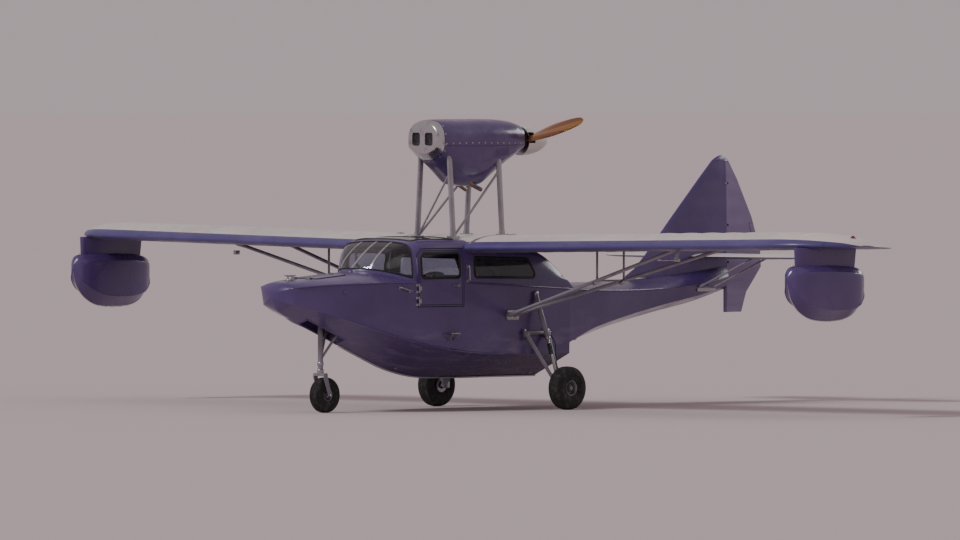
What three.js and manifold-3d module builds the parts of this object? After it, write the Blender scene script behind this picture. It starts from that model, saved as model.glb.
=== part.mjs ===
// A two-seat amphibious flying boat on its landing gear: planing hull, strut-braced high wing with tip
// floats, and a pusher engine on a strut frame above the wing. Millimetres, +Z up, bow towards -Y.
import * as THREE from 'three';
import { mergeVertices } from 'three/addons/utils/BufferGeometryUtils.js';
import Module from 'manifold-3d';

const wasm = await Module();
wasm.setup();

// Driving dimensions. Stations (y) run aft from the wing's mid chord, heights (z) up from the flat keel.
const LENGTH = 7140;
const SPAN = 11100;
const CHORD = 1500;
const BOW = -2990;
const KEEL_HEIGHT = 330;
const STEP = 780;
const WALL = 22;
const GLASS = 6;
const GAP = 0.3;
const MOVING_GAP = 7;

// Plain helpers
const radians = THREE.MathUtils.degToRad;
const table = (names, ...lines) => lines.map(
  line => Object.fromEntries(names.split(' ').map((name, i) => [name, line[i]])));
const mirrorX = solid => solid.mirror([1, 0, 0]);
const side = (solid, sign) => (sign > 0 ? solid : mirrorX(solid));
const join = solids => wasm.Manifold.union(solids);
const circle = (radius, count, cy = 0, cz = 0, turn = 0.5) => Array.from({ length: count }, (_, i) => {
  const angle = (i + turn) / count * 2 * Math.PI;
  return [cy + radius * Math.cos(angle), cz + radius * Math.sin(angle)];
});

// A closed solid from a list of vertices and triangles, turned so that its faces point out
function solidFrom(points, triangles) {
  let volume = 0;
  for (const [a, b, c] of triangles) {
    const [p, q, r] = [points[a], points[b], points[c]];
    volume += p[0] * (q[1] * r[2] - q[2] * r[1]) - p[1] * (q[0] * r[2] - q[2] * r[0])
      + p[2] * (q[0] * r[1] - q[1] * r[0]);
  }
  const faces = volume < 0 ? triangles.map(([a, b, c]) => [a, c, b]) : triangles;
  return new wasm.Manifold(new wasm.Mesh({
    numProp: 3,
    vertProperties: Float32Array.from(points.flat()),
    triVerts: Uint32Array.from(faces.flat()),
  }));
}

// A closed solid from a three.js geometry
function solidOf(geometry) {
  geometry.deleteAttribute('normal');
  geometry.deleteAttribute('uv');
  const merged = mergeVertices(geometry, 1e-3);
  const position = merged.attributes.position;
  const points = Array.from({ length: position.count },
    (_, i) => [position.getX(i), position.getY(i), position.getZ(i)]);
  const index = Array.from(merged.index.array);
  const triangles = [];
  for (let i = 0; i < index.length; i += 3) {
    const [a, b, c] = index.slice(i, i + 3);
    if (a !== b && b !== c && c !== a) triangles.push([a, b, c]);
  }
  return solidFrom(points, triangles);
}

// Triangles that close the end of a loft, wound like its outline
function capOf(section) {
  const normal = new THREE.Vector3();
  section.forEach((p, i) => {
    const q = section[(i + 1) % section.length];
    normal.x += (p[1] - q[1]) * (p[2] + q[2]);
    normal.y += (p[2] - q[2]) * (p[0] + q[0]);
    normal.z += (p[0] - q[0]) * (p[1] + q[1]);
  });
  const size = [Math.abs(normal.x), Math.abs(normal.y), Math.abs(normal.z)];
  const drop = size.indexOf(Math.max(...size));
  const flat = section.map(p => new THREE.Vector2(...p.filter((_, axis) => axis !== drop)));
  const area = THREE.ShapeUtils.area(flat);
  return THREE.ShapeUtils.triangulateShape(flat, []).map(([a, b, c]) => {
    const turn = THREE.ShapeUtils.area([flat[a], flat[b], flat[c]]);
    return turn * area < 0 ? [a, c, b] : [a, b, c];
  });
}

// A skin through sections that have the same number of points, closed at both ends
function loft(sections) {
  const count = sections[0].length;
  const triangles = [];
  for (let k = 0; k < sections.length - 1; k++) {
    for (let i = 0; i < count; i++) {
      const a = k * count + i;
      const b = k * count + (i + 1) % count;
      triangles.push([a, b, b + count], [a, b + count, a + count]);
    }
  }
  const last = (sections.length - 1) * count;
  for (const [a, b, c] of capOf(sections[0])) triangles.push([a, c, b]);
  for (const [a, b, c] of capOf(sections.at(-1))) triangles.push([last + a, last + b, last + c]);
  return solidFrom(sections.flat(), triangles);
}

// Outlines pushed along an axis: side views (y, z) along x, plan views (x, y) along z
const prismX = (outline, x0, x1) => loft([x0, x1].map(x => outline.map(([y, z]) => [x, y, z])));
const prismY = (outline, y0, y1) => loft([y0, y1].map(y => outline.map(([x, z]) => [x, y, z])));
const prismZ = (outline, z0, z1) => loft([z0, z1].map(z => outline.map(([x, y]) => [x, y, z])));

function box([x0, x1], [y0, y1], [z0, z1]) {
  const geometry = new THREE.BoxGeometry(x1 - x0, y1 - y0, z1 - z0);
  return solidOf(geometry.translate((x0 + x1) / 2, (y0 + y1) / 2, (z0 + z1) / 2));
}

function rod(from, to, radius, sides = 8, endRadius = radius) {
  const start = new THREE.Vector3(...from);
  const end = new THREE.Vector3(...to);
  const geometry = new THREE.CylinderGeometry(endRadius, radius, start.distanceTo(end), sides);
  const along = new THREE.Vector3().subVectors(end, start).normalize();
  geometry.applyQuaternion(new THREE.Quaternion().setFromUnitVectors(new THREE.Vector3(0, 1, 0), along));
  const middle = start.add(end).multiplyScalar(0.5);
  return solidOf(geometry.translate(middle.x, middle.y, middle.z));
}

// A turned solid about the X axis from a closed profile of [x, radius]; a facet faces straight down
function turnedX(profile, segments) {
  const stretch = 1 / Math.cos(Math.PI / segments);
  const points = profile.map(([x, radius]) => new THREE.Vector2(radius * stretch, x));
  const geometry = new THREE.LatheGeometry([...points, points[0]], segments, Math.PI / segments);
  return solidOf(geometry.rotateZ(-Math.PI / 2));
}

// An outline moved inwards by a distance, or outwards where it is negative
function inset(outline, distance) {
  const area = THREE.ShapeUtils.area(outline.map(p => new THREE.Vector2(...p)));
  const step = Math.sign(area) * distance;
  return outline.map((point, i) => {
    const before = outline.at(i - 1);
    const after = outline[(i + 1) % outline.length];
    const a = new THREE.Vector2(point[0] - before[0], point[1] - before[1]).normalize();
    const b = new THREE.Vector2(after[0] - point[0], after[1] - point[1]).normalize();
    const reach = step / Math.max(0.35, 1 + a.dot(b));
    return [point[0] - (a.y + b.y) * reach, point[1] + (a.x + b.x) * reach];
  });
}

// Values of a table's columns at any station, along smooth curves through its rows
function sample(rows, s) {
  const i = Math.max(0, rows.findLastIndex((row, k) => row.s <= s && k < rows.length - 1));
  const [a, b] = [rows[i], rows[i + 1]];
  const before = rows[Math.max(i - 1, 0)];
  const after = rows[Math.min(i + 2, rows.length - 1)];
  const span = b.s - a.s;
  const t = (s - a.s) / span;
  const value = key => {
    const slopeA = (b[key] - before[key]) / (b.s - before.s) * span;
    const slopeB = (after[key] - a[key]) / (after.s - a.s) * span;
    return (2 * t ** 3 - 3 * t ** 2 + 1) * a[key] + (t ** 3 - 2 * t ** 2 + t) * slopeA
      + (3 * t ** 2 - 2 * t ** 3) * b[key] + (t ** 3 - t ** 2) * slopeB;
  };
  return Object.fromEntries(Object.keys(a).map(key => [key, key === 's' ? s : value(key)]));
}

const stationsOf = (rows, between) => rows.flatMap((row, i) => {
  if (i === rows.length - 1) return [row.s];
  return Array.from({ length: between + 1 },
    (_, k) => row.s + (rows[i + 1].s - row.s) * k / (between + 1));
});

// A half outline from the centreline's bottom to its top becomes a whole one
const bothSides = half => [...half, ...half.slice(1, -1).reverse().map(([x, z]) => [-x, z])];
const bodyOf = (rows, halfOf, thickness = 0, between = 1) => loft(
  stationsOf(rows, between).map(s => sample(rows, s)).map(
    row => inset(bothSides(halfOf(row)), thickness).map(([x, z]) => [x, row.s, z])));

// Symmetrical foil outline: along the chord from -0.5 to 0.5, half thickness 0.5 at its thickest
const foilOf = steps => {
  const upper = Array.from({ length: steps + 1 }, (_, i) => {
    const u = (1 - Math.cos(i / steps * Math.PI)) / 2;
    return [u - 0.5, 1.4845 * Math.sqrt(u) - 0.63 * u - 1.758 * u * u + 1.4215 * u ** 3 - 0.5075 * u ** 4];
  });
  return [...upper, ...upper.slice(1, -1).reverse().map(([u, v]) => [u, -v])];
};
const foilOutline = foilOf(5);
const strutOutline = foilOf(4);
// Struts with a foil section: standing ones have level ends, spanwise ones have upright ends
const uprightFoil = ends => loft(ends.map(({ at: [x, y, z], chord, thick }) => strutOutline.map(
  ([u, v]) => [x + v * thick, y + u * chord, z])));
const spanwiseFoil = ends => loft(ends.map(({ at: [x, y, z], chord, thick }) => strutOutline.map(
  ([u, v]) => [x, y + u * chord, z + v * thick])));

// Hull: planing forebody up to the step, afterbody behind it
const FOREBODY = table('s keel chineX chineZ sheerX sheerZ crown',
  [BOW, 775, 105, 800, 150, 935, 980],
  [-2900, 700, 225, 775, 260, 952, 1006],
  [-2600, 575, 365, 690, 395, 975, 1038],
  [-2200, 410, 455, 575, 480, 988, 1070],
  [-1800, 245, 505, 465, 525, 993, 1102],
  [-1400, 98, 530, 372, 545, 990, 1105],
  [-1000, 18, 545, 305, 552, 982, 1090],
  [-500, 0, 550, 262, 555, 968, 1060],
  [200, 0, 546, 240, 550, 930, 1015],
  [STEP, 0, 508, 236, 520, 900, 984]);
const AFTERBODY = table('s keel chineX chineZ sheerX sheerZ crown',
  [STEP, 110, 494, 340, 520, 900, 984],
  [1000, 212, 455, 412, 492, 886, 970],
  [1250, 322, 415, 492, 458, 876, 955],
  [1800, 478, 330, 600, 375, 868, 955],
  [2500, 622, 225, 715, 268, 880, 985],
  [3100, 728, 140, 800, 180, 920, 1040],
  [3580, 850, 60, 890, 85, 985, 1095]);
const STERN = AFTERBODY.at(-1).s;
const hullHalf = r => [[0, r.keel], [r.chineX, r.chineZ], [r.sheerX, r.sheerZ],
  [0.62 * r.sheerX, r.sheerZ + 0.74 * (r.crown - r.sheerZ)], [0, r.crown]];
const foreOuter = bodyOf(FOREBODY, hullHalf);
const aftOuter = bodyOf(AFTERBODY, hullHalf);
const foreClear = bodyOf(FOREBODY, hullHalf, -GAP);
const aftClear = bodyOf(AFTERBODY, hullHalf, -GAP);
const hullClear = join([foreClear, aftClear]);
const insideRows = (rows, from, to, between = 1) => {
  const kept = stationsOf(rows, between).filter(s => s > from + 30 && s < to - 30);
  return [from, ...kept, to].map(s => sample(rows, s));
};
const foreInner = bodyOf(insideRows(FOREBODY, BOW + 70, STEP - WALL), hullHalf, WALL, 0);
const aftInner = bodyOf(insideRows(AFTERBODY, STEP + GAP, STERN - 150), hullHalf, WALL, 0);
const aftPassage = bodyOf(insideRows(AFTERBODY, STEP, STERN - 150), hullHalf, WALL, 0)
  .intersect(box([-700, 700], [STEP, STEP + 200], [0, 2000])).translate([0, -WALL - 80, 0]);

// Everything above the sheer line, and everything below it with a gap
const sheerLine = [...stationsOf(FOREBODY, 1).map(s => [s, sample(FOREBODY, s).sheerZ]),
  ...stationsOf(AFTERBODY, 1).slice(1).map(s => [s, sample(AFTERBODY, s).sheerZ])];
const HIGH = 3000;
const aboveSheer = lift => prismX([[BOW - 100, sheerLine[0][1] + lift],
  ...sheerLine.map(([s, z]) => [s, z + lift]), [STERN + 500, sheerLine.at(-1)[1] + lift],
  [STERN + 500, HIGH], [BOW - 100, HIGH]], -900, 900);
const overSheer = aboveSheer(0);
const overSheerClear = aboveSheer(-GAP);

// Cabin: a rounded arch from the windshield's foot to the afterdeck
const CABIN_FRONT = -1880;
const CABIN_REAR = 880;
const HOOP_FRONT = -1500;
const HOOP_REAR = -1440;
const CABIN = table('s half roof',
  [CABIN_FRONT, 50, 1118],
  [-1850, 140, 1150],
  [-1780, 270, 1212],
  [-1660, 405, 1310],
  [-1500, 515, 1405],
  [-1350, 547, 1440],
  [-1000, 552, 1446],
  [-700, 554, 1436],
  [-350, 554, 1400],
  [100, 549, 1362],
  [300, 545, 1330],
  [460, 537, 1272],
  [610, 526, 1175],
  [750, 512, 1065],
  [CABIN_REAR, 492, 972]);
const CABIN_FOOT = 760;
const cabinHalf = r => [[0, CABIN_FOOT], [r.half - 8, CABIN_FOOT], [r.half, Math.min(980, r.roof - 90)],
  [0.965 * r.half, CABIN_FOOT + 0.74 * (r.roof - CABIN_FOOT)], [0.88 * r.half, r.roof - 48],
  [0.58 * r.half, r.roof - 10], [0, r.roof]];
const cabinOuter = bodyOf(CABIN, cabinHalf, 0, 0);
const cabinInside = (thickness, front) => bodyOf(insideRows(CABIN, front, CABIN_REAR - thickness, 0),
  cabinHalf, thickness, 0);
const roofClear = bodyOf(CABIN, cabinHalf, -GAP, 0);
const cabinInner = cabinInside(WALL, -1840);
const glassSkin = cabinOuter.subtract(cabinInside(GLASS, -1862));

// Wing: cambered section with a flat-topped planform and rounded tips
const WING_FRONT = -760;
const WING_HEIGHT = 1335;
const INCIDENCE = Math.tan(radians(2));
const DIHEDRAL = Math.tan(radians(1));
const ROOT = 560;
const PANEL = SPAN / 2 - ROOT;
const TIP_ROUND = 750;
const wingPoint = (u, upper) => {
  const thick = 0.6 * (0.2969 * Math.sqrt(u) - 0.126 * u - 0.3516 * u * u + 0.2843 * u ** 3 - 0.0996 * u ** 4);
  const camber = u < 0.4 ? 0.25 * (0.8 * u - u * u) : 0.04 / 0.36 * (0.2 + 0.8 * u - u * u);
  return camber + (upper ? thick : -thick);
};
const WING_STEPS = 9;
const alongChord = Array.from({ length: WING_STEPS + 1 },
  (_, i) => (1 - Math.cos(i / WING_STEPS * Math.PI)) / 2);
function wingOutline(part = 1, grow = 0) {
  const front = WING_FRONT + 0.45 * CHORD * (1 - part);
  const place = (u, upper) => {
    const y = front + CHORD * part * u;
    return [y, WING_HEIGHT - (y - WING_FRONT) * INCIDENCE + CHORD * part * wingPoint(u, upper)];
  };
  const lower = alongChord.map(u => place(u, false));
  const upper = alongChord.slice(1).reverse().map(u => place(u, true));
  return inset([...lower, ...upper], -grow);
}
const TIP_STEPS = [0, 0.34, 0.62, 0.81, 0.93, 1];
const panelOf = grow => loft([{ x: 0, part: 1 }, ...TIP_STEPS.map(t => ({
  x: PANEL - TIP_ROUND * (1 - t), part: Math.max(0.14, Math.sqrt(1 - t * t)) }))].map(
  ({ x, part }) => wingOutline(part, grow).map(([y, z]) => [x, y, z])));
// A panel's own frame becomes the aircraft's: out by the root and up along the dihedral
const onPanel = solid => solid.transform(
  [1, 0, DIHEDRAL, 0, 0, 1, 0, 0, 0, 0, 1, 0, ROOT, 0, 0, 1]);
const wingRise = x => Math.max(0, Math.abs(x) - ROOT) * DIHEDRAL;
const panel = panelOf(0);
const panelClear = onPanel(panelOf(GAP));
const centreClear = prismX(wingOutline(1, GAP), -ROOT - 1, ROOT + 1);
const wingClear = join([centreClear, panelClear, mirrorX(panelClear)]);

// Control surfaces turn on a line inside a rounded nose, in a trough of the surface ahead
const NOSE_SIDES = 14;
const hingeNose = (radius, y, z, x0, x1) => prismX(circle(radius, NOSE_SIDES, y, z), x0, x1);
const AILERON = { from: 2450, to: 4200, y: 410, z: 1330, nose: 39.5, hinges: [2700, 3950] };
const HINGE = { slot: 22, arm: 14, pin: 5, bore: 5.6, pinHalf: 18 };

const meshes = [];
function add(name, colour, roughness, metalness, solid) {
  const mesh = solid.asOriginal().simplify(0.05).getMesh();
  const geometry = new THREE.BufferGeometry();
  geometry.setAttribute('position', new THREE.BufferAttribute(new Float32Array(mesh.vertProperties), 3));
  geometry.setIndex(new THREE.BufferAttribute(new Uint32Array(mesh.triVerts), 1));
  const material = new THREE.MeshStandardMaterial({ color: colour, roughness, metalness });
  const node = new THREE.Mesh(geometry, material);
  node.name = name;
  meshes.push(node);
}
const PAINT = ['#332b5c', 0.35, 0];
const LIGHT_PAINT = ['#c9c3bd', 0.4, 0];
const STEEL = ['#8b8c90', 0.45, 0.8];
const ALUMINIUM = ['#b9bbbf', 0.35, 0.9];
const CLEAR = ['#a9bcc8', 0.08, 0];
const RUBBER = ['#1b1b1c', 0.85, 0];
const TIMBER = ['#7a4a25', 0.4, 0];
const TRIM = ['#54504c', 0.8, 0];
const DARK = ['#26272b', 0.6, 0.2];

// Door and window outlines in the side view
const DOOR = [[HOOP_REAR, 745], [-800, 745], [-800, 1330], [-1385, 1330], [HOOP_REAR, 1270]];
const DOOR_WINDOW = [[-1392, 1035], [-850, 1035], [-850, 1290], [-1350, 1290], [-1392, 1245]];
const REAR_WINDOW = [[-640, 1035], [270, 1020], [150, 1215], [-640, 1240]];
const SKYLIGHT = [[-395, -1420], [395, -1420], [430, -840], [-430, -840]];
const throughSide = (outline, grow, sign) => side(prismX(inset(outline, -grow), 200, 900), sign);
const doorSkin = join([foreOuter, cabinOuter]).subtract(join([foreInner, cabinInner]));

// Nose wheel well: a watertight box open through the bottom
const WELL = { half: 130, front: -2620, rear: -2080, top: 800, wall: 10 };
const well = (grow, floor) => box([-WELL.half - grow, WELL.half + grow],
  [WELL.front - grow, WELL.rear + grow], [floor, WELL.top + grow]);
const wellWalls = well(WELL.wall, 100).intersect(foreOuter);

// Spray rails: a lip along each chine that throws the bow wave down, from the bow to the lift struts
const RAIL = { from: -2400, to: -150, reach: 24, under: 11 };
const sprayRail = sign => side(loft(stationsOf(FOREBODY, 1).filter(s => s >= RAIL.from && s <= RAIL.to).map(s => {
  const { chineX, chineZ } = sample(FOREBODY, s);
  const share = s === RAIL.from || s === RAIL.to ? 0.3 : 1;
  return [[-10, 4], [RAIL.reach * share, -6], [RAIL.reach * share - 2, -RAIL.under], [-10, -RAIL.under]].map(
    ([x, z]) => [chineX + x, s, chineZ + z]);
})), sign);

// Boarding step under each door: a tread on two props
const TREAD = { x: 634, root: 536, from: -1050, to: -910, low: 462, high: 472, prop: 7 };
const boardingStep = sign => side(join([
  box([TREAD.root, TREAD.x], [TREAD.from, TREAD.to], [TREAD.low, TREAD.high]),
  ...[TREAD.from + 26, TREAD.to - 26].map(y => rod([TREAD.x - 10, y, TREAD.low + 2],
    [TREAD.root + 2, y, TREAD.low - 70], TREAD.prop)),
]), sign);

// Grab rails: a bar on two stubs, its ends given as they meet the hull's or cabin's side
const GRAB = { stand: 34, radius: 8, sink: 8 };
const grabRail = (ends, sign) => {
  const tops = ends.map(([x, y, z]) => [x + GRAB.stand, y, z]);
  return side(join([rod(...tops, GRAB.radius), ...ends.map(([x, y, z], i) => rod([x - GRAB.sink, y, z],
    tops[i], GRAB.radius))]), sign);
};
const BOW_GRAB = [[530, -1700, 940], [538, -1560, 905]];
const DOOR_GRAB = [[550, -744, 1006], [543, -744, 1150]];

// Foredeck hatch: a lid that follows the deck and stands a little proud of it
const HATCH = { half: 185, from: -2560, to: -2120, lift: 7, sink: 18 };
const deckHatch = () => loft([HATCH.from, -2400, -2200, HATCH.to].map(s => {
  const { sheerX, sheerZ, crown } = sample(FOREBODY, s);
  const edge = crown - HATCH.half / (0.62 * sheerX) * 0.26 * (crown - sheerZ);
  return [[-HATCH.half, edge - HATCH.sink], [HATCH.half, edge - HATCH.sink], [HATCH.half, edge + HATCH.lift],
    [0, crown + HATCH.lift], [-HATCH.half, edge + HATCH.lift]].map(([x, z]) => [x, s, z]);
}));

function addHull() {
  const doors = join([1, -1].map(sign => throughSide(DOOR, MOVING_GAP, sign)));
  const fore = foreOuter.subtract(foreInner).subtract(aftPassage).subtract(overSheerClear).subtract(doors);
  const whole = join([fore, wellWalls.subtract(overSheerClear)]).subtract(well(0, -100));
  const fitted = [1, -1].flatMap(sign => [doorLeaves(sign), sprayRail(sign), boardingStep(sign),
    grabRail(BOW_GRAB, sign)]);
  add('hull_forebody', ...PAINT, join([whole, ...fitted]));
  const aft = aftOuter.subtract(aftInner).subtract(overSheerClear);
  add('hull_afterbody', ...PAINT, aft.subtract(box([-900, 900], [0, STEP + GAP], [-100, HIGH])));
  const foreDeck = foreOuter.subtract(foreInner).intersect(overSheer).subtract(doors);
  add('fore_deck', ...PAINT, join([foreDeck.subtract(box([-900, 900], [HOOP_REAR, 2000], [0, HIGH])),
    deckHatch()]));
  const aftDeck = aftOuter.subtract(aftInner).intersect(overSheer);
  add('aft_deck', ...PAINT, aftDeck.subtract(box([-900, 900], [0, CABIN_REAR + GAP], [0, HIGH])));
  const keel = prismX([[-2050, 345], [-1800, 240], [-1400, 92], [-1000, 12], [-500, -10], [STEP, -10],
    [STEP, 30], [-500, 30], [-1000, 60], [-1400, 140], [-1800, 280], [-2050, 390]], -16, 16);
  add('keel_strip', ...STEEL, keel.subtract(foreClear));
}

function addCabin() {
  const shell = cabinOuter.subtract(cabinInner);
  const foot = foreClear.translate([0, 0, 34]);
  const behindHoop = box([-900, 900], [HOOP_REAR, 2000], [0, HIGH]);
  const aheadOfHoop = box([-900, 900], [-2500, HOOP_REAR - GAP], [0, HIGH]);
  const seated = solid => join([
    solid.intersect(behindHoop).intersect(overSheer),
    solid.subtract(behindHoop).subtract(foreClear)]).subtract(centreClear);
  const glazed = seated(glassSkin);
  const glassFront = box([-900, 900], [-2500, HOOP_FRONT - GAP], [0, HIGH]);
  const doors = [1, -1].map(sign => throughSide(DOOR, MOVING_GAP, sign));
  const doorGlass = [1, -1].map(sign => throughSide(DOOR_WINDOW, -GAP, sign));
  const rearGlass = [1, -1].map(sign => throughSide(REAR_WINDOW, 0, sign));
  const SPLIT = -700;
  const frontHalf = join([box([-900, 900], [-2500, SPLIT], [0, HIGH]),
    box([-900, 900], [SPLIT - 1, -300], [WING_HEIGHT + 10, HIGH])]);
  const rearHalf = box([-900, 900], [SPLIT + GAP, 2000], [0, WING_HEIGHT + 10 - GAP]);
  const frame = seated(shell).intersect(frontHalf);
  const windshieldHole = box([-900, 900], [-2500, HOOP_FRONT], [0, HIGH]).subtract(foot);
  add('canopy_frame', ...PAINT, join([frame.subtract(windshieldHole).subtract(join(doors))
    .subtract(prismZ(SKYLIGHT, 1250, HIGH)), grabRail(DOOR_GRAB, 1), grabRail(DOOR_GRAB, -1)]));
  add('windshield', ...CLEAR, glazed.intersect(glassFront).subtract(foot.translate([0, 0, GAP])));
  add('skylight', ...CLEAR, glazed.intersect(prismZ(inset(SKYLIGHT, GAP), 1300, HIGH)));
  const rear = seated(shell).intersect(rearHalf);
  add('cabin_rear', ...PAINT, rear.subtract(join(rearGlass)).subtract(aftClear.intersect(
    box([-900, 900], [CABIN_REAR - 1, 3000], [0, HIGH]))));
  for (const [i, name] of ['left', 'right'].entries()) {
    const sign = i === 0 ? 1 : -1;
    const door = doorSkin.intersect(throughSide(DOOR, 0, sign));
    const knuckle = doorKnuckles(sign);
    add(`door_${name}`, ...PAINT, join([door.subtract(throughSide(DOOR_WINDOW, 0, sign)), knuckle]));
    add(`door_glass_${name}`, ...CLEAR, glassSkin.intersect(doorGlass[i]));
    add(`rear_window_${name}`, ...CLEAR,
      glazed.intersect(throughSide(REAR_WINDOW, -GAP, sign)));
  }
}

// Door hinges: one knuckle on the door between two on a leaf fixed to the hull's side
const DOOR_AXIS = { x: 556, y: HOOP_REAR - 3, radius: 7, heights: [800, 930] };
const KNUCKLE = 44;
const doorKnuckles = sign => side(join(DOOR_AXIS.heights.flatMap(z => [
  rod([DOOR_AXIS.x, DOOR_AXIS.y, z - KNUCKLE / 2], [DOOR_AXIS.x, DOOR_AXIS.y, z + KNUCKLE / 2],
    DOOR_AXIS.radius, 10),
  box([DOOR_AXIS.x - 24, DOOR_AXIS.x + 2], [DOOR_AXIS.y + 3.2, DOOR_AXIS.y + 40],
    [z - KNUCKLE / 2, z + KNUCKLE / 2]),
])), sign);
function doorLeaves(sign) {
  const half = KNUCKLE / 2 + GAP;
  return side(join(DOOR_AXIS.heights.flatMap(z => [-1, 1].flatMap(end => {
    const span = end < 0 ? [z - half - 24, z - half] : [z + half, z + half + 24];
    return [
      rod([DOOR_AXIS.x, DOOR_AXIS.y, span[0]], [DOOR_AXIS.x, DOOR_AXIS.y, span[1]], DOOR_AXIS.radius, 10),
      box([DOOR_AXIS.x - 40, DOOR_AXIS.x - 1], [DOOR_AXIS.y - 40, DOOR_AXIS.y - 2], span),
    ];
  }))), sign);
}

function addCockpit() {
  const inside = bodyOf(insideRows(FOREBODY, BOW + 70, STEP - 30), hullHalf, WALL + GAP, 0);
  const room = join([inside, box([-600, 600], [-1600, 400], [700, HIGH])]);
  const FLOOR = 200;
  add('cabin_floor', ...TRIM, inside.intersect(box([-600, 600], [-1380, 380], [FLOOR - 18, FLOOR])));
  add('instrument_panel', ...DARK, inside.intersect(box([-600, 600], [-1575, -1550], [700, 1200])));
  for (const [name, x] of [['left', 245], ['right', -245]]) {
    const base = box([x - 200, x + 200], [-1010, -560], [FLOOR + GAP, 330]);
    const cushion = prismX([[-1060, 330], [-540, 330], [-560, 430], [-1010, 460], [-1060, 430]],
      x - 225, x + 225);
    const back = prismX([[-600, 330], [-520, 330], [-415, 1050], [-450, 1085], [-520, 1080],
      [-610, 500]], x - 215, x + 215);
    add(`seat_${name}`, ...TRIM, join([base, cushion, back]).intersect(room));
  }
  const STICK_Y = -1180;
  const sticks = [200, -200].flatMap(x => [
    rod([x, STICK_Y, FLOOR + 40], [x, STICK_Y + 60, 560], 13, 10),
    rod([x, STICK_Y + 58, 540], [x, STICK_Y + 78, 680], 20, 10),
    box([x - 22, x + 22], [STICK_Y - 25, STICK_Y + 25], [FLOOR + GAP, FLOOR + 60])]);
  add('control_sticks', ...DARK, join([...sticks,
    rod([-200, STICK_Y, FLOOR + 40], [200, STICK_Y, FLOOR + 40], 14)]).intersect(room));
}

// On each panel: the fuel filler and the lamp on the tip. Under the port one: the airspeed head on its mast.
const FILLER = { x: 260, y: -355, z: 1464, collar: 46, cap: 30 };
const LAMP = { x: PANEL - 120, y: -160, z: 1397, radius: 20, height: 24 };
const wingFittings = [
  rod([FILLER.x, FILLER.y, FILLER.z - 14], [FILLER.x, FILLER.y, FILLER.z + 3], FILLER.collar, 16),
  rod([FILLER.x, FILLER.y, FILLER.z - 14], [FILLER.x, FILLER.y, FILLER.z + 9], FILLER.cap, 16),
  rod([LAMP.x, LAMP.y, LAMP.z - 14], [LAMP.x, LAMP.y, LAMP.z + LAMP.height], LAMP.radius, 12),
];
const PITOT = { x: ROOT + 2900, mastTop: 1345, low: 1243, front: -940, back: -678, radius: 7.5 };
const pitotHead = join([
  prismX([[-664, PITOT.mastTop], [-616, PITOT.mastTop], [-654, PITOT.low], [-702, PITOT.low]],
    PITOT.x - 5, PITOT.x + 5),
  rod([PITOT.x, PITOT.front, PITOT.low + 3.5], [PITOT.x, PITOT.back, PITOT.low + 3.5], PITOT.radius, 10)]);
function addWing() {
  const zone = grow => box([AILERON.from - grow, AILERON.to + grow], [AILERON.y, 1000], [1000, 1700]);
  const nose = (grow, ends) => hingeNose(AILERON.nose + grow, AILERON.y, AILERON.z,
    AILERON.from - ends, AILERON.to + ends);
  const slots = AILERON.hinges.map(x => box([x - HINGE.slot / 2, x + HINGE.slot / 2],
    [AILERON.y - 80, AILERON.y + 22], [1200, 1500]));
  const bores = AILERON.hinges.map(x => rod([x - 60, AILERON.y, AILERON.z], [x + 60, AILERON.y, AILERON.z],
    HINGE.bore));
  const arms = AILERON.hinges.flatMap(x => [
    prismX([[AILERON.y - 70, AILERON.z - 22], [AILERON.y + 9, AILERON.z - 9], [AILERON.y + 9, AILERON.z + 9],
      [AILERON.y - 70, AILERON.z + 22]], x - HINGE.arm / 2, x + HINGE.arm / 2),
    rod([x - HINGE.pinHalf, AILERON.y, AILERON.z], [x + HINGE.pinHalf, AILERON.y, AILERON.z], HINGE.pin)]);
  const aileron = panel.intersect(join([zone(0), nose(0, 0)])).subtract(join([...slots, ...bores]));
  const fixed = panel.subtract(join([zone(MOVING_GAP), nose(MOVING_GAP, MOVING_GAP)]));
  const outer = onPanel(join([fixed, ...arms, ...wingFittings]));
  add('wing_center', ...LIGHT_PAINT, prismX(wingOutline(), -ROOT, ROOT));
  for (const [name, sign] of [['left', 1], ['right', -1]]) {
    add(`wing_${name}`, ...LIGHT_PAINT, sign > 0 ? join([outer, pitotHead]) : side(outer, sign));
    add(`aileron_${name}`, ...LIGHT_PAINT, side(onPanel(aileron), sign));
  }
}

// Lift struts: a V from one fitting on the hull's side to the wing's front and rear spars
const STRUT = { foot: [556, -100, 640], x: 3200, front: -400, rear: 300, chord: 84, thick: 36 };
function addStruts() {
  const top = y => 1290 + wingRise(STRUT.x);
  const legs = [STRUT.front, STRUT.rear].map(y => spanwiseFoil([
    { at: [STRUT.foot[0] - 30, STRUT.foot[1] + (y < 0 ? -30 : 30), STRUT.foot[2] - 8], chord: STRUT.chord,
      thick: STRUT.thick },
    { at: [STRUT.x, y, top(y) + 8], chord: STRUT.chord, thick: STRUT.thick }]));
  const feet = [STRUT.front, STRUT.rear].map(y => box([STRUT.x - 70, STRUT.x + 60], [y - 20, y + 20],
    [top(y) - 40, top(y) + 60]));
  const plate = box([STRUT.foot[0] - 40, STRUT.foot[0] + 14], [-190, -10], [590, 690]);
  const jury = rod([1950, -277, 1000], [1950, -277, 1340], 12);
  const juryRear = rod([1950, 111, 1000], [1950, 111, 1340], 12);
  const tie = rod([1950, -277, 1012], [1950, 111, 1012], 12);
  const pad = box([STRUT.x - 20, STRUT.x + 20], [STRUT.front - 30, STRUT.front + 30],
    [top(0) - 70, top(0) - 30]);
  const whole = join([...legs, ...feet, plate, jury, juryRear, tie, pad])
    .subtract(wingClear);
  for (const [name, sign] of [['left', 1], ['right', -1]]) {
    add(`wing_struts_${name}`, ...STEEL, side(whole, sign).subtract(hullClear));
  }
}

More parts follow.
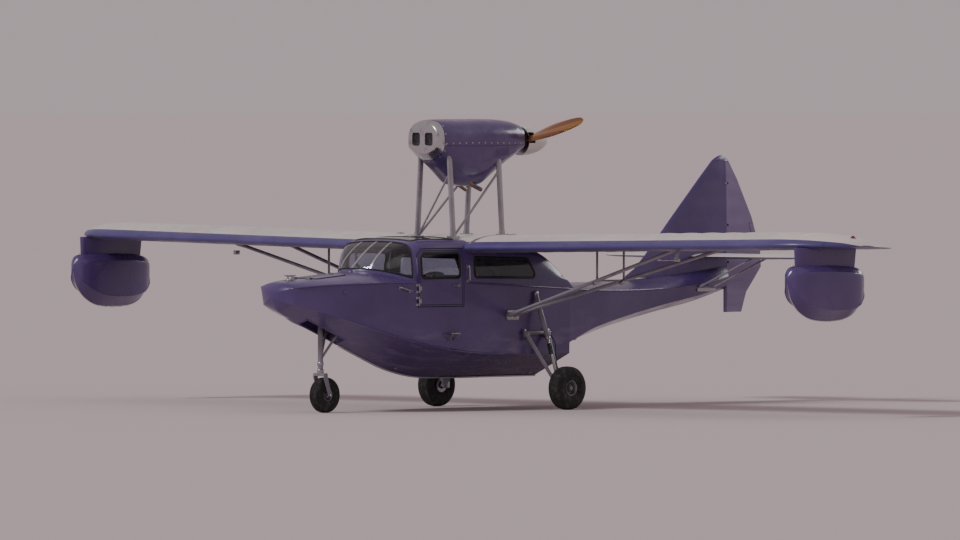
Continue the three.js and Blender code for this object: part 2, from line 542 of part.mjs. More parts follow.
const FLOAT_X = 5190;
const TIP_FLOAT = table('s half keel chine edge crown',
  [-870, 24, 1010, 1030, 1110, 1140],
  [-810, 84, 868, 930, 1140, 1192],
  [-690, 134, 745, 836, 1150, 1210],
  [-500, 158, 668, 774, 1152, 1214],
  [-150, 156, 656, 766, 1146, 1208],
  [70, 124, 712, 806, 1130, 1190],
  [190, 62, 836, 890, 1104, 1150],
  [230, 24, 950, 972, 1060, 1096]);
const floatHalf = r => [[0, r.keel], [0.94 * r.half, r.chine], [r.half, r.edge - 40], [0.86 * r.half, r.edge],
  [0.5 * r.half, r.crown - 10], [0, r.crown]];
function addTipFloats() {
  const body = grow => bodyOf(TIP_FLOAT, floatHalf, -grow).translate([FLOAT_X, 0, 0]);
  const pylon = uprightFoil([
    { at: [FLOAT_X, -320, 1150], chord: 860, thick: 92 },
    { at: [FLOAT_X, -310, 1420], chord: 900, thick: 108 }])
    .subtract(body(GAP)).subtract(onPanel(panelOf(GAP)))
    .subtract(box([4000, 6000], [-1500, 1500], [1390, HIGH]));
  for (const [name, sign] of [['left', 1], ['right', -1]]) {
    add(`tip_float_${name}`, ...PAINT, side(body(0), sign));
    add(`float_pylon_${name}`, ...PAINT, side(pylon, sign));
  }
}

// Engine group: strut frame on the wing, engine on its bearers, cowling round it, pusher propeller
const ENGINE_HEIGHT = 2420;
const FRAME = { x: 260, topX: 205, front: -660, rear: 50, top: 2290, chord: 74, thick: 34, bearer: 2300 };
const COWL_FRONT = -850;
const COWL = table('s size roof belly',
  [COWL_FRONT, 0.8, 186, 118], [-815, 0.91, 210, 150], [-740, 0.975, 224, 214], [-600, 1, 230, 326],
  [-450, 1, 230, 432], [-110, 1, 230, 436], [50, 0.98, 228, 350], [180, 0.94, 222, 270],
  [330, 0.85, 208, 190], [470, 0.66, 176, 128]);
const cowlHalf = r => [[0, -r.belly], [96 * r.size, -r.belly + 10], [222 * r.size, -0.56 * r.belly],
  [254 * r.size, -30], [242 * r.size, 0.5 * r.roof], [160 * r.size, r.roof - 26], [0, r.roof]].map(
  ([x, z]) => [x, ENGINE_HEIGHT + z]);
const NOSE_SPLIT = -770;
function addEngine() {
  const legs = [1, -1].flatMap(sx => [FRAME.front, FRAME.rear].map(y => ({ sx, y })));
  const leg = grow => join(legs.map(({ sx, y }) => uprightFoil([
    { at: [sx * FRAME.x, y, 1340], chord: FRAME.chord + 2 * grow, thick: FRAME.thick + 2 * grow },
    { at: [sx * FRAME.topX, y, FRAME.top], chord: FRAME.chord + 2 * grow, thick: FRAME.thick + 2 * grow }])));
  const feet = legs.map(({ sx, y }) => box([sx * FRAME.x - 45, sx * FRAME.x + 45], [y - 60, y + 60],
    [1340, (y < -300 ? 1455 : 1470)]));
  const bearers = [1, -1].map(sx => box([sx * 150 - 22, sx * 150 + 22], [-700, 120],
    [FRAME.bearer - 40, FRAME.bearer - GAP]));
  const crossTubes = [FRAME.front, FRAME.rear].map(y => rod([-FRAME.topX, y, FRAME.bearer - 22],
    [FRAME.topX, y, FRAME.bearer - 22], 15));
  const braces = grow => [1, -1].map(sx => rod([sx * (FRAME.x - 2), FRAME.front, 1440],
    [sx * (FRAME.x - 46), FRAME.rear, 2120], 13 + grow));
  const crossBrace = rod([-FRAME.x, FRAME.front, 1440], [FRAME.x - 44, FRAME.front, 2110], 11);
  const frame = join([leg(0), ...feet, ...bearers, ...crossTubes, ...braces(0), crossBrace]);
  add('engine_frame', ...STEEL, frame.subtract(centreClear).subtract(roofClear));

  const block = prismY([[-125, ENGINE_HEIGHT - 120], [125, ENGINE_HEIGHT - 120], [140, ENGINE_HEIGHT - 60],
    [110, ENGINE_HEIGHT + 100], [-110, ENGINE_HEIGHT + 100], [-140, ENGINE_HEIGHT - 60]], -600, 200);
  const feetOnBearers = [1, -1].flatMap(sx => [-520, 60].map(y => box(
    [sx * 150 - 30, sx * 150 + 30], [y - 40, y + 40], [FRAME.bearer, FRAME.bearer + 60])));
  const cylinders = [1, -1].flatMap(sx => [-440, -180].map(y => rod([sx * 110, y, ENGINE_HEIGHT],
    [sx * 226, y, ENGINE_HEIGHT], 66, 12)));
  const hubFace = PROP.y - PROP.depth / 2 - GAP;
  const shaft = rod([0, 190, ENGINE_HEIGHT], [0, hubFace, ENGINE_HEIGHT], 42, 12);
  const flange = rod([0, hubFace - 22, ENGINE_HEIGHT], [0, hubFace, ENGINE_HEIGHT], 75, 16);
  add('engine', ...ALUMINIUM, join([block, ...feetOnBearers, ...cylinders, shaft, flange]));

  const outer = bodyOf(COWL, cowlHalf, 0, 0);
  const hollow = bodyOf(insideRows(COWL, COWL_FRONT + 8, 470, 0), cowlHalf, 7, 0);
  const exit = rod([0, 400, ENGINE_HEIGHT + 10], [0, 600, ENGINE_HEIGHT + 10], 110, 16);
  const intakes = [1, -1].map(sx => box([sx * 92 - 56, sx * 92 + 56], [-900, -780],
    [ENGINE_HEIGHT - 42, ENGINE_HEIGHT + 92]));
  const ahead = box([-400, 400], [-1000, NOSE_SPLIT], [1800, HIGH]);
  const skin = outer.subtract(hollow).subtract(exit);
  add('nose_bowl', ...ALUMINIUM, skin.intersect(ahead).subtract(join(intakes)));
  add('cowling', ...PAINT, skin.subtract(box([-400, 400], [-1000, NOSE_SPLIT + GAP], [1800, HIGH]))
    .subtract(leg(GAP)).subtract(join(braces(GAP))).subtract(exhaust(1, GAP)).subtract(exhaust(-1, GAP)));
  add('exhaust_left', ...STEEL, exhaust(1, 0));
  add('exhaust_right', ...STEEL, exhaust(-1, 0));
}
const exhaust = (sign, grow) => side(join([
  rod([92, -310, ENGINE_HEIGHT - 120 - GAP], [92, -310, ENGINE_HEIGHT - 420], 24 + grow, 10),
  rod([92, -318, ENGINE_HEIGHT - 405], [112, -110, ENGINE_HEIGHT - 500], 24 + grow, 10),
]), sign);

const PROP = { y: 600, radius: 915, hub: 74, depth: 90, rest: 14 };
const BLADE = table('s chord thick pitch',
  [60, 84, 50, 52], [200, 120, 34, 40], [420, 142, 22, 26], [680, 122, 13, 18], [850, 84, 8, 14.5],
  [PROP.radius, 34, 4, 13]);
function addPropeller() {
  const blade = loft(stationsOf(BLADE, 0).map(s => sample(BLADE, s)).map(r => foilOutline.map(([u, v]) => {
    const [c, d] = [Math.cos(radians(r.pitch)), Math.sin(radians(r.pitch))];
    return [r.s, u * r.chord * d + v * r.thick * c, u * r.chord * c - v * r.thick * d];
  })));
  const hub = rod([0, -PROP.depth / 2, 0], [0, PROP.depth / 2, 0], PROP.hub, 16);
  const place = solid => solid.rotate([0, -PROP.rest, 0]).translate([0, PROP.y, ENGINE_HEIGHT]);
  const whole = join([hub, blade, blade.rotate([0, 180, 0])]);
  add('propeller', ...TIMBER, place(whole));
  const profile = [[0, -42], [150, -42], [150, 10], [141, 90], [118, 190], [78, 280], [34, 335], [0, 350]];
  const lathe = new THREE.LatheGeometry(profile.map(([r, y]) => new THREE.Vector2(r, y)), 20);
  const hole = rod([0, -50, 0], [0, PROP.depth / 2 + 1, 0], PROP.hub + 6, 16);
  const slots = [0, 180].map(turn => box([60, 170], [-50, 50], [-58, 58]).rotate([0, turn, 0]));
  const pin = rod([0, PROP.depth / 2 + GAP, 0], [0, PROP.depth / 2 + 20, 0], 40, 16);
  const cone = join([solidOf(lathe).subtract(hole).subtract(join(slots)), pin]);
  add('spinner', ...LIGHT_PAINT, place(cone));
}

// Tail
const RUDDER = { y: 3620, nose: 25, bottom: 610, top: 2195, hinges: [1135, 1520, 1960] };
const ELEVATOR = { y: 3560, z: 1200, nose: 22, inner: 66, tube: 14, hinges: [420, 1050] };
const FIN = table('s front rear thick',
  [600, 3300, 3850, 62], [820, 3200, 3930, 70], [960, 2040, 4050, 84], [1080, 2250, 4150, 84],
  [1250, 2440, 4140, 80], [1600, 2790, 4010, 74], [2000, 3200, 3790, 58], [2200, 3410, 3655, 36],
  [2250, 3500, 3600, 20]);
const TAILPLANE = table('s front rear thick',
  [0, 3060, 3935, 62], [900, 3120, 3935, 54], [1250, 3185, 3915, 44], [1430, 3280, 3850, 32],
  [1500, 3420, 3740, 16]);
const tailOf = grow => {
  const section = (r, sign) => foilOutline.map(([u, v]) => {
    const chord = r.rear - r.front + 2 * grow;
    return [sign * (r.s + (r.s === 1500 ? grow : 0)), (r.front + r.rear) / 2 + u * chord,
      ELEVATOR.z + v * (r.thick + 2 * grow)];
  });
  return loft([...TAILPLANE.slice(1).reverse().map(r => section(r, -1)), ...TAILPLANE.map(r => section(r, 1))]);
};
function addTail() {
  const tail = tailOf(0);
  const upright = loft(FIN.map(r => foilOutline.map(([u, v]) => [
    v * r.thick, (r.front + r.rear) / 2 + u * (r.rear - r.front), r.s])));
  // Elevator: both halves on one tube, cut back beside the rudder's swing
  const halves = [1, -1].map(sx => prismZ([[sx * ELEVATOR.inner, ELEVATOR.y - 100],
    [sx * ELEVATOR.inner, ELEVATOR.y], [sx * 290, 4000], [sx * 1600, 4000], [sx * 1600, ELEVATOR.y - 100]],
  1000, 1400));
  const behind = box([-1600, 1600], [ELEVATOR.y, 4100], [1000, 1400]);
  const elevatorNose = grow => hingeNose(ELEVATOR.nose + grow, ELEVATOR.y, ELEVATOR.z, -1600, 1600);
  const slots = ELEVATOR.hinges.flatMap(x => [x, -x]).map(x => box([x - 11, x + 11],
    [ELEVATOR.y - 60, ELEVATOR.y + 18], [1000, 1400]));
  const bores = ELEVATOR.hinges.flatMap(x => [x, -x]).map(x => rod([x - 60, ELEVATOR.y, ELEVATOR.z],
    [x + 60, ELEVATOR.y, ELEVATOR.z], HINGE.bore));
  const surfaces = tail.intersect(join([behind, elevatorNose(0)])).intersect(join(halves))
    .subtract(join([...slots, ...bores]));
  const tube = rod([-ELEVATOR.inner - 20, ELEVATOR.y, ELEVATOR.z], [ELEVATOR.inner + 20, ELEVATOR.y,
    ELEVATOR.z], ELEVATOR.tube, 10);
  add('elevator', ...LIGHT_PAINT, join([surfaces, tube]));
  const arms = ELEVATOR.hinges.flatMap(x => [x, -x]).flatMap(x => [
    box([x - 6, x + 6], [ELEVATOR.y - 45, ELEVATOR.y + 8], [ELEVATOR.z - 8, ELEVATOR.z + 8]),
    rod([x - 17, ELEVATOR.y, ELEVATOR.z], [x + 17, ELEVATOR.y, ELEVATOR.z], HINGE.pin)]);
  const fixed = tail.subtract(join([behind, elevatorNose(MOVING_GAP)]));
  add('tailplane', ...LIGHT_PAINT, join([fixed, ...arms]));

  // Rudder: from below the stern, as a water rudder, to the fin's tip
  const aft = box([-200, 200], [RUDDER.y, 4300], [RUDDER.bottom, RUDDER.top]);
  const rudderNose = (grow, from, to) => rod([0, RUDDER.y, from], [0, RUDDER.y, to], RUDDER.nose + grow, NOSE_SIDES);
  const rudderSlots = RUDDER.hinges.map(z => box([-60, 60], [RUDDER.y - 60, RUDDER.y + 22], [z - 12, z + 12]));
  const rudderBores = RUDDER.hinges.map(z => rod([0, RUDDER.y, z - 60], [0, RUDDER.y, z + 60], HINGE.bore));
  const rudder = upright.intersect(join([aft, rudderNose(0, RUDDER.bottom, RUDDER.top)]))
    .subtract(join([...rudderSlots, ...rudderBores]));
  add('rudder', ...PAINT, rudder);
  const rudderArms = RUDDER.hinges.flatMap(z => [
    box([-9, 9], [RUDDER.y - 50, RUDDER.y + 9], [z - 6, z + 6]),
    rod([0, RUDDER.y, z - 18], [0, RUDDER.y, z + 18], HINGE.pin)]);
  const tubeHole = rod([-200, ELEVATOR.y, ELEVATOR.z], [200, ELEVATOR.y, ELEVATOR.z], ELEVATOR.tube + MOVING_GAP, 10);
  const finZone = box([-200, 200], [1900, 4300], [960, 2260]);
  const fin = upright.intersect(finZone)
    .subtract(box([-200, 200], [RUDDER.y, 4300], [900, RUDDER.top + MOVING_GAP]))
    .subtract(rudderNose(MOVING_GAP, 900, RUDDER.top + MOVING_GAP))
    .subtract(tailOf(GAP).subtract(box([-1600, 1600], [ELEVATOR.y, 4300], [1000, 1400])))
    .subtract(tubeHole).subtract(aftClear);
  add('fin', ...PAINT, join([fin, ...rudderArms]));
  for (const [name, sign] of [['left', 1], ['right', -1]]) {
    const brace = y => spanwiseFoil([{ at: [130, y.foot, 850], chord: 44, thick: 20 },
      { at: [820, y.top, ELEVATOR.z], chord: 44, thick: 20 }]);
    const pair = join([brace({ foot: 3020, top: 3230 }), brace({ foot: 3260, top: 3430 }),
      box([110, 190], [3000, 3280], [835, 872])]);
    add(`tail_brace_${name}`, ...STEEL, side(pair, sign).subtract(aftClear).subtract(tailOf(GAP)));
  }
}

// Landing gear
const GROUND = -KEEL_HEIGHT;
const MAIN = { x: 950, y: 300, radius: 222.5, pivotX: 578, pivotZ: 455, from: 60, to: 400 };
const NOSE = { y: -2250, steerY: -2310, radius: 180, half: 60 };
const WHEEL_SEGMENTS = 20;
const mainTyre = [[36, 222.5], [70, 200], [80, 150], [60, 78.3]];
const mainRim = [[46, 17], [20, 50], [66, 78]];
const noseTyre = [[26, 180], [52, 163], [60, 120], [44, 64.3]];
const noseRim = [[40, 9.6], [14, 40], [48, 64]];
// The brake disc hangs on the inner flange of the rim, its housing on the leg
const brakeDisc = [[-76, 40], [-71, 40], [-71, 66], [-58, 66], [-58, 77], [-76, 77]];
const BRAKE = { from: 850, to: 868, near: 340, far: 392, half: 34 };
const mirrored = half => [...half, ...half.slice().reverse().map(([x, r]) => [-x, r])];
function addGear() {
  const axleZ = GROUND + MAIN.radius;
  const axle = [MAIN.x, MAIN.y, axleZ];
  const end = [842, MAIN.y, axleZ];
  const leg = join([
    rod([MAIN.pivotX, MAIN.from - 20, MAIN.pivotZ], [MAIN.pivotX, MAIN.to + 20, MAIN.pivotZ], 22),
    rod([MAIN.pivotX, MAIN.from + 10, MAIN.pivotZ], [end[0] - 6, end[1] - 14, end[2] + 6], 22, 8, 18),
    rod([MAIN.pivotX, MAIN.to - 10, MAIN.pivotZ], [end[0] - 6, end[1] + 14, end[2] + 6], 22, 8, 18),
    rod([815, MAIN.y, axleZ], [862, MAIN.y, axleZ], 30),
    rod([815, MAIN.y, axleZ], [1008, MAIN.y, axleZ], 16, 10),
    rod([end[0] - 10, end[1], end[2] + 10], [566, 230, 850], 15),
    rod([708, 266, 392], [566, 230, 850], 25),
    ...[MAIN.from, MAIN.to].map(y => box([520, MAIN.pivotX + 6], [y - 14, y + 14], [400, 500])),
    box([520, 584], [205, 255], [815, 885]),
    box([BRAKE.from, BRAKE.to], [BRAKE.near, BRAKE.far], [axleZ - BRAKE.half, axleZ + BRAKE.half]),
    box([BRAKE.from - 4, BRAKE.to - 8], [MAIN.y, BRAKE.near + 8], [axleZ - 14, axleZ + 14]),
  ]);
  for (const [name, sign] of [['left', 1], ['right', -1]]) {
    const at = solid => solid.translate([sign * MAIN.x, MAIN.y, axleZ]);
    add(`gear_leg_${name}`, ...STEEL, side(leg, sign).subtract(hullClear));
    add(`wheel_${name}`, ...ALUMINIUM, at(join([turnedX(mirrored(mainRim), WHEEL_SEGMENTS),
      side(turnedX(brakeDisc, WHEEL_SEGMENTS), sign)])));
    add(`tyre_${name}`, ...RUBBER, at(turnedX(mirrored(mainTyre), WHEEL_SEGMENTS)));
  }
  const noseAxleZ = GROUND + NOSE.radius;
  const steer = (z0, z1, radius, sides = 12) => rod([0, NOSE.steerY, z0], [0, NOSE.steerY, z1], radius, sides);
  add('nose_leg', ...STEEL, join([
    steer(115, 760, 27),
    steer(66, 116, 14),
    rod([-WELL.half + GAP, NOSE.steerY, 700], [WELL.half - GAP, NOSE.steerY, 700], 18),
    ...[1, -1].map(sx => rod([0, NOSE.steerY, 210], [sx * (WELL.half - 14), WELL.rear - 20, 560], 14)),
    ...[1, -1].map(sx => box([sx * (WELL.half - 16) - 15.7, sx * (WELL.half - 16) + 15.7],
      [WELL.rear - 46, WELL.rear - GAP], [530, 590])),
  ]));
  const fork = [1, -1].flatMap(sx => [
    prismX([[NOSE.steerY - 24, 44], [NOSE.steerY + 24, 44], [NOSE.y + 20, noseAxleZ - 14],
      [NOSE.y - 20, noseAxleZ - 14], [NOSE.steerY - 30, 60]], sx * 68, sx * 80)]);
  add('nose_fork', ...STEEL, join([...fork,
    box([-80, 80], [NOSE.steerY - 28, NOSE.steerY + 28], [44, 74]),
    steer(60, 114.7, 34),
    rod([-84, NOSE.y, noseAxleZ], [84, NOSE.y, noseAxleZ], 9, 10),
  ]).subtract(steer(60, 120, 14.6)));
  const atNose = solid => solid.translate([0, NOSE.y, noseAxleZ]);
  add('nose_wheel', ...ALUMINIUM, atNose(turnedX(mirrored(noseRim), WHEEL_SEGMENTS)));
  add('nose_tyre', ...RUBBER, atNose(turnedX(mirrored(noseTyre), WHEEL_SEGMENTS)));
}

function addFittings() {
  const base = box([-35, 35], [-2800, -2680], [980, 1034]);
  const posts = [-2770, -2710].map(y => rod([0, y, 1020], [0, y, 1066], 10, 12));
  const bar = box([-14, 14], [-2820, -2660], [1062, 1080]);
  add('bow_cleat', ...STEEL, join([base, ...posts, bar]).subtract(foreClear));
}

addHull();
addCabin();
addCockpit();
addWing();
addStruts();
addTipFloats();
addEngine();
addPropeller();
addTail();
addGear();
addFittings();

// The aircraft stands on its wheels with its middle over the origin
const airframe = new THREE.Group();
airframe.name = 'airframe';
airframe.position.set(0, -(BOW + LENGTH / 2), KEEL_HEIGHT);
airframe.add(...meshes);

const group = new THREE.Group();
group.name = 'flying_boat';
group.add(airframe);

export default group;
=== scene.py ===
# %% [markdown]
# A small amphibious flying boat, dressed for its portrait.
#
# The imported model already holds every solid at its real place: hull, wing, floats, engine, tail and landing
# gear. This lesson keeps that frame as it is and lays the visible surfaces round it: painted plywood, doped
# fabric over ribs, sheet metal, varnished wood, rubber and upholstery. Each surface is a formula on a grid of
# two parameters, worked out with numpy in the drawing's own millimetres and then carried into the frame.

# %% The frame and the tools
import math

import bmesh
import bpy
import numpy as np
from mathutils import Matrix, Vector
from mathutils.bvhtree import BVHTree


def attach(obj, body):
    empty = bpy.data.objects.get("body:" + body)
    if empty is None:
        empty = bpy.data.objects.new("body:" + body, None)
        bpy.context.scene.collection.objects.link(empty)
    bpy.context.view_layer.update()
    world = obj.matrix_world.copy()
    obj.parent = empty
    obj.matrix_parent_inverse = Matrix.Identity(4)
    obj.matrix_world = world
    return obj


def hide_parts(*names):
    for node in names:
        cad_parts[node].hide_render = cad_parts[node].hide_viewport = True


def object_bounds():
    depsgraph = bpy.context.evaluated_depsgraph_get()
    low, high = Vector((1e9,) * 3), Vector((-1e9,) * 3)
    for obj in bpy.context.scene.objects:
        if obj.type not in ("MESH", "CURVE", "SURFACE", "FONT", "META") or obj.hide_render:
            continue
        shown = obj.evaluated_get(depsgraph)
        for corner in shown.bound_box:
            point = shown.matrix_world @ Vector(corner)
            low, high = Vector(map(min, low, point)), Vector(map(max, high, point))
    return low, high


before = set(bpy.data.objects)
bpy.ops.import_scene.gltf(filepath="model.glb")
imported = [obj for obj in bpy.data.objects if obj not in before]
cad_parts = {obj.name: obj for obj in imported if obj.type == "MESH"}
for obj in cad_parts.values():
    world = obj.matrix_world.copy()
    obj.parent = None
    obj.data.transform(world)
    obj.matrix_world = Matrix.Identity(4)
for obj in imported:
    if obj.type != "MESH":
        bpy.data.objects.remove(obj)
cad_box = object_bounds()

# %% [markdown]
# The drawing measures stations s aft from the wing's middle and heights z up from the flat of the keel, with
# +x to port. The frame stands on its wheels, with its middle over the origin. One shift joins the two.

# %% Stations and heights
MM = 0.001
BOW = -2990.0
KEEL_HEIGHT = 330.0
STEP = 780.0
STERN = 3580.0
SHIFT = np.array([0.0, cad_box[0][1] / MM - BOW, KEEL_HEIGHT])


def in_frame(points):
    """Millimetres of the drawing to metres of the frame: add the shift, then scale."""
    return (np.asarray(points, float) + SHIFT) * MM


print("shift, mm:", SHIFT.round(2))

# %% [markdown]
# The camera comes first. The photograph was taken from far off over the water, off the port bow, at about 45
# degrees to the keel and one degree above the deck, so a long lens far away gives the same flat perspective.

# %% Camera
AZIMUTH = math.radians(45)
ELEVATION = math.radians(1)
DISTANCE = 150.0
SEEN_WIDTH = 9.9
AIM_SIDE = -0.42
AIM_DROP = 0.08
SENSOR = 36.0

toward = np.array([math.sin(AZIMUTH) * math.cos(ELEVATION), -math.cos(AZIMUTH) * math.cos(ELEVATION),
                   math.sin(ELEVATION)])
sideways = np.array([math.cos(AZIMUTH), math.sin(AZIMUTH), 0.0])
aim = AIM_SIDE * sideways + np.array([0, 0, (cad_box[0][2] + cad_box[1][2]) / 2 - AIM_DROP])
lens = bpy.data.cameras.new("camera")
lens.sensor_width = SENSOR
lens.lens = SENSOR * DISTANCE / SEEN_WIDTH
lens.clip_end = 4 * DISTANCE
camera = bpy.data.objects.new("camera", lens)
camera.location = aim + DISTANCE * toward
camera.rotation_euler = (math.pi / 2 - ELEVATION, 0, AZIMUTH)
bpy.context.scene.collection.objects.link(camera)
bpy.context.scene.camera = camera
print("lens, mm:", round(lens.lens))

# %% [markdown]
# A pale floor and the haze behind it. A low sun through haze lights floor and boat alike, so its strength is
# worked out from the sky's: floor and sky then have the same brightness, and no horizon shows. Two soft
# panels, one off the port bow and one behind, draw the edges of hull, wing and tail. They are linked to light
# everything but the floor, because their pools of light on it would show its extent.

# %% Floor and light
FLOOR_SIZE = 3000.0
FLOOR_TONE = "#CDBFC1"
HAZE_TONE = "#DCCFD2"
HAZE = 0.62
SUN_HEIGHT, SUN_SIDE, SUN_SOFTNESS = math.radians(38), math.radians(-8), math.radians(12)


def linear(hex_colour, alpha=None):
    """An sRGB hex colour as linear light: c / 12.92 below 0.04045, else ((c + 0.055) / 1.055) ^ 2.4."""
    srgb = np.array([int(hex_colour[i:i + 2], 16) for i in (1, 3, 5)]) / 255
    light = np.where(srgb <= 0.04045, srgb / 12.92, ((srgb + 0.055) / 1.055) ** 2.4)
    return tuple(light) if alpha is None else (*light, alpha)


def add_node(material, kind, links=None, **settings):
    """Adds one node, sets its properties, and links or sets each named input."""
    tree = material.node_tree
    node = tree.nodes.new(kind)
    for key, value in settings.items():
        setattr(node, key, value)
    for key, value in (links or {}).items():
        if isinstance(value, bpy.types.NodeSocket):
            tree.links.new(value, node.inputs[key])
        else:
            node.inputs[key].default_value = value
    return node


def area_light(name, place, target, size, power, colour):
    """A soft panel of light at place, turned to look at target."""
    data = bpy.data.lights.new(name, "AREA")
    data.shape = "RECTANGLE"
    data.size, data.size_y = size
    data.energy = power
    data.color = linear(colour)
    lamp = bpy.data.objects.new(name, data)
    lamp.location = place
    look = np.subtract(target, place)
    reach = math.hypot(look[0], look[1])
    lamp.rotation_euler = (math.atan2(reach, -look[2]), 0, math.atan2(-look[0], look[1]))
    lamp.light_linking.receiver_collection = not_floor
    bpy.context.scene.collection.objects.link(lamp)
    return lamp


floor_mesh = bpy.data.meshes.new("floor")
half = FLOOR_SIZE / 2
floor_corners = [(-half, -half, 0), (half, -half, 0), (half, half, 0), (-half, half, 0)]
floor_mesh.from_pydata(floor_corners, [], [(0, 1, 2, 3)])
floor = bpy.data.objects.new("floor", floor_mesh)
bpy.context.scene.collection.objects.link(floor)
paper = bpy.data.materials.new("studio_floor")
paper.use_nodes = True
for key, value in (("Base Color", linear(FLOOR_TONE, 1)), ("Roughness", 1.0), ("Specular IOR Level", 0.0)):
    paper.node_tree.nodes["Principled BSDF"].inputs[key].default_value = value
floor_mesh.materials.append(paper)
not_floor = bpy.data.collections.new("all_but_the_floor")
not_floor.objects.link(floor)
not_floor.collection_objects[0].light_linking.link_state = "EXCLUDE"

world = bpy.data.worlds.new("studio")
bpy.context.scene.world = world
world.use_nodes = True
for key, value in (("Color", linear(HAZE_TONE, 1)), ("Strength", HAZE)):
    world.node_tree.nodes["Background"].inputs[key].default_value = value
floor_white = sum(linear(FLOOR_TONE)) / 3
haze_white = sum(linear(HAZE_TONE)) / 3
sun_data = bpy.data.lights.new("sun", "SUN")
sun_data.angle = SUN_SOFTNESS
sun_data.energy = math.pi * HAZE * haze_white * (1 / floor_white - 1) / math.sin(SUN_HEIGHT)
sun = bpy.data.objects.new("sun", sun_data)
sun.rotation_euler = (math.pi / 2 - SUN_HEIGHT, 0, SUN_SIDE)
bpy.context.scene.collection.objects.link(sun)
area_light("key", (16, -15, 9), (0, 0, 1.4), (10, 8), 520, "#FFF4EC").visible_glossy = False
area_light("rim", (4, 17, 8), (0, 0, 1.8), (12, 5), 700, "#FFFFFF")

# %% [markdown]
# Every piece below is one or more patches: a grid of points with quads between neighbours, or a loft of
# closed outlines with a face at each end. A patch is kept as a pair, its points and its faces. One function
# turns a list of patches into a finished object: it merges the seams, may give a sheet its thickness with
# Solidify and soften its edges with Bevel, and marks the sharp creases. Closed lengths that meet end to end
# stay a hair apart, 0.05 mm, so that each keeps its own shading.

# %% Patches and pieces
CREASE = math.radians(32)
HAIR = 0.05


def grid(points, wrap=False, flip=False):
    """Quads between neighbours of an (n, m, 3) array; wrap joins the last column to the first."""
    points = np.asarray(points, float)
    n, m = points.shape[:2]
    index = np.arange(n * m).reshape(n, m)
    if wrap:
        index = np.concatenate([index, index[:, :1]], axis=1)
    quads = np.stack([index[:-1, :-1], index[1:, :-1], index[1:, 1:], index[:-1, 1:]], -1).reshape(-1, 4)
    return points.reshape(-1, 3), [quads[:, ::-1] if flip else quads]


def volume(points, faces):
    """Signed volume inside the faces, a sixth of the sum of p0 . (p1 x p2) over a fan of triangles."""
    total = 0.0
    for block in faces:
        for k in range(1, block.shape[1] - 1):
            a, b, c = points[block[:, 0]], points[block[:, k]], points[block[:, k + 1]]
            total += np.einsum("ij,ij->", a, np.cross(b, c))
    return total / 6


def outward(points, faces):
    """A closed patch, its faces turned over if they look inwards."""
    if volume(points, faces) < 0:
        faces = [block[:, ::-1] for block in faces]
    return points, faces


def loft(sections):
    """A closed skin through (n, m, 3) outlines, with a face on each end, turned so that it faces out."""
    sections = np.asarray(sections, float)
    n, m = sections.shape[:2]
    points, faces = grid(sections, wrap=True)
    return outward(points, [*faces, np.arange(m)[None, :], np.arange((n - 1) * m, n * m)[None, ::-1]])


def join(*patches):
    """Several patches as one, their faces renumbered."""
    points, faces, start = [], [], 0
    for p, blocks in patches:
        points.append(p)
        faces += [block + start for block in blocks]
        start += len(p)
    return np.concatenate(points), faces


def moved(patch, matrix=None, shift=(0, 0, 0)):
    """A patch turned by a 3 by 3 matrix, then shifted; a matrix that mirrors also turns its faces."""
    points, faces = patch
    if matrix is not None:
        points = points @ np.asarray(matrix, float).T
        if np.linalg.det(matrix) < 0:
            faces = [block[:, ::-1] for block in faces]
    return points + np.asarray(shift, float), faces


MIRROR = np.diag([-1.0, 1.0, 1.0])
SIDES = {"left": np.eye(3), "right": MIRROR}
pieces = {}


def applied(thing):
    """Works an object's modifiers into its mesh."""
    view = bpy.context.evaluated_depsgraph_get()
    thing_mesh = bpy.data.meshes.new_from_object(thing.evaluated_get(view))
    thing.modifiers.clear()
    thing.data = thing_mesh
    return thing_mesh


def smooth(mesh):
    """Shades every face of a mesh smooth."""
    mesh.polygons.foreach_set("use_smooth", np.ones(len(mesh.polygons), bool))


def numbered(number, *patches):
    """Patches that share one finish, as (patch, material index) pairs."""
    return [(patch, number) for patch in patches]


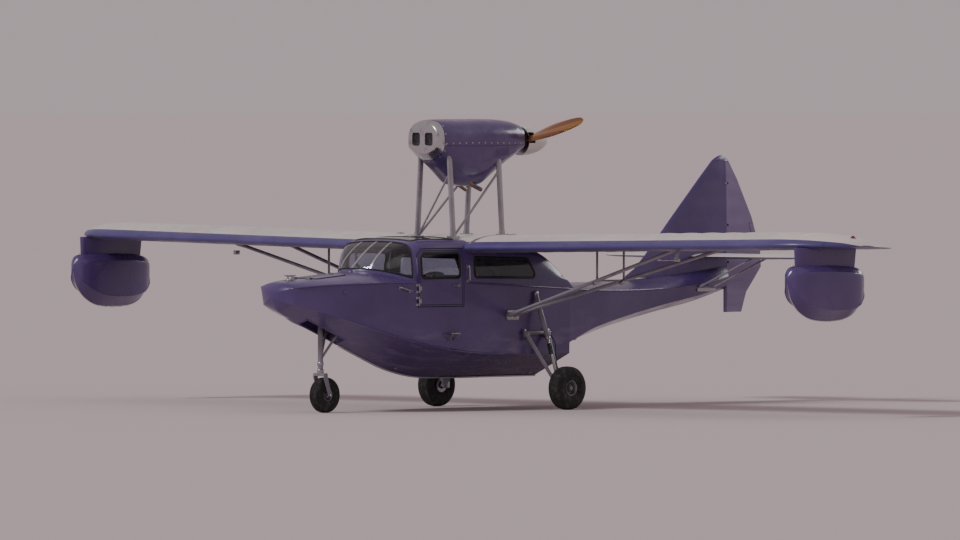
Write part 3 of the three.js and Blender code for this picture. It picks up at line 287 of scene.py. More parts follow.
def piece(name, body, patches, materials, replaces=(), wall=0.0, inner=None, bevel=0.0, crease=CREASE,
          turn=None, shift=(0, 0, 0)):
    """One finished object from a patch, or from a list of patches and (patch, material index) pairs, in mm of
    the drawing; turn and shift place them all."""
    if not isinstance(patches, list):
        patches = [patches]
    materials = list(materials) if isinstance(materials, (list, tuple)) else [materials]
    points, faces, numbers, start = [], [], [], 0
    for item in patches:
        patch, number = item if isinstance(item[1], int) else (item, 0)
        p, blocks = moved(patch, turn, shift)
        points.append(p)
        for block in blocks:
            faces += (block + start).tolist()
            numbers += [number] * len(block)
        start += len(p)
    mesh = bpy.data.meshes.new(name)
    mesh.from_pydata(in_frame(np.concatenate(points)), [], faces)
    mesh.polygons.foreach_set("material_index", numbers)
    for material in materials + ([inner] if inner else []):
        mesh.materials.append(material)
    work = bmesh.new()
    work.from_mesh(mesh)
    bmesh.ops.remove_doubles(work, verts=work.verts, dist=2e-5)
    bmesh.ops.dissolve_degenerate(work, dist=1e-6, edges=work.edges)
    work.to_mesh(mesh)
    work.free()
    thing = bpy.data.objects.new(name, mesh)
    bpy.context.scene.collection.objects.link(thing)
    if wall:
        solid = thing.modifiers.new("wall", "SOLIDIFY")
        solid.thickness = wall * MM
        solid.offset = -1
        solid.use_even_offset = True
        solid.thickness_clamp = 1 if wall > 10 else 0
        if inner:
            solid.material_offset = len(materials)
    if bevel:
        soft = thing.modifiers.new("edges", "BEVEL")
        soft.width = bevel * MM
        soft.segments = 2
        soft.angle_limit = math.radians(38)
    if wall or bevel:
        mesh = applied(thing)
    smooth(mesh)
    mesh.set_sharp_from_angle(angle=crease)
    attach(thing, body)
    if replaces:
        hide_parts(*replaces)
    pieces[name] = thing
    return thing


def hermite(rows, s):
    """Smooth values between a table's rows: cubic pieces whose slopes run from neighbour to neighbour."""
    rows, s = np.asarray(rows, float), np.atleast_1d(np.asarray(s, float))
    at = rows[:, 0]
    i = np.clip(np.searchsorted(at, s, side="right") - 1, 0, len(at) - 2)
    before, after = np.maximum(i - 1, 0), np.minimum(i + 2, len(at) - 1)
    a, b = rows[i], rows[i + 1]
    width = (at[i + 1] - at[i])[:, None]
    slope_a = (b - rows[before]) / (at[i + 1] - at[before])[:, None] * width
    slope_b = (rows[after] - a) / (at[after] - at[i])[:, None] * width
    t = ((s - at[i])[:, None]) / width
    return ((2 * t**3 - 3 * t**2 + 1) * a + (t**3 - 2 * t**2 + t) * slope_a
            + (3 * t**2 - 2 * t**3) * b + (t**3 - t**2) * slope_b)


def spaced(start, end, count, *keep):
    """Evenly spaced values that also pass through the ones to keep."""
    values = np.concatenate([np.linspace(start, end, count), [k for k in keep if start < k < end]])
    values = np.unique(values.round(4))
    near = np.abs(values[:, None] - np.array([start, end, *keep])[None, :]).min(1)
    gaps = np.diff(values, prepend=-1e9)
    ahead = np.diff(values, append=1e9)
    least = (end - start) / count * 0.3
    return values[(near < 1e-3) | ((gaps > least) & (ahead > least))]


def circle_points(count):
    """Unit circle as (count, 2) points."""
    angle = np.arange(count) / count * 2 * math.pi
    return np.stack([np.cos(angle), np.sin(angle)], -1)


def basis(direction, up=(0, 0, 1)):
    """Two unit vectors square to a direction, the second as near to up as can be."""
    d = np.asarray(direction, float)
    d = d / np.linalg.norm(d)
    u = np.asarray(up, float)
    u = u if abs(d @ u) < 0.98 * np.linalg.norm(u) else np.array([0.0, 1.0, 0.0])
    first = np.cross(d, u)
    first /= np.linalg.norm(first)
    return first, np.cross(first, d)


def tube(path, radius, sides=16):
    """A round section carried along a path of points; radius may be one number or one for each point."""
    path = np.asarray(path, float)
    radius = np.broadcast_to(np.asarray(radius, float), len(path))
    tangents = np.gradient(path, axis=0)
    ring = circle_points(sides)
    rings = []
    for point, tangent, r in zip(path, tangents, radius):
        first, second = basis(tangent)
        rings.append(point + r * (ring[:, :1] * first + ring[:, 1:] * second))
    return loft(rings)


def rod(start, end, radius, sides=16):
    """A straight round bar."""
    return tube([start, end], radius, sides)


def turned(profile, centre, axis=(1, 0, 0), steps=48):
    """A profile of (along, radius) points spun about an axis; it starts and ends on the axis or closes."""
    profile = np.asarray(profile, float)
    along = np.asarray(axis, float) / np.linalg.norm(axis)
    first, second = basis(along)
    ring = circle_points(steps)
    spin = ring[:, :1] * first + ring[:, 1:] * second
    points = np.asarray(centre, float) + profile[:, None, :1] * along + profile[:, None, 1:] * spin[None]
    return outward(*grid(points, wrap=True))


def drum(low, high, radius):
    """The profile of a plain cylinder."""
    return [(low, 0), (low, radius), (high, radius), (high, 0)]


def stud(low, shoulder, top, radius, top_radius):
    """The profile of a round head: straight up to its shoulder, then in to a smaller top."""
    return [(low, 0), (low, radius), (shoulder, radius), (top, top_radius), (top, 0)]


def prism(outline, axis, *levels):
    """An outline in two coordinates carried along the third one, x, y or z, with a section at each level."""
    column = "xyz".index(axis)
    return loft([np.insert(np.asarray(outline, float), column, level, axis=1) for level in levels])


def block(low, high):
    """A plain box between two corners, for plates and fittings that get a bevel."""
    (x0, y0, z0), (x1, y1, z1) = low, high
    return prism([[x0, y0], [x1, y0], [x1, y1], [x0, y1]], "z", z0, z1)


def through(a, b, c, d, t):
    """Catmull and Rom's cubic: from b at t = 0 to c at t = 1, with its slopes set by a and d."""
    return 0.5 * (2 * b + (c - a) * t + (2 * a - 5 * b + 4 * c - d) * t**2 + (3 * b - a - 3 * c + d) * t**3)


def smooth_curve(control, count, closed=False):
    """A curve through control points by Catmull and Rom's rule, with count points for each stretch."""
    control = np.asarray(control, float)
    if closed:
        padded = np.concatenate([control[-1:], control, control[:2]])
    else:
        padded = np.concatenate([2 * control[:1] - control[1:2], control, 2 * control[-1:] - control[-2:-1]])
    t = np.linspace(0, 1, count, endpoint=False)[:, None]
    bits = []
    for k in range(len(padded) - 3):
        bits.append(through(*padded[k:k + 4], t))
    curve = np.concatenate(bits)
    return curve if closed else np.concatenate([curve, control[-1:]])


def loop(corners, radius, corner_points=7, edge_points=12):
    """A closed outline with round corners: each corner is an arc, each edge keeps points of its own."""
    corners = np.asarray(corners, float)
    out = []
    for i, corner in enumerate(corners):
        a = corners[i - 1] - corner
        b = corners[(i + 1) % len(corners)] - corner
        a, b = a / np.linalg.norm(a), b / np.linalg.norm(b)
        angle = math.acos(np.clip(a @ b, -1, 1))
        reach = radius / math.tan(angle / 2)
        centre = corner + (a + b) / np.linalg.norm(a + b) * radius / math.sin(angle / 2)
        start, end = corner + a * reach - centre, corner + b * reach - centre
        t = np.linspace(0, 1, corner_points)[:, None]
        sweep = math.pi - angle
        arc = centre + (np.sin((1 - t) * sweep) * start + np.sin(t * sweep) * end) / math.sin(sweep)
        out.append(arc)
        following = corners[(i + 1) % len(corners)]
        c = corners[(i + 2) % len(corners)] - following
        c = c / np.linalg.norm(c)
        turn = math.acos(np.clip(-b @ c, -1, 1))
        stop = following - b * radius / math.tan(turn / 2)
        t = np.linspace(0, 1, edge_points + 2)[1:-1, None]
        out.append(arc[-1] + (stop - arc[-1]) * t)
    return np.concatenate(out)


def rounded(x0, y0, x1, y1, radius, corner_points=7, edge_points=12):
    """A rectangle between two corners, with round corners."""
    return loop([[x0, y0], [x1, y0], [x1, y1], [x0, y1]], radius, corner_points, edge_points)


def offset(outline, distance):
    """A dense closed outline moved sideways along its own normals, outwards where distance is positive."""
    ahead, behind = np.roll(outline, -1, 0), np.roll(outline, 1, 0)
    tangent = ahead - behind
    tangent /= np.linalg.norm(tangent, axis=1)[:, None]
    area = np.sum(outline[:, 0] * ahead[:, 1] - ahead[:, 0] * outline[:, 1])
    normal = np.column_stack([tangent[:, 1], -tangent[:, 0]]) * np.sign(area)
    return outline + normal * distance

# %% [markdown]
# Finishes. Each starts from the real thing and how it was made. Patterns read Object coordinates, which are
# metres of the frame, so their scale is one over the pattern's real size. A mask built from noise lets dust,
# chalking and scuffs gather where they do on a boat that is hauled over gravel and left out in the sun.

# %% Helpers for finishes

def finish(name, colour, rough, metallic=0.0, **more):
    """A new material with its plain numbers set on the shader's own sockets."""
    material = bpy.data.materials.new(name)
    material.use_nodes = True
    shader = material.node_tree.nodes["Principled BSDF"]
    values = {"Base Color": linear(colour, 1), "Roughness": rough, "Metallic": metallic, **more}
    for key, value in values.items():
        shader.inputs[key].default_value = value
    return material, shader


def object_space(material):
    """Metres of the frame, the same on every piece."""
    return add_node(material, "ShaderNodeTexCoord").outputs["Object"]


def noise(material, size_mm, detail=3.0, stretch=None, seed=0.0):
    """Cloudy noise whose largest cells are about size_mm across, stretched by a factor along each axis."""
    space = add_node(material, "ShaderNodeMapping", {
        "Vector": object_space(material), "Location": (seed, seed, seed),
        "Scale": tuple(1 / f for f in stretch) if stretch else (1, 1, 1)}).outputs["Vector"]
    return add_node(material, "ShaderNodeTexNoise", {
        "Vector": space, "Scale": 1 / (size_mm * MM), "Detail": detail}).outputs["Fac"]


def between(material, factor, low, high, to_low=0.0, to_high=1.0):
    """A factor's range low..high spread over another range, held at its ends."""
    return add_node(material, "ShaderNodeMapRange", {
        "Value": factor, "From Min": low, "From Max": high, "To Min": to_low, "To Max": to_high,
    }, interpolation_type="SMOOTHSTEP").outputs["Result"]


def sums(material, operation, a, b):
    """One step of arithmetic on factors."""
    return add_node(material, "ShaderNodeMath", {0: a, 1: b}, operation=operation).outputs["Value"]


def mixed(material, factor, a, b, share=None):
    """One colour over another by a factor, or by a share of it; a colour is a hex string or a socket."""
    if share is not None:
        factor = sums(material, "MULTIPLY", factor, share)
    a, b = (linear(c, 1) if isinstance(c, str) else c for c in (a, b))
    mix = add_node(material, "ShaderNodeMix", data_type="RGBA")
    for socket, value in (("Factor_Float", factor), ("A_Color", a), ("B_Color", b)):
        target = next(i for i in mix.inputs if i.identifier == socket)
        if isinstance(value, bpy.types.NodeSocket):
            material.node_tree.links.new(value, target)
        else:
            target.default_value = value
    return next(o for o in mix.outputs if o.identifier == "Result_Color")


def relief(material, shader, height, depth_mm, strength=1.0, before=None):
    """Bump of a real depth, in millimetres, from a height factor."""
    links = {"Height": height, "Distance": depth_mm * MM, "Strength": strength}
    if before is not None:
        links["Normal"] = before
    normal = add_node(material, "ShaderNodeBump", links).outputs["Normal"]
    material.node_tree.links.new(normal, shader.inputs["Normal"])
    return normal


def feed(material, shader, socket, value):
    """Links a computed value to one of the shader's sockets."""
    material.node_tree.links.new(value, shader.inputs[socket])


def wave_scale(size_mm):
    """The wave texture draws 20 / (2 pi) waves in each unit, so this scale gives one wave in size_mm."""
    return 2 * math.pi / 20 / (size_mm * MM)


def height_above_floor(material):
    """The frame's z, in metres."""
    return add_node(material, "ShaderNodeSeparateXYZ", {"Vector": object_space(material)}).outputs["Z"]


# %% [markdown]
# Hull paint. The hull is mahogany plywood under glass cloth, faired and sprayed with marine enamel, an indigo
# with a violet cast. Sun has chalked it in soft clouds, water has left a pale tide mark low down, and the
# last coat has a fine orange peel. Long waves of a millimetre keep the reflections from looking machined.

# %% Marine enamel
INDIGO = "#453366"


def marine_enamel(name, colour, faded, chalk, keel_wear=True):
    """Sprayed enamel: deep colour, sun-faded clouds, low scuffs, orange peel and slow waves."""
    material, shader = finish(name, colour, 0.3, **{"Coat Weight": 0.35, "Coat Roughness": 0.12})
    clouds = between(material, noise(material, 900, 4), 0.42, 0.68)
    tint = mixed(material, clouds, colour, faded, 0.55)
    if keel_wear:
        z = height_above_floor(material)
        low = between(material, z, 1.12, 0.42)
        streaks = between(material, noise(material, 90, 6, (1, 5, 1), 3.1), 0.5, 0.72)
        tide = sums(material, "MULTIPLY", low, streaks)
        tint = mixed(material, tide, tint, chalk, 0.35)
        bottom = between(material, z, 0.62, 0.36)
        scuffs = between(material, noise(material, 22, 5, (1, 9, 1), 8.0), 0.6, 0.7)
        worn = sums(material, "MULTIPLY", sums(material, "MULTIPLY", bottom, scuffs), 0.5)
        tint = mixed(material, worn, tint, chalk)
    feed(material, shader, "Base Color", tint)
    gloss = between(material, noise(material, 260, 5, seed=5), 0.35, 0.7, 0.24, 0.4)
    feed(material, shader, "Roughness", gloss)
    waves = relief(material, shader, noise(material, 420, 1), 1.2, 0.5)
    relief(material, shader, noise(material, 4, 1), 0.05, 0.35, waves)
    return material


hull_enamel = marine_enamel("marine_enamel_indigo", INDIGO, "#57467A", "#94889A")
float_enamel = marine_enamel("marine_enamel_floats", "#4A386A", "#5E4E80", "#94889A", keel_wear=False)

# %% [markdown]
# Doped fabric. Polyester cloth is shrunk over the ribs and filled with dope, so the weave still shows as a
# faint grid, and the top coat is an aluminised ivory. The thread is 0.5 mm in life; here it is drawn at 5 mm
# so that it reads at all. Soot and dust settle in streaks along the airflow.

# %% Doped fabric
THREAD_MM = 5.0


def doped_fabric(name, colour, shade, grime, rough=0.42):
    """Filled cloth: two crossed waves for the thread, soft clouds, and streaks along the airflow."""
    material, shader = finish(name, colour, rough, **{"Sheen Weight": 0.08, "Coat Weight": 0.15,
                                                       "Coat Roughness": 0.25})
    clouds = between(material, noise(material, 700, 3, seed=2), 0.4, 0.7)
    tint = mixed(material, clouds, colour, shade, 0.6)
    streaks = between(material, noise(material, 45, 5, (1, 14, 1), 6.5), 0.56, 0.74)
    tint = mixed(material, streaks, tint, grime, 0.35)
    feed(material, shader, "Base Color", tint)
    gloss = between(material, noise(material, 180, 4, seed=4), 0.3, 0.7, rough - 0.07, rough + 0.1)
    feed(material, shader, "Roughness", gloss)
    space = object_space(material)
    threads = [add_node(material, "ShaderNodeTexWave", {
        "Vector": space, "Scale": wave_scale(THREAD_MM), "Distortion": 0.4,
    }, bands_direction=axis).outputs["Fac"] for axis in "XY"]
    weave = relief(material, shader, sums(material, "ADD", *threads), 0.06, 0.3)
    relief(material, shader, noise(material, 160, 2, seed=1), 0.8, 0.35, weave)
    return material


wing_silver = doped_fabric("doped_fabric_ivory", "#C9C1BE", "#B4ABAA", "#8E8586")
wing_tape = doped_fabric("doped_rib_tape", "#D6CFCB", "#C0B7B5", "#8E8586", 0.36)
# The indigo copy of the fabric is painted shade: it covers the undersides and the nose band of wing and tail,
# which read dark in shadow.
wing_shade_indigo = doped_fabric("doped_fabric_indigo_painted_shade", "#43386E", "#564B80", "#2D2745")
rudder_mauve = doped_fabric("doped_fabric_mauve", "#6E5E86", "#7F7094", "#463D5C")

# %% [markdown]
# Metals. Painted sheet aluminium on the cowling has a thin, even coat and shallow dents, as hand-formed sheet
# has. Bare aluminium is brushed by years of wiping: its roughness is drawn out in one direction. The struts
# and gear legs are steel tube in grey enamel, chipped to primer. Exhaust pipes are stainless, tinted straw to
# blue by heat.

# %% Sheet metal, steel and heat


def sheet_paint(name, colour, faded):
    """Thin enamel on rolled aluminium: even colour, slow dents, fine dust."""
    material, shader = finish(name, colour, 0.26, **{"Coat Weight": 0.4, "Coat Roughness": 0.1})
    dust = between(material, noise(material, 320, 5, seed=7), 0.45, 0.72)
    oil = between(material, noise(material, 70, 6, (1, 4, 1.5), 1.7), 0.58, 0.78)
    tint = mixed(material, dust, colour, faded, 0.4)
    feed(material, shader, "Base Color", mixed(material, oil, tint, "#1D1830", 0.5))
    gloss = between(material, noise(material, 120, 4, seed=9), 0.3, 0.75, 0.2, 0.42)
    feed(material, shader, "Roughness", gloss)
    dents = relief(material, shader, noise(material, 150, 1, seed=3), 0.7, 0.5)
    relief(material, shader, noise(material, 3, 1), 0.03, 0.3, dents)
    return material


def brushed(name, colour, rough, grain=(1, 12, 1), dull="#6F6F74"):
    """Bare metal wiped along one direction, with dull spots of oxide."""
    material, shader = finish(name, colour, rough, 1.0)
    lines = noise(material, 5, 4, grain, 2.2)
    spots = between(material, noise(material, 60, 6, seed=4.4), 0.56, 0.75)
    feed(material, shader, "Base Color", mixed(material, spots, colour, dull, 0.5))
    feed(material, shader, "Roughness", between(material, lines, 0.3, 0.7, rough - 0.08, rough + 0.14))
    relief(material, shader, lines, 0.02, 0.4)
    return material


def grey_enamel(name, colour, chip, seed):
    """Brushed enamel over primer on steel tube, chipped in small flakes."""
    material, shader = finish(name, colour, 0.38, **{"Coat Weight": 0.2})
    clouds = between(material, noise(material, 120, 4, seed=seed), 0.4, 0.7)
    flakes = between(material, noise(material, 14, 6, seed=seed + 3), 0.66, 0.69)
    tint = mixed(material, clouds, colour, "#6C6670", 0.4)
    feed(material, shader, "Base Color", mixed(material, flakes, tint, chip))
    feed(material, shader, "Roughness", between(material, clouds, 0, 1, 0.32, 0.52))
    relief(material, shader, sums(material, "MULTIPLY", flakes, -1.0), 0.15, 0.6)
    return material


cowl_paint = sheet_paint("sheet_aluminium_indigo", "#4B3A69", "#62537E")
bright_metal = brushed("brushed_aluminium", "#C2C0C4", 0.24)
stainless = brushed("stainless_fittings", "#A9A7AB", 0.28, (1, 1, 1))
strut_enamel = grey_enamel("grey_enamel_struts", "#88838B", "#B7B1A8", 1.0)
gear_enamel = grey_enamel("grey_enamel_gear", "#77737E", "#8A6B4E", 6.0)
cast_metal = brushed("cast_aluminium", "#8F8E90", 0.5, (1, 1, 1), "#5A5654")

heat_steel, heat_shader = finish("heat_tinted_stainless", "#8B7460", 0.34, 1.0)
heat_bands = between(heat_steel, noise(heat_steel, 160, 3, seed=2), 0.35, 0.7)
heat_soot = between(heat_steel, noise(heat_steel, 30, 5, seed=8), 0.55, 0.75)
heat_tint = mixed(heat_steel, heat_bands, "#8B7460", "#5D6076")
feed(heat_steel, heat_shader, "Base Color", mixed(heat_steel, heat_soot, heat_tint, "#3A322E"))
relief(heat_steel, heat_shader, noise(heat_steel, 6, 3), 0.05, 0.4)

# %% [markdown]
# Rubber, timber, cloth and clear plastic. The propeller is laminated: boards 18 mm thick glued flat, so a
# band of light or dark wood follows each height through the blade, then varnish. Windows are acrylic with a
# faint smoke tint. Seats wear a woven cover, the floor a ribbed mat over plywood.

# %% Rubber, timber, cloth and acrylic
tyre_rubber, tyre_shader = finish("tyre_rubber", "#1C1B1D", 0.82)
tyre_dust = between(tyre_rubber, noise(tyre_rubber, 40, 6, seed=3), 0.45, 0.75)
feed(tyre_rubber, tyre_shader, "Base Color",
     mixed(tyre_rubber, tyre_dust, "#1C1B1D", "#57504C", 0.5))
relief(tyre_rubber, tyre_shader, noise(tyre_rubber, 3, 3), 0.1, 0.5)
seal_rubber, seal_shader = finish("black_rubber_seal", "#17171A", 0.6)
relief(seal_rubber, seal_shader, noise(seal_rubber, 3, 2), 0.06, 0.4)

BOARD_MM = 18.0
PROP_REST = math.radians(14)
blade_wood, blade_shader = finish("laminated_birch_varnished", "#8A5527", 0.28, **{
    "Coat Weight": 0.8, "Coat Roughness": 0.06})
blade_space = add_node(blade_wood, "ShaderNodeMapping", {
    "Vector": object_space(blade_wood), "Rotation": (0, PROP_REST, 0)}).outputs["Vector"]
boards = add_node(blade_wood, "ShaderNodeTexWave", {
    "Vector": blade_space, "Scale": wave_scale(2 * BOARD_MM), "Distortion": 0.0,
}, bands_direction="Y", wave_profile="SAW").outputs["Fac"]
grain_space = add_node(blade_wood, "ShaderNodeMapping", {
    "Vector": blade_space, "Scale": (2.5, 60, 60)}).outputs["Vector"]
blade_grain = add_node(blade_wood, "ShaderNodeTexNoise", {
    "Vector": grain_space, "Scale": 4.0, "Detail": 5.0}).outputs["Fac"]
board_tone = mixed(blade_wood, between(blade_wood, boards, 0.4, 0.6), "#9A6130", "#6E3F1B")
feed(blade_wood, blade_shader, "Base Color",
     mixed(blade_wood, blade_grain, board_tone, "#4E2B12", 0.6))
relief(blade_wood, blade_shader, blade_grain, 0.05, 0.3)

acrylic, acrylic_shader = finish("smoked_acrylic", "#B9BCCB", 0.03, **{
    "Transmission Weight": 1.0, "IOR": 1.49})
relief(acrylic, acrylic_shader, noise(acrylic, 240, 1), 0.3, 0.25)

seat_cloth, seat_shader = finish("woven_seat_cover", "#4B3F45", 0.85, **{"Sheen Weight": 0.3})
seat_weave = [add_node(seat_cloth, "ShaderNodeTexWave", {
    "Vector": object_space(seat_cloth), "Scale": wave_scale(6), "Distortion": 0.6,
}, bands_direction=axis).outputs["Fac"] for axis in "XY"]
seat_mix = sums(seat_cloth, "MULTIPLY", *seat_weave)
feed(seat_cloth, seat_shader, "Base Color", mixed(seat_cloth, seat_mix, "#3B3238", "#6A5A60"))
relief(seat_cloth, seat_shader, sums(seat_cloth, "ADD", *seat_weave), 0.5, 0.5)

webbing_grey, webbing_shader = finish("nylon_webbing", "#5A5458", 0.6, **{"Sheen Weight": 0.2})
webbing_ribs = add_node(webbing_grey, "ShaderNodeTexWave", {
    "Vector": object_space(webbing_grey), "Scale": wave_scale(5)}, bands_direction="DIAGONAL").outputs["Fac"]
feed(webbing_grey, webbing_shader, "Base Color", mixed(webbing_grey, webbing_ribs, "#4A4549", "#6B646A"))
relief(webbing_grey, webbing_shader, webbing_ribs, 0.4, 0.5)

cabin_ply, ply_shader = finish("varnished_plywood", "#8A6744", 0.45, **{"Coat Weight": 0.2})
ply_grain = noise(cabin_ply, 24, 6, (1, 12, 1), 1.5)
feed(cabin_ply, ply_shader, "Base Color", mixed(cabin_ply, ply_grain, "#A07B52", "#6C4D30"))
relief(cabin_ply, ply_shader, ply_grain, 0.1, 0.3)

floor_mat, mat_shader = finish("ribbed_rubber_mat", "#2C2A2E", 0.8)
mat_ribs = add_node(floor_mat, "ShaderNodeTexWave", {
    "Vector": object_space(floor_mat), "Scale": wave_scale(12)}, bands_direction="X")
relief(floor_mat, mat_shader, mat_ribs.outputs["Fac"], 1.5, 0.8)
feed(floor_mat, mat_shader, "Base Color",
     mixed(floor_mat, noise(floor_mat, 60, 5), "#242226", "#4A443F"))

crackle, crackle_shader = finish("crackle_black", "#1A1A1D", 0.5)
relief(crackle, crackle_shader, add_node(crackle, "ShaderNodeTexVoronoi", {
    "Vector": object_space(crackle), "Scale": 1 / (3 * MM)}).outputs["Distance"], 0.15, 0.6)
dial_face, _ = finish("dial_face", "#0C0C0E", 0.35)
dial_ink, _ = finish("dial_ink", "#E6E2D6", 0.5)
brass, _ = finish("brass_tipping", "#B08A4A", 0.3, 1.0)
red_lens, _ = finish("red_lens", "#B3202A", 0.08, **{"Transmission Weight": 0.7})
green_lens, _ = finish("green_lens", "#1F8A4C", 0.08, **{"Transmission Weight": 0.7})
# Near black: painted shade inside the cowling and in the wheels' hollows; also the colour of the seam and
# scribed lines.
shade_black, _ = finish("inside_black", "#0E0D11", 0.9)
print("finishes:", len(bpy.data.materials))

# %% [markdown]
# The hull. Boat lines are a short table: at each station the heights and half breadths of keel, chine and
# sheer, and the crown of the deck. Every surface follows from it. The bottom is straight from keel to chine,
# the topside straight from chine to sheer, and the deck falls from its crown as 1 - w^2.8, where w runs from
# the middle to the sheer. Strips between those lines share their stations, so they weld into one shell, and
# leaving a strip out where a door or the wheel well is cut gives a clean opening.

# %% Lines of the hull
# columns: s, keel, chine half breadth, chine height, sheer half breadth, sheer height, crown
FOREBODY = np.array([
    [BOW, 775, 105, 800, 150, 935, 980], [-2900, 700, 225, 775, 260, 952, 1006],
    [-2600, 575, 365, 690, 395, 975, 1038], [-2200, 410, 455, 575, 480, 988, 1070],
    [-1800, 245, 505, 465, 525, 993, 1102], [-1400, 98, 530, 372, 545, 990, 1105],
    [-1000, 18, 545, 305, 552, 982, 1090], [-500, 0, 550, 262, 555, 968, 1060],
    [200, 0, 546, 240, 550, 930, 1015], [STEP, 0, 508, 236, 520, 900, 984]], float)
AFTERBODY = np.array([
    [STEP, 110, 494, 340, 520, 900, 984], [1000, 212, 455, 412, 492, 886, 970],
    [1250, 322, 415, 492, 458, 876, 955], [1800, 478, 330, 600, 375, 868, 955],
    [2500, 622, 225, 715, 268, 880, 985], [3100, 728, 140, 800, 180, 920, 1040],
    [STERN, 850, 60, 890, 85, 985, 1095]], float)
CAMBER = 2.8
PLANK = 20.0
BOW_ROUND = 95.0
BOW_MIDDLE = 880.0
DOOR_LINE = 738.0
DOOR_FRONT, DOOR_BACK = -1447.0, -793.0
WELL_HALF, WELL_FRONT, WELL_REAR, WELL_TOP = 130.0, -2620.0, -2080.0, 800.0
NAMES = ("s", "keel", "chine_x", "chine_z", "sheer_x", "sheer_z", "crown")


def lines(rows, s):
    """The table's columns at stations s, by name, each as a column vector."""
    values = hermite(rows, s)
    return {name: values[:, i:i + 1] for i, name in enumerate(NAMES)}


def hull_lines(s):
    """The same for any station: the forebody's rows ahead of the step, the afterbody's behind it."""
    s = np.atleast_1d(np.asarray(s, float))
    ahead = lines(FOREBODY, np.minimum(s, STEP))
    behind = lines(AFTERBODY, np.maximum(s, STEP))
    return {k: np.where(s[:, None] <= STEP, ahead[k], behind[k]) for k in NAMES[1:]}


def bow_rounding(points):
    """Pulls the last few millimetres at the bow in to a button: a super-ellipse of power 2.4."""
    t = np.clip((points[..., 1] - BOW) / BOW_ROUND, 0, 1)
    k = (1 - (1 - t) ** 2.4) ** (1 / 2.4)
    rounded = points.copy()
    rounded[..., 0] *= k
    rounded[..., 2] = BOW_MIDDLE + (points[..., 2] - BOW_MIDDLE) * k
    return rounded


def at_stations(x, s, z):
    """Points from the x and z of each column of every station."""
    return np.stack([x, np.broadcast_to(s[:, None], x.shape), z], -1)


def bottom_height(v, x):
    """Height of the V bottom at a half breadth x."""
    return v["keel"] + np.abs(x) / v["chine_x"] * (v["chine_z"] - v["keel"])


def deck_height(v, w):
    """Deck height at a share w of the half breadth, from the crown down to the sheer."""
    return v["sheer_z"] + (v["crown"] - v["sheer_z"]) * (1 - np.abs(w) ** CAMBER)


def strip(s, x0, z0, x1, z1, columns, side):
    """Straight lines from (x0, z0) to (x1, z1) at each station, on one side of the hull."""
    t = np.linspace(0, 1, columns)[None, :]
    x, z = x0 + (x1 - x0) * t, z0 + (z1 - z0) * t
    return grid(bow_rounding(at_stations(side * x, s, z)), flip=side < 0)


def hull_side(rows, s, side, skip_well, skip_door):
    """Bottom in two strips, topside in two strips, for the given stations."""
    v = lines(rows, s)
    inner = np.minimum(WELL_HALF, 0.62 * v["chine_x"])
    at_inner = bottom_height(v, inner)
    low, high = v["chine_z"], v["sheer_z"]
    level = np.clip(DOOR_LINE, low + 0.22 * (high - low), low + 0.8 * (high - low))
    at_level = v["chine_x"] + (v["sheer_x"] - v["chine_x"]) * (level - low) / (high - low)
    patches = []
    if not skip_well:
        patches.append(strip(s, 0 * inner, v["keel"], inner, at_inner, 6, side))
    patches.append(strip(s, inner, at_inner, v["chine_x"], low, 7, side))
    patches.append(strip(s, v["chine_x"], low, at_level, level, 8, side))
    if not skip_door:
        patches.append(strip(s, at_level, level, v["sheer_x"], high, 5, side))
    return patches


# %% [markdown]
# The forebody's stations crowd together at the round bow. The door's and the well's edges are stations too,
# so that the cut edges are exact.

# %% Forebody, afterbody and decks
bow_stations = BOW + BOW_ROUND * (1 - np.cos(np.linspace(0, math.pi / 2, 9)))
fore_stations = np.unique(np.concatenate([
    bow_stations, spaced(BOW + BOW_ROUND, STEP, 72, WELL_FRONT, WELL_REAR, DOOR_FRONT, DOOR_BACK)]).round(4))
aft_stations = spaced(STEP + 0.3, STERN, 54)


def shell(rows, stations, cuts):
    """Strips for both sides, station block by station block between the cuts."""
    patches = []
    for start, end in zip(cuts[:-1], cuts[1:]):
        s = stations[(stations >= start - 1e-3) & (stations <= end + 1e-3)]
        middle = (start + end) / 2
        for side in (1, -1):
            patches += hull_side(rows, s, side, skip_well=WELL_FRONT < middle < WELL_REAR,
                                 skip_door=DOOR_FRONT < middle < DOOR_BACK)
    return patches


def deck(rows, stations):
    """The deck from sheer to sheer: x = w * sheer, z falls from the crown as 1 - w^2.8."""
    v = lines(rows, stations)
    w = np.sin(np.linspace(-math.pi / 2, math.pi / 2, 41))[None, :]
    x, z = w * v["sheer_x"], deck_height(v, w)
    return grid(bow_rounding(at_stations(x, stations, z)), flip=True)


def v_edge(rows, s, lift=0.0, count=20):
    """The bottom's edge at one station, from chine to chine."""
    v = lines(rows, [s])
    x = np.linspace(-1, 1, 2 * count + 1) * v["chine_x"][0, 0]
    z = bottom_height(v, x) + lift
    return np.stack([x, np.full_like(x, s), z[0]], -1)


fore_shell = shell(FOREBODY, fore_stations, [BOW, WELL_FRONT, WELL_REAR, DOOR_FRONT, DOOR_BACK, STEP])
fore_edge = v_edge(FOREBODY, STEP)
after_edge = v_edge(AFTERBODY, STEP, lift=4.0)
after_edge[:, 1] = STEP
step_face = grid(np.stack([fore_edge, after_edge]))
well_outline = np.array([[-WELL_HALF, WELL_FRONT], [WELL_HALF, WELL_FRONT], [WELL_HALF, WELL_REAR],
                         [-WELL_HALF, WELL_REAR], [-WELL_HALF, WELL_FRONT]])
REBATE = 12.0


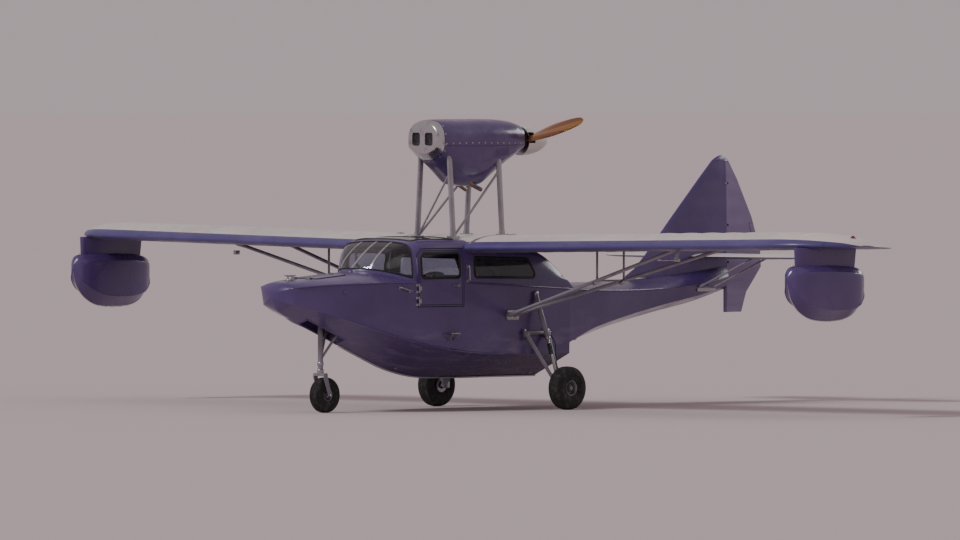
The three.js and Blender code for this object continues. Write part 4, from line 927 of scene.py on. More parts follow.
def well_walls():
    """Four walls up to a flat lid; their foot follows the V of the bottom, a rebate above its outer face."""
    patches = []
    for (x0, y0), (x1, y1) in zip(well_outline[:-1], well_outline[1:]):
        t = np.linspace(0, 1, 24)
        x, y = x0 + (x1 - x0) * t, y0 + (y1 - y0) * t
        v = lines(FOREBODY, y)
        foot = bottom_height(v, x[:, None])[:, 0] + REBATE
        levels = np.linspace(0, 1, 8)[:, None]
        z = foot[None, :] + (WELL_TOP - foot[None, :]) * levels
        patches.append(grid(np.stack([np.broadcast_to(x, z.shape), np.broadcast_to(y, z.shape), z], -1)))
    x, y = np.meshgrid(np.linspace(-WELL_HALF, WELL_HALF, 8), np.linspace(WELL_FRONT, WELL_REAR, 12))
    patches.append(grid(np.stack([x, y, np.full_like(x, WELL_TOP)], -1), flip=True))
    return patches


piece("hull_forebody_skin", "airframe", [*fore_shell, step_face, *well_walls()], hull_enamel,
      replaces=["hull_forebody"], wall=PLANK, inner=cabin_ply)

aft_shell = shell(AFTERBODY, aft_stations, [STEP, STERN + 1])


def end_cap(rows, s):
    """The flat stern: the whole outline at one station as a single face."""
    v = lines(rows, [s])
    w = np.linspace(1, 0, 12)
    x = [0, v["chine_x"][0, 0], *(w * v["sheer_x"][0, 0])]
    z = [v["keel"][0, 0], v["chine_z"][0, 0], *deck_height(v, w[None, :])[0]]
    right = [(a, s, b) for a, b in zip(x, z)]
    outline = np.array(right + [(-a, s, b) for a, b in zip(x[-2:0:-1], z[-2:0:-1])])
    return outline, [np.arange(len(outline))[None, ::-1]]


piece("hull_afterbody_skin", "airframe", aft_shell, hull_enamel, replaces=["hull_afterbody"],
      wall=PLANK, inner=cabin_ply)
fore_deck_stations = fore_stations[fore_stations <= DOOR_FRONT + 1e-3]
piece("fore_deck_skin", "airframe", deck(FOREBODY, fore_deck_stations), hull_enamel,
      replaces=["fore_deck"], wall=PLANK, inner=cabin_ply)
CABIN_REAR = 880.0
aft_deck_stations = np.unique([CABIN_REAR - 60, *aft_stations[aft_stations > CABIN_REAR]])
aft_deck = [deck(AFTERBODY, aft_deck_stations), end_cap(AFTERBODY, STERN)]
piece("aft_deck_skin", "airframe", aft_deck, hull_enamel, replaces=["aft_deck"], wall=PLANK,
      inner=cabin_ply)
print("hull shells:", {n: len(o.data.polygons) for n, o in pieces.items()})

# %% [markdown]
# The cabin. Its section is a smooth curve through six points, from the foot up the side, round the shoulder
# and over the roof. A second number q, from 0 at the foot to 5 at the roof's middle, says how far round. The
# windshield, the roof, the pillars and the rear walls are all parts of this one surface, so they line up.

# %% The cabin's surface
HOOP_FRONT = -1500.0
ROOF_LINE = 1337.0
WING_ROOF = 1345.0
FOOT = 760.0
ROUND_Q = 5.0
CABIN_WALL = 18.0
GLASS_WALL = 6.0
# columns: s, half breadth, roof height
CABIN = np.array([
    [-1880, 50, 1118], [-1850, 140, 1150], [-1780, 270, 1212], [-1660, 405, 1310], [HOOP_FRONT, 515, 1405],
    [-1350, 547, 1440], [-1000, 552, 1446], [-700, 554, 1436], [-350, 554, 1400], [100, 549, 1362],
    [300, 545, 1330], [460, 537, 1272], [610, 526, 1175], [750, 512, 1065], [CABIN_REAR, 492, 972]], float)
q_steps = np.linspace(0, ROUND_Q, 161)


def cabin_section(s, q):
    """Points (x, z) at stations s and places q round the section: a smooth cubic through six points."""
    s = np.atleast_1d(np.asarray(s, float))
    _, half, roof = hermite(CABIN, s).T
    q = np.broadcast_to(q, (len(s), np.shape(q)[-1]))
    x = np.stack([half - 8, half, 0.965 * half, 0.88 * half, 0.58 * half, 0 * half], 1)
    z = np.stack([0 * roof + FOOT, np.minimum(980, roof - 90), FOOT + 0.74 * (roof - FOOT), roof - 48,
                  roof - 10, roof], 1)
    x = np.concatenate([2 * x[:, :1] - x[:, 1:2], x, -x[:, 4:5]], 1)
    z = np.concatenate([2 * z[:, :1] - z[:, 1:2], z, z[:, 4:5]], 1)
    k = np.clip(q.astype(int), 0, 4)
    return tuple(through(*(np.take_along_axis(c, k + j, 1) for j in range(4)), q - k) for c in (x, z))


def q_where(s, measure, value):
    """For each station, the first q at which measure(x, z, s) rises through value; 5 if it never does."""
    s = np.atleast_1d(np.asarray(s, float))
    x, z = cabin_section(s, q_steps[None, :])
    m = measure(x, z, s[:, None]) - np.reshape(value, (-1, 1))
    above = m > 0
    first = np.where(above.any(1), above.argmax(1), len(q_steps) - 1)
    i = np.clip(first, 1, None)
    rows = np.arange(len(s))
    low, high = m[rows, i - 1], m[rows, i]
    share = np.clip(-low / np.where(high - low == 0, 1, high - low), 0, 1)
    q = q_steps[i - 1] + share * (q_steps[i] - q_steps[i - 1])
    q = np.where(first == 0, 0.0, q)
    return np.where(above.any(1), q, ROUND_Q)


def at_height(s, z):
    """q at which the section reaches height z."""
    return q_where(s, lambda x, zz, ss: zz, z)


def over_deck(x, z, s):
    """Height above the deck at the same x and s."""
    v = hull_lines(s[:, 0])
    w = np.clip(np.abs(x) / v["sheer_x"], 0, 1)
    return z - deck_height(v, w)


def cabin_patch(s, q_low, q_high, columns, side=1):
    """The part of the cabin's surface between two q at each station, on one side."""
    share = np.linspace(0, 1, columns)[None, :]
    q = np.reshape(q_low, (-1, 1)) + (np.reshape(q_high, (-1, 1)) - np.reshape(q_low, (-1, 1))) * share
    q = np.broadcast_to(q, (len(s), columns))
    x, z = cabin_section(s, q)
    return grid(at_stations(side * x, s, z), flip=side < 0)


def arch(s, q_low, columns):
    """From q_low on one side over the roof to q_low on the other, as one patch."""
    share = np.linspace(-1, 1, 2 * columns + 1)[None, :]
    low = np.reshape(q_low, (-1, 1))
    q = ROUND_Q - (ROUND_Q - low) * np.abs(share)
    x, z = cabin_section(s, np.broadcast_to(q, (len(s), 2 * columns + 1)))
    return grid(at_stations(-np.sign(share) * x, s, z))


def cabin_x(y, z):
    """Half breadth of the cabin at scattered stations and heights."""
    shape = np.shape(y)
    y, z = np.ravel(y), np.ravel(z)
    x, _ = cabin_section(y, at_height(y, z)[:, None])
    return x[:, 0].reshape(shape)


def hull_x(y, z):
    """Half breadth of the hull: bottom, topside and cambered deck, each solved for x."""
    shape = np.shape(y)
    y, z = np.ravel(y), np.ravel(z)
    v = {k: c[:, 0] for k, c in hull_lines(y).items()}
    bottom = (z - v["keel"]) / (v["chine_z"] - v["keel"]) * v["chine_x"]
    rise = (z - v["chine_z"]) / (v["sheer_z"] - v["chine_z"])
    topside = v["chine_x"] + (v["sheer_x"] - v["chine_x"]) * rise
    share = np.clip(1 - (z - v["sheer_z"]) / (v["crown"] - v["sheer_z"]), 0, 1)
    top = v["sheer_x"] * share ** (1 / CAMBER)
    x = np.where(z < v["chine_z"], bottom, np.where(z < v["sheer_z"], topside, top))
    return x.reshape(shape)


def side_x(y, z):
    """The outer side: topside, easing into the cabin's side from 10 mm below the sheer to 40 mm above."""
    sheer = hull_lines(np.ravel(y))["sheer_z"][:, 0].reshape(np.shape(y))
    ease = np.clip((z - sheer + 10) / 50, 0, 1)
    ease = ease * ease * (3 - 2 * ease)
    wide = np.maximum(hull_x(y, np.minimum(z, sheer)), 0)
    return wide + (cabin_x(y, np.maximum(z, sheer)) - wide) * ease


print("cabin half breadth at the door, mm:", cabin_x(np.array([-1100.0]), np.array([1100.0])).round(1))

# %% [markdown]
# The frame of the canopy: the foot round the windshield, the hoop it ends on, the roof with its hole for the
# skylight, the pillars behind the doors, and the tongue of roof that runs on over the wing's leading edge.

# %% Canopy frame and rear cabin
SKY_FRONT, SKY_BACK, SKY_FRONT_X, SKY_BACK_X = -1420.0, -840.0, 395.0, 430.0
PILLAR_BACK = -700.0
TONGUE_BACK = -300.0
RIM = 34.0


def sky_edge(s):
    """Half breadth of the skylight, widening aft."""
    return SKY_FRONT_X + (SKY_BACK_X - SKY_FRONT_X) * (s - SKY_FRONT) / (SKY_BACK - SKY_FRONT)


def at_breadth(s, x_target):
    """q at which the section has narrowed to a half breadth."""
    return q_where(s, lambda x, z, ss: -x, -np.asarray(x_target))


def both(s, q_low, q_high, columns):
    """A part of the cabin's surface on both sides."""
    return [cabin_patch(s, q_low, q_high, columns, side) for side in (1, -1)]


TIP = -1879.0
try_s = np.linspace(TIP, -1780, 400)
roof_over_deck = hermite(CABIN, try_s)[:, 2] - hull_lines(try_s)["crown"][:, 0]
APEX = float(np.interp(RIM, roof_over_deck, try_s))
wind_s = APEX + (HOOP_FRONT - APEX) * np.linspace(0, 1, 32) ** 1.7
print("the glass starts at station", round(APEX))


GUSSET_BACK, GUSSET_LOW, GUSSET_HIGH = -1388.0, 1273.0, 1337.0
LAP = -2.0


def frame_patches():
    """Every strip of the frame, from the foot round the windshield back to the tongue over the wing."""
    foot_s = np.concatenate([[TIP, (TIP + APEX) / 2], wind_s])
    deck_q, rim_q = (q_where(foot_s, over_deck, h) for h in (LAP, RIM))
    hoop_s = np.linspace(HOOP_FRONT, DOOR_FRONT, 4)
    hoop_q = q_where(hoop_s, over_deck, LAP)
    gusset_s = np.linspace(DOOR_FRONT, GUSSET_BACK, 5)
    gusset_rise = (gusset_s - DOOR_FRONT) / (GUSSET_BACK - DOOR_FRONT)
    gusset_low = at_height(gusset_s, GUSSET_LOW + gusset_rise * (GUSSET_HIGH - GUSSET_LOW))
    front_s = np.linspace(DOOR_FRONT, SKY_FRONT, 3)
    sky_s = np.linspace(SKY_FRONT, SKY_BACK, 25)
    back_s = np.linspace(SKY_BACK, PILLAR_BACK, 7)
    post_s = np.linspace(DOOR_BACK, PILLAR_BACK, 5)
    tongue_s = np.linspace(PILLAR_BACK, TONGUE_BACK, 15)
    sheer = hull_lines(post_s)["sheer_z"][:, 0]
    roof_q = {key: at_height(s, ROOF_LINE) for key, s in (
        ("gusset", gusset_s), ("front", front_s), ("sky", sky_s), ("back", back_s), ("post", post_s))}
    patches = [arch(hoop_s, hoop_q, 30)]
    patches += both(foot_s, deck_q, rim_q, 5)
    patches += both(gusset_s, gusset_low, roof_q["gusset"], 5)
    patches += [arch(front_s, roof_q["front"], 30), arch(back_s, roof_q["back"], 30)]
    patches += both(sky_s, roof_q["sky"], at_breadth(sky_s, sky_edge(sky_s)), 14)
    patches += both(post_s, at_height(post_s, sheer), roof_q["post"], 14)
    patches.append(arch(tongue_s, at_height(tongue_s, WING_ROOF), 30))
    q = np.linspace(float(deck_q[0]), ROUND_Q, 12)
    x, z = (c[0] for c in cabin_section(foot_s[:1], q[None, :]))
    ring = np.column_stack([np.concatenate([x, -x[-2::-1]]), np.concatenate([z, z[-2::-1]])])
    t = np.linspace(0, 1, 9)[:, None]
    shrunk = [0, ring[0, 1]] + (ring - [0, ring[0, 1]])[None] * np.sqrt(1 - t**2)[..., None]
    nose_y = np.broadcast_to(foot_s[0] - 34 * t, shrunk.shape[:2])
    patches.append(grid(np.dstack([shrunk[..., 0], nose_y, shrunk[..., 1]]), flip=True))
    return patches


piece("canopy_frame_skin", "airframe", frame_patches(), hull_enamel, replaces=["canopy_frame"],
      wall=CABIN_WALL, inner=cabin_ply)


def on_side(flat, side, out=0.0):
    """Points (y, z) put on the outer side of hull and cabin, and lifted off it by out."""
    x = side_x(flat[..., 0], flat[..., 1]) + out
    return np.stack([side * x, flat[..., 0], flat[..., 1]], -1)


def ring_patch(outer, inner, across, side):
    """A panel between two closed outlines that have the same number of points."""
    t = np.linspace(0, 1, across)[:, None, None]
    flat = outer[None] + (inner - outer)[None] * t
    return grid(on_side(flat, side), wrap=True, flip=side > 0)


PANE_SCALE = 300.0


def pane(outline, side, rings=12, out=0.0):
    """A filled outline as rings that shrink to its middle, on the smooth cubic that fits the side there."""
    middle = outline.mean(0)
    t = np.linspace(1, 0, rings)[:, None, None]
    flat = middle + (outline - middle)[None] * t
    step = (flat.reshape(-1, 2) - middle) / PANE_SCALE
    terms = np.column_stack([step[:, 0] ** i * step[:, 1] ** j for i in range(4) for j in range(4 - i)])
    fit = np.linalg.lstsq(terms, side_x(*(step * PANE_SCALE + middle).T), rcond=None)[0]
    x = side * ((terms @ fit).reshape(flat.shape[:2]) + out)
    return grid(np.dstack([x, flat]), wrap=True, flip=side > 0)


def moulding(outline, side, section):
    """A closed section of points (sideways, out) carried along an outline on the outer side."""
    rings = [on_side(offset(outline, w), side, out) for w, out in section]
    return outward(*grid(np.stack(rings + rings[:1]), wrap=True))


def seal(outline, side, width=13.0, height=7.0):
    """A rubber frame round a window: a low section with a rounded back."""
    profile = [(-1, -0.5), (-1, 0.35), (-0.6, 0.9), (0, 1), (0.6, 0.9), (1, 0.35), (1, -0.5), (0, -0.5)]
    return moulding(outline, side, [(w * width, h * height) for w, h in profile])


REAR_WINDOW = [[-640, 1035], [270, 1020], [150, 1215], [-640, 1240]]
WINDOW_ROUND = 38.0
PANEL_BACK, PANEL_TOP = 320.0, 1262.0


def edges(corners, count):
    """A closed outline with sharp corners and count points for each edge."""
    corners = np.asarray(corners, float)
    t = np.linspace(0, 1, count, endpoint=False)[:, None]
    return np.concatenate([a + (b - a) * t for a, b in zip(corners, np.roll(corners, -1, 0))])


def match(outline, corners, count):
    """Spaces a round-cornered loop like edges() does: count points from corner to corner."""
    nearest = [int(np.argmin(np.linalg.norm(outline - c, axis=1))) for c in np.asarray(corners, float)]
    out = []
    for a, b in zip(nearest, nearest[1:] + nearest[:1]):
        bit = np.concatenate([outline[a:], outline[:b + 1]]) if b <= a else outline[a:b + 1]
        length = np.concatenate([[0], np.cumsum(np.linalg.norm(np.diff(bit, axis=0), axis=1))])
        want = np.linspace(0, length[-1], count, endpoint=False)
        out.append(np.column_stack([np.interp(want, length, bit[:, k]) for k in (0, 1)]))
    return np.concatenate(out)


def sheer_at(s):
    """Height of the sheer at stations s."""
    return hull_lines(s)["sheer_z"][:, 0]


def rear_patches():
    """Side panels with a window each, the roof's edge over them, and the arch that falls to the aft deck."""
    front, count = PILLAR_BACK + 0.3, 24
    panel_s = np.linspace(front, PANEL_BACK, count + 1)
    tail_s = np.linspace(PANEL_BACK, CABIN_REAR, 22)
    outer = edges([[front, 0], [PANEL_BACK, 0], [PANEL_BACK, PANEL_TOP], [front, PANEL_TOP]], count)
    foot = outer[:, 1] < 1
    outer[foot, 1] = sheer_at(outer[foot, 0])
    rise = np.arange(count) / count
    for start, s, share in ((count, PANEL_BACK, rise), (3 * count, front, 1 - rise)):
        low = sheer_at(np.array([s]))[0]
        outer[start:start + count, 0] = s
        outer[start:start + count, 1] = low + (PANEL_TOP - low) * share
    inner = match(loop(REAR_WINDOW, WINDOW_ROUND), REAR_WINDOW, count)
    under_wing = np.minimum(hermite(CABIN, panel_s)[:, 2] - 2, WING_ROOF)
    patches = [ring_patch(outer, inner, 8, side) for side in (1, -1)]
    patches += both(panel_s, at_height(panel_s, PANEL_TOP), at_height(panel_s, under_wing), 6)
    patches.append(arch(tail_s, at_height(tail_s, sheer_at(tail_s)), 34))
    return patches


piece("cabin_rear_skin", "airframe", rear_patches(), hull_enamel, replaces=["cabin_rear"],
      wall=CABIN_WALL, inner=cabin_ply)

# %% [markdown]
# Glass. Each pane is a piece of the same surface, 6 mm thick, held by a black rubber seal. The windshield is
# one bent sheet with a metal strip down its middle and one more at each side of it.

# %% Windshield, skylight and rear windows
wind_q = q_where(wind_s, over_deck, RIM)
piece("windshield_glass", "airframe", arch(wind_s, wind_q, 26), acrylic,
      replaces=["windshield"], wall=GLASS_WALL)
glass_s = np.linspace(SKY_FRONT, SKY_BACK, 21)
skylight = arch(glass_s, at_breadth(glass_s, sky_edge(glass_s)), 20)
piece("skylight_glass", "airframe", skylight, acrylic, replaces=["skylight"], wall=GLASS_WALL)


def surface_line(s, q):
    """Points of the cabin's surface, one for each station."""
    x, z = cabin_section(s, np.reshape(q, (-1, 1)))
    return np.stack([x[:, 0], s, z[:, 0]], -1)


def strap(s, q, width, height):
    """A flat strip laid on the cabin's surface along points (s, q), with a low rounded section."""
    line = surface_line(s, q)
    tangent = np.gradient(line, axis=0)
    across = surface_line(s, q - 0.05) - line
    normal = np.cross(tangent, across)
    normal /= np.linalg.norm(normal, axis=1)[:, None]
    normal *= np.sign(normal[:, 2:3] + 1e-9)
    sideways_unit = np.cross(normal, tangent)
    sideways_unit /= np.linalg.norm(sideways_unit, axis=1)[:, None]
    profile = [(-1, -0.6), (-1, 0.5), (-0.7, 1), (0.7, 1), (1, 0.5), (1, -0.6)]
    return loft([point + np.array([w * width * b + h * height * n for w, h in profile])
                 for point, b, n in zip(line, sideways_unit, normal)])


STRAP_X = 215.0
foot_x = cabin_section(wind_s, wind_q[:, None])[0][:, 0]
strap_s = np.linspace(APEX + 3, HOOP_FRONT + 4, 24)
side_strap_s = np.linspace(float(np.interp(STRAP_X, foot_x, wind_s)), HOOP_FRONT + 4, 20)
straps = [strap(strap_s, np.full(24, ROUND_Q - 1e-4), 15, 4)]
side_strap = strap(side_strap_s, at_breadth(side_strap_s, STRAP_X), 12, 4)
straps += [side_strap, moved(side_strap, MIRROR)]
piece("windshield_straps", "airframe", straps, bright_metal)


def sky_cross(s):
    """The skylight's edge across the cabin at one station."""
    q_edge = at_breadth([s], [sky_edge(s)])[0]
    share = np.linspace(-1, 1, 24)
    line = surface_line(np.full(24, s), ROUND_Q - (ROUND_Q - q_edge) * np.abs(share))
    return line * np.column_stack([-np.sign(share), np.ones((24, 2))])


OVER = np.array([-1, 1, 1])
BEAD_RADIUS = 8
bead = surface_line(wind_s, wind_q)
hoop_q = np.linspace(q_where([HOOP_FRONT], over_deck, RIM)[0], ROUND_Q, 30)
hoop = surface_line(np.full(30, HOOP_FRONT), hoop_q)
sky_loop_s = np.linspace(SKY_FRONT, SKY_BACK, 20)
sky_side = surface_line(sky_loop_s, at_breadth(sky_loop_s, sky_edge(sky_loop_s)))
bead_lines = [np.concatenate([bead[::-1], bead[1:] * OVER]), np.concatenate([hoop, hoop[-2::-1] * OVER]),
              sky_side, sky_side * OVER, *map(sky_cross, (SKY_FRONT, SKY_BACK, (SKY_FRONT + SKY_BACK) / 2))]
piece("cabin_beads", "airframe", [tube(line, BEAD_RADIUS, 8) for line in bead_lines],
      seal_rubber)

rear_loop = loop(REAR_WINDOW, WINDOW_ROUND)
for name, turn in SIDES.items():
    side = turn[0, 0]
    piece(f"rear_window_{name}_glass", "airframe", pane(rear_loop, side), acrylic,
          replaces=[f"rear_window_{name}"], wall=GLASS_WALL)
    piece(f"rear_window_{name}_seal", "airframe", seal(rear_loop, side), seal_rubber)
print("glass:", [n for n in pieces if "glass" in n])

# %% [markdown]
# The doors swing forward on two knuckles at their leading edge. Each is a shell as thick as the side of the
# cabin, cut to the same surface, with its window let into a rubber seal and a lever handle near the back
# edge. The fixed hinge leaves stay on the hull, and so does the strip that the door shuts against, which
# keeps daylight and spray out of the gap round it.

# %% Doors
DOOR = [[-1440, 745], [-800, 745], [-800, 1330], [-1385, 1330], [-1440, 1270]]
DOOR_WINDOW = [[-1392, 1035], [-850, 1035], [-850, 1290], [-1350, 1290], [-1392, 1245]]
DOOR_WALL = 20.0
DOOR_ROUND = 14.0
HINGE_X, HINGE_Y, HINGE_RADIUS, HINGE_HALF = 556.0, -1443.0, 7.0, 22.0
HINGE_HEIGHTS = (800.0, 930.0)
HINGE_PLAY, LEAF_REACH = 0.3, 24.0
HANDLE = (-872.0, 962.0)
STOP_SECTION = [(16, -19), (16, -29), (-10, -29), (-12, -26.5), (-10, -24), (5, -24), (5, -19)]


def knuckle(z0, z1):
    """One barrel of a hinge, a little narrower at its ends."""
    r = HINGE_RADIUS
    return turned([(z0, 0), (z0, r - 1.2), (z0 + 1.2, r), (z1 - 1.2, r), (z1, r - 1.2), (z1, 0)],
                  (HINGE_X, HINGE_Y, 0), (0, 0, 1), 20)


def leaf(z0, z1, back):
    """A hinge's flat leaf on the surface, from the barrel towards the door (back) or the hull."""
    reach = np.array([HINGE_Y, HINGE_Y + back])
    corners = [on_side(np.array([y, z]), 1, lift) for lift in (0.2, 3.2)
               for y, z in ((reach[0], z0), (reach[1], z0), (reach[1], z1), (reach[0], z1))]
    corners = np.array(corners).reshape(2, 4, 3)
    corners[:, [0, 3], 0] = np.maximum(corners[:, [0, 3], 0], HINGE_X - 4)
    return loft(corners)


def door_handle():
    """A rose, a short spindle and a lever that points forward, with a rounded end."""
    y, z = HANDLE
    x = float(side_x(np.array([y]), np.array([z]))[0])
    rose = turned(stud(-2, 2.5, 4.5, 21, 17), (x, y, z), (1, 0, 0), 28)
    spindle = turned([(3, 0), (3, 8), (15, 7), (17, 5), (17, 0)], (x, y, z), (1, 0, 0), 20)
    path = [(x + 13, y + 2, z), (x + 15, y - 30, z - 1), (x + 14, y - 70, z - 3), (x + 9, y - 98, z - 4)]
    lever = tube(smooth_curve(path, 6), np.linspace(6.5, 5, 19), 12)
    return [rose, spindle, lever]


door_outline = loop(DOOR, DOOR_ROUND)
door_window = loop(DOOR_WINDOW, WINDOW_ROUND)
DOOR_POINTS = 26
for name, turn in SIDES.items():
    side = turn[0, 0]
    body = f"{name}_door"
    shell_patch = ring_patch(*(match(outline, corners, DOOR_POINTS) for outline, corners in (
        (door_outline, DOOR), (door_window, DOOR_WINDOW))), 14, side)
    piece(f"door_{name}_skin", body, shell_patch, hull_enamel, replaces=[f"door_{name}"],
          wall=DOOR_WALL, inner=cabin_ply)
    piece(f"door_{name}_glass", body, pane(door_window, side, out=-3.0), acrylic,
          replaces=[f"door_glass_{name}"], wall=GLASS_WALL)
    piece(f"door_{name}_seals", body,
          [seal(door_window, side), seal(offset(door_outline, -16.0), side, 3.2, 2.2)], seal_rubber)
    spans = [(z - HINGE_HALF, z + HINGE_HALF) for z in HINGE_HEIGHTS]
    metal = [leaf(*span, 46) for span in spans] + [knuckle(*span) for span in spans] + door_handle()
    piece(f"door_{name}_fittings", body, metal, stainless, turn=turn)
    ends = [sorted((z + way * (HINGE_HALF + HINGE_PLAY), z + way * (HINGE_HALF + LEAF_REACH)))
            for z in HINGE_HEIGHTS for way in (1, -1)]
    fixed = [knuckle(*end) for end in ends] + [leaf(*end, -34) for end in ends]
    piece(f"door_{name}_hinge_leaves", "airframe", fixed, stainless, turn=turn)
    piece(f"door_{name}_stop", "airframe", moulding(door_outline, side, STOP_SECTION),
          seal_rubber)
print("door pieces:", sum(n.startswith("door_") for n in pieces))

# %% [markdown]
# The wing. Its section is a cambered 12 percent foil, its tips are quarter ellipses, and each panel rises one
# degree. A number w runs round the nose: -1 is the lower skin's end at the rear, 0 the leading edge and +1
# the upper skin's end, with the chord share u = w squared, so points crowd at the nose by themselves. Fabric
# sinks a few millimetres between the ribs and the spars, and a tape lies over each rib.

# %% Wing surface
WING_FRONT, WING_HEIGHT, CHORD = -760.0, 1335.0, 1500.0
INCIDENCE, DIHEDRAL = math.tan(math.radians(2)), math.tan(math.radians(1))
ROOT, PANEL, TIP_ROUND, TIP_END = 560.0, 4990.0, 750.0, 0.988
RIB_PITCH, SAG, TAPE_HALF, TAPE = 302.0, 6.5, 21.0, 0.9
SPAR_SHARE = 0.13
TAPE_STOP = 400.0
AIL_FROM, AIL_TO, AIL_Y, AIL_Z, AIL_NOSE, AIL_GAP = 2450.0, 4200.0, 410.0, 1330.0, 39.5, 7.0
LIP_SHARE = (392 - WING_FRONT) / CHORD
BAND_SHARE = 0.045


def foil_offsets(u):
    """Camber and half thickness of the wing's section, as shares of the chord."""
    thick = 0.6 * (0.2969 * np.sqrt(u) - 0.126 * u - 0.3516 * u**2 + 0.2843 * u**3 - 0.0996 * u**4)
    camber = np.where(u < 0.4, 0.25 * (0.8 * u - u * u), 0.04 / 0.36 * (0.2 + 0.8 * u - u * u))
    return camber, thick


def chord_part(x):
    """Local chord over full chord: an ellipse over the last 750 mm of the panel."""
    t = np.clip((x - (PANEL - TIP_ROUND)) / TIP_ROUND, 0, 1)
    return np.maximum(np.sqrt(np.clip(1 - (t * TIP_END) ** 2, 0, 1)), 0.02)


def from_rib(x):
    """Distance from x to the nearest rib."""
    return np.abs((x / RIB_PITCH + 0.5) % 1 - 0.5) * RIB_PITCH


def rib_shape(x, u):
    """How far the skin lies below the smooth section: sag between ribs and spars, less the ribs' tape."""
    near = from_rib(x)
    bay = np.sin(np.pi * near / RIB_PITCH) ** 1.4
    chordwise = np.clip((u - SPAR_SHARE) / 0.12, 0, 1) * np.clip((1 - u) / 0.1, 0, 1)
    chordwise = chordwise * np.clip((np.abs(u - LIP_SHARE) - 0.03) / 0.06, 0, 1)
    fade = np.clip((PANEL - 250 - x) / 300, 0, 1)
    tape = np.where((near < TAPE_HALF) & (u > SPAR_SHARE), TAPE, 0.0)
    return (SAG * bay * chordwise - tape) * fade


def wing_skin(x, u, way, fabric=True):
    """Points of a panel at span x and chord share u, on the upper (way 1) or lower (way -1) skin."""
    x, u = np.broadcast_arrays(np.asarray(x, float), np.asarray(u, float))
    part = chord_part(x)
    flat = np.clip((PANEL - x) / 60, 0, 1) ** 0.5
    camber, thick = foil_offsets(u)
    y = WING_FRONT + 0.45 * CHORD * (1 - part) + CHORD * part * u
    z = WING_HEIGHT - (y - WING_FRONT) * INCIDENCE + CHORD * part * (camber + way * thick * flat)
    if fabric:
        z = z - way * rib_shape(x, u)
    return np.stack([ROOT + x, y, z + x * DIHEDRAL], -1)


def span_stations(start, end, per_bay=8):
    """Stations at each tape's edges and between the ribs, crowding towards the tip."""
    ribs = np.arange(0, PANEL / RIB_PITCH) * RIB_PITCH
    edges_of = np.concatenate([ribs + d for d in (-TAPE_HALF - 0.5, -TAPE_HALF + 0.5, 0, TAPE_HALF - 0.5,
                                                  TAPE_HALF + 0.5)])
    between_ribs = np.arange(0, PANEL, RIB_PITCH / per_bay)
    t = np.linspace(0, math.pi / 2, 30)
    tip = PANEL - TIP_ROUND + TIP_ROUND * np.sin(t)
    x = np.concatenate([edges_of, between_ribs, tip, [start, end]])
    x = np.unique(x[(x >= start) & (x <= end)].round(3))
    keep = np.diff(x, append=1e9) > 0.6
    keep[-1] = True
    return x[keep]


def nose_skin(x, w_from, w_to, columns):
    """Part of the skin ahead of the lip, from w_from to w_to round the nose."""
    w = np.linspace(w_from, w_to, columns)[None, :]
    u = LIP_SHARE * w * w
    up, down = wing_skin(x[:, None], u, 1), wing_skin(x[:, None], u, -1)
    return grid(np.where((w >= 0)[..., None], up, down), flip=True)


def rear_skin(x, way, columns=12):
    """The skin between the lip and the trailing edge."""
    u = np.linspace(LIP_SHARE, 1, columns)[None, :]
    return grid(wing_skin(x[:, None], u, way), flip=way > 0)


def trailing_edge(x):
    """The blunt end of the section."""
    return grid(np.stack([wing_skin(x, 1.0, 1), wing_skin(x, 1.0, -1)], 1), flip=True)


def rear_wall(x, facing):
    """The rib that closes the section behind the lip, seen at the end of the aileron's bay."""
    u = np.linspace(LIP_SHARE, 1, 12)
    upper, lower = wing_skin(np.full(12, x), u, 1), wing_skin(np.full(12, x), u, -1)
    return grid(np.stack([upper, lower]), flip=facing < 0)


def trough(x, columns=14):
    """The hollow the aileron's round nose turns in, from the upper lip to the lower lip."""
    upper, lower = wing_skin(x, LIP_SHARE, 1), wing_skin(x, LIP_SHARE, -1)
    t = np.linspace(0, 1, columns)[None, :, None]
    hollow = AIL_NOSE + AIL_GAP
    centre = np.stack([ROOT + x, np.full_like(x, AIL_Y), AIL_Z + x * DIHEDRAL], -1)[:, None]
    start, end = (np.arctan2(lip[:, 2] - centre[:, 0, 2], lip[:, 1] - centre[:, 0, 1])[:, None, None]
                  for lip in (upper, lower))
    end = end + 2 * math.pi
    angle = start + (end - start) * t
    arc = centre + hollow * np.concatenate([0 * angle, np.cos(angle), np.sin(angle)], -1)
    arc[:, 0], arc[:, -1] = upper, lower
    return grid(arc, flip=True)


BAND_W = math.sqrt(BAND_SHARE / LIP_SHARE)
inner_x = span_stations(0, AIL_FROM - AIL_GAP)
bay_x = span_stations(AIL_FROM - AIL_GAP, AIL_TO + AIL_GAP)
outer_x = span_stations(AIL_TO + AIL_GAP, PANEL)
panel_x = np.unique(np.concatenate([inner_x, bay_x, outer_x]))
# Finish numbers: ivory fabric on top, indigo fabric as painted shade under the wing and round its nose, rib
# tape.
ivory, indigo, ribbon = 0, 1, 3


def taped(patch, number):
    """A skin patch split in two: the faces over a rib's tape, and the rest with the number given."""
    points, (quads,) = patch
    x = points[quads].mean(1)[:, 0] - ROOT
    u = (points[quads].mean(1)[:, 1] - WING_FRONT) / CHORD
    over = (from_rib(x) < TAPE_HALF) & (u > SPAR_SHARE) & (x < PANEL - TAPE_STOP)
    return [((points, [quads[~over]]), number), ((points, [quads[over]]), ribbon)]


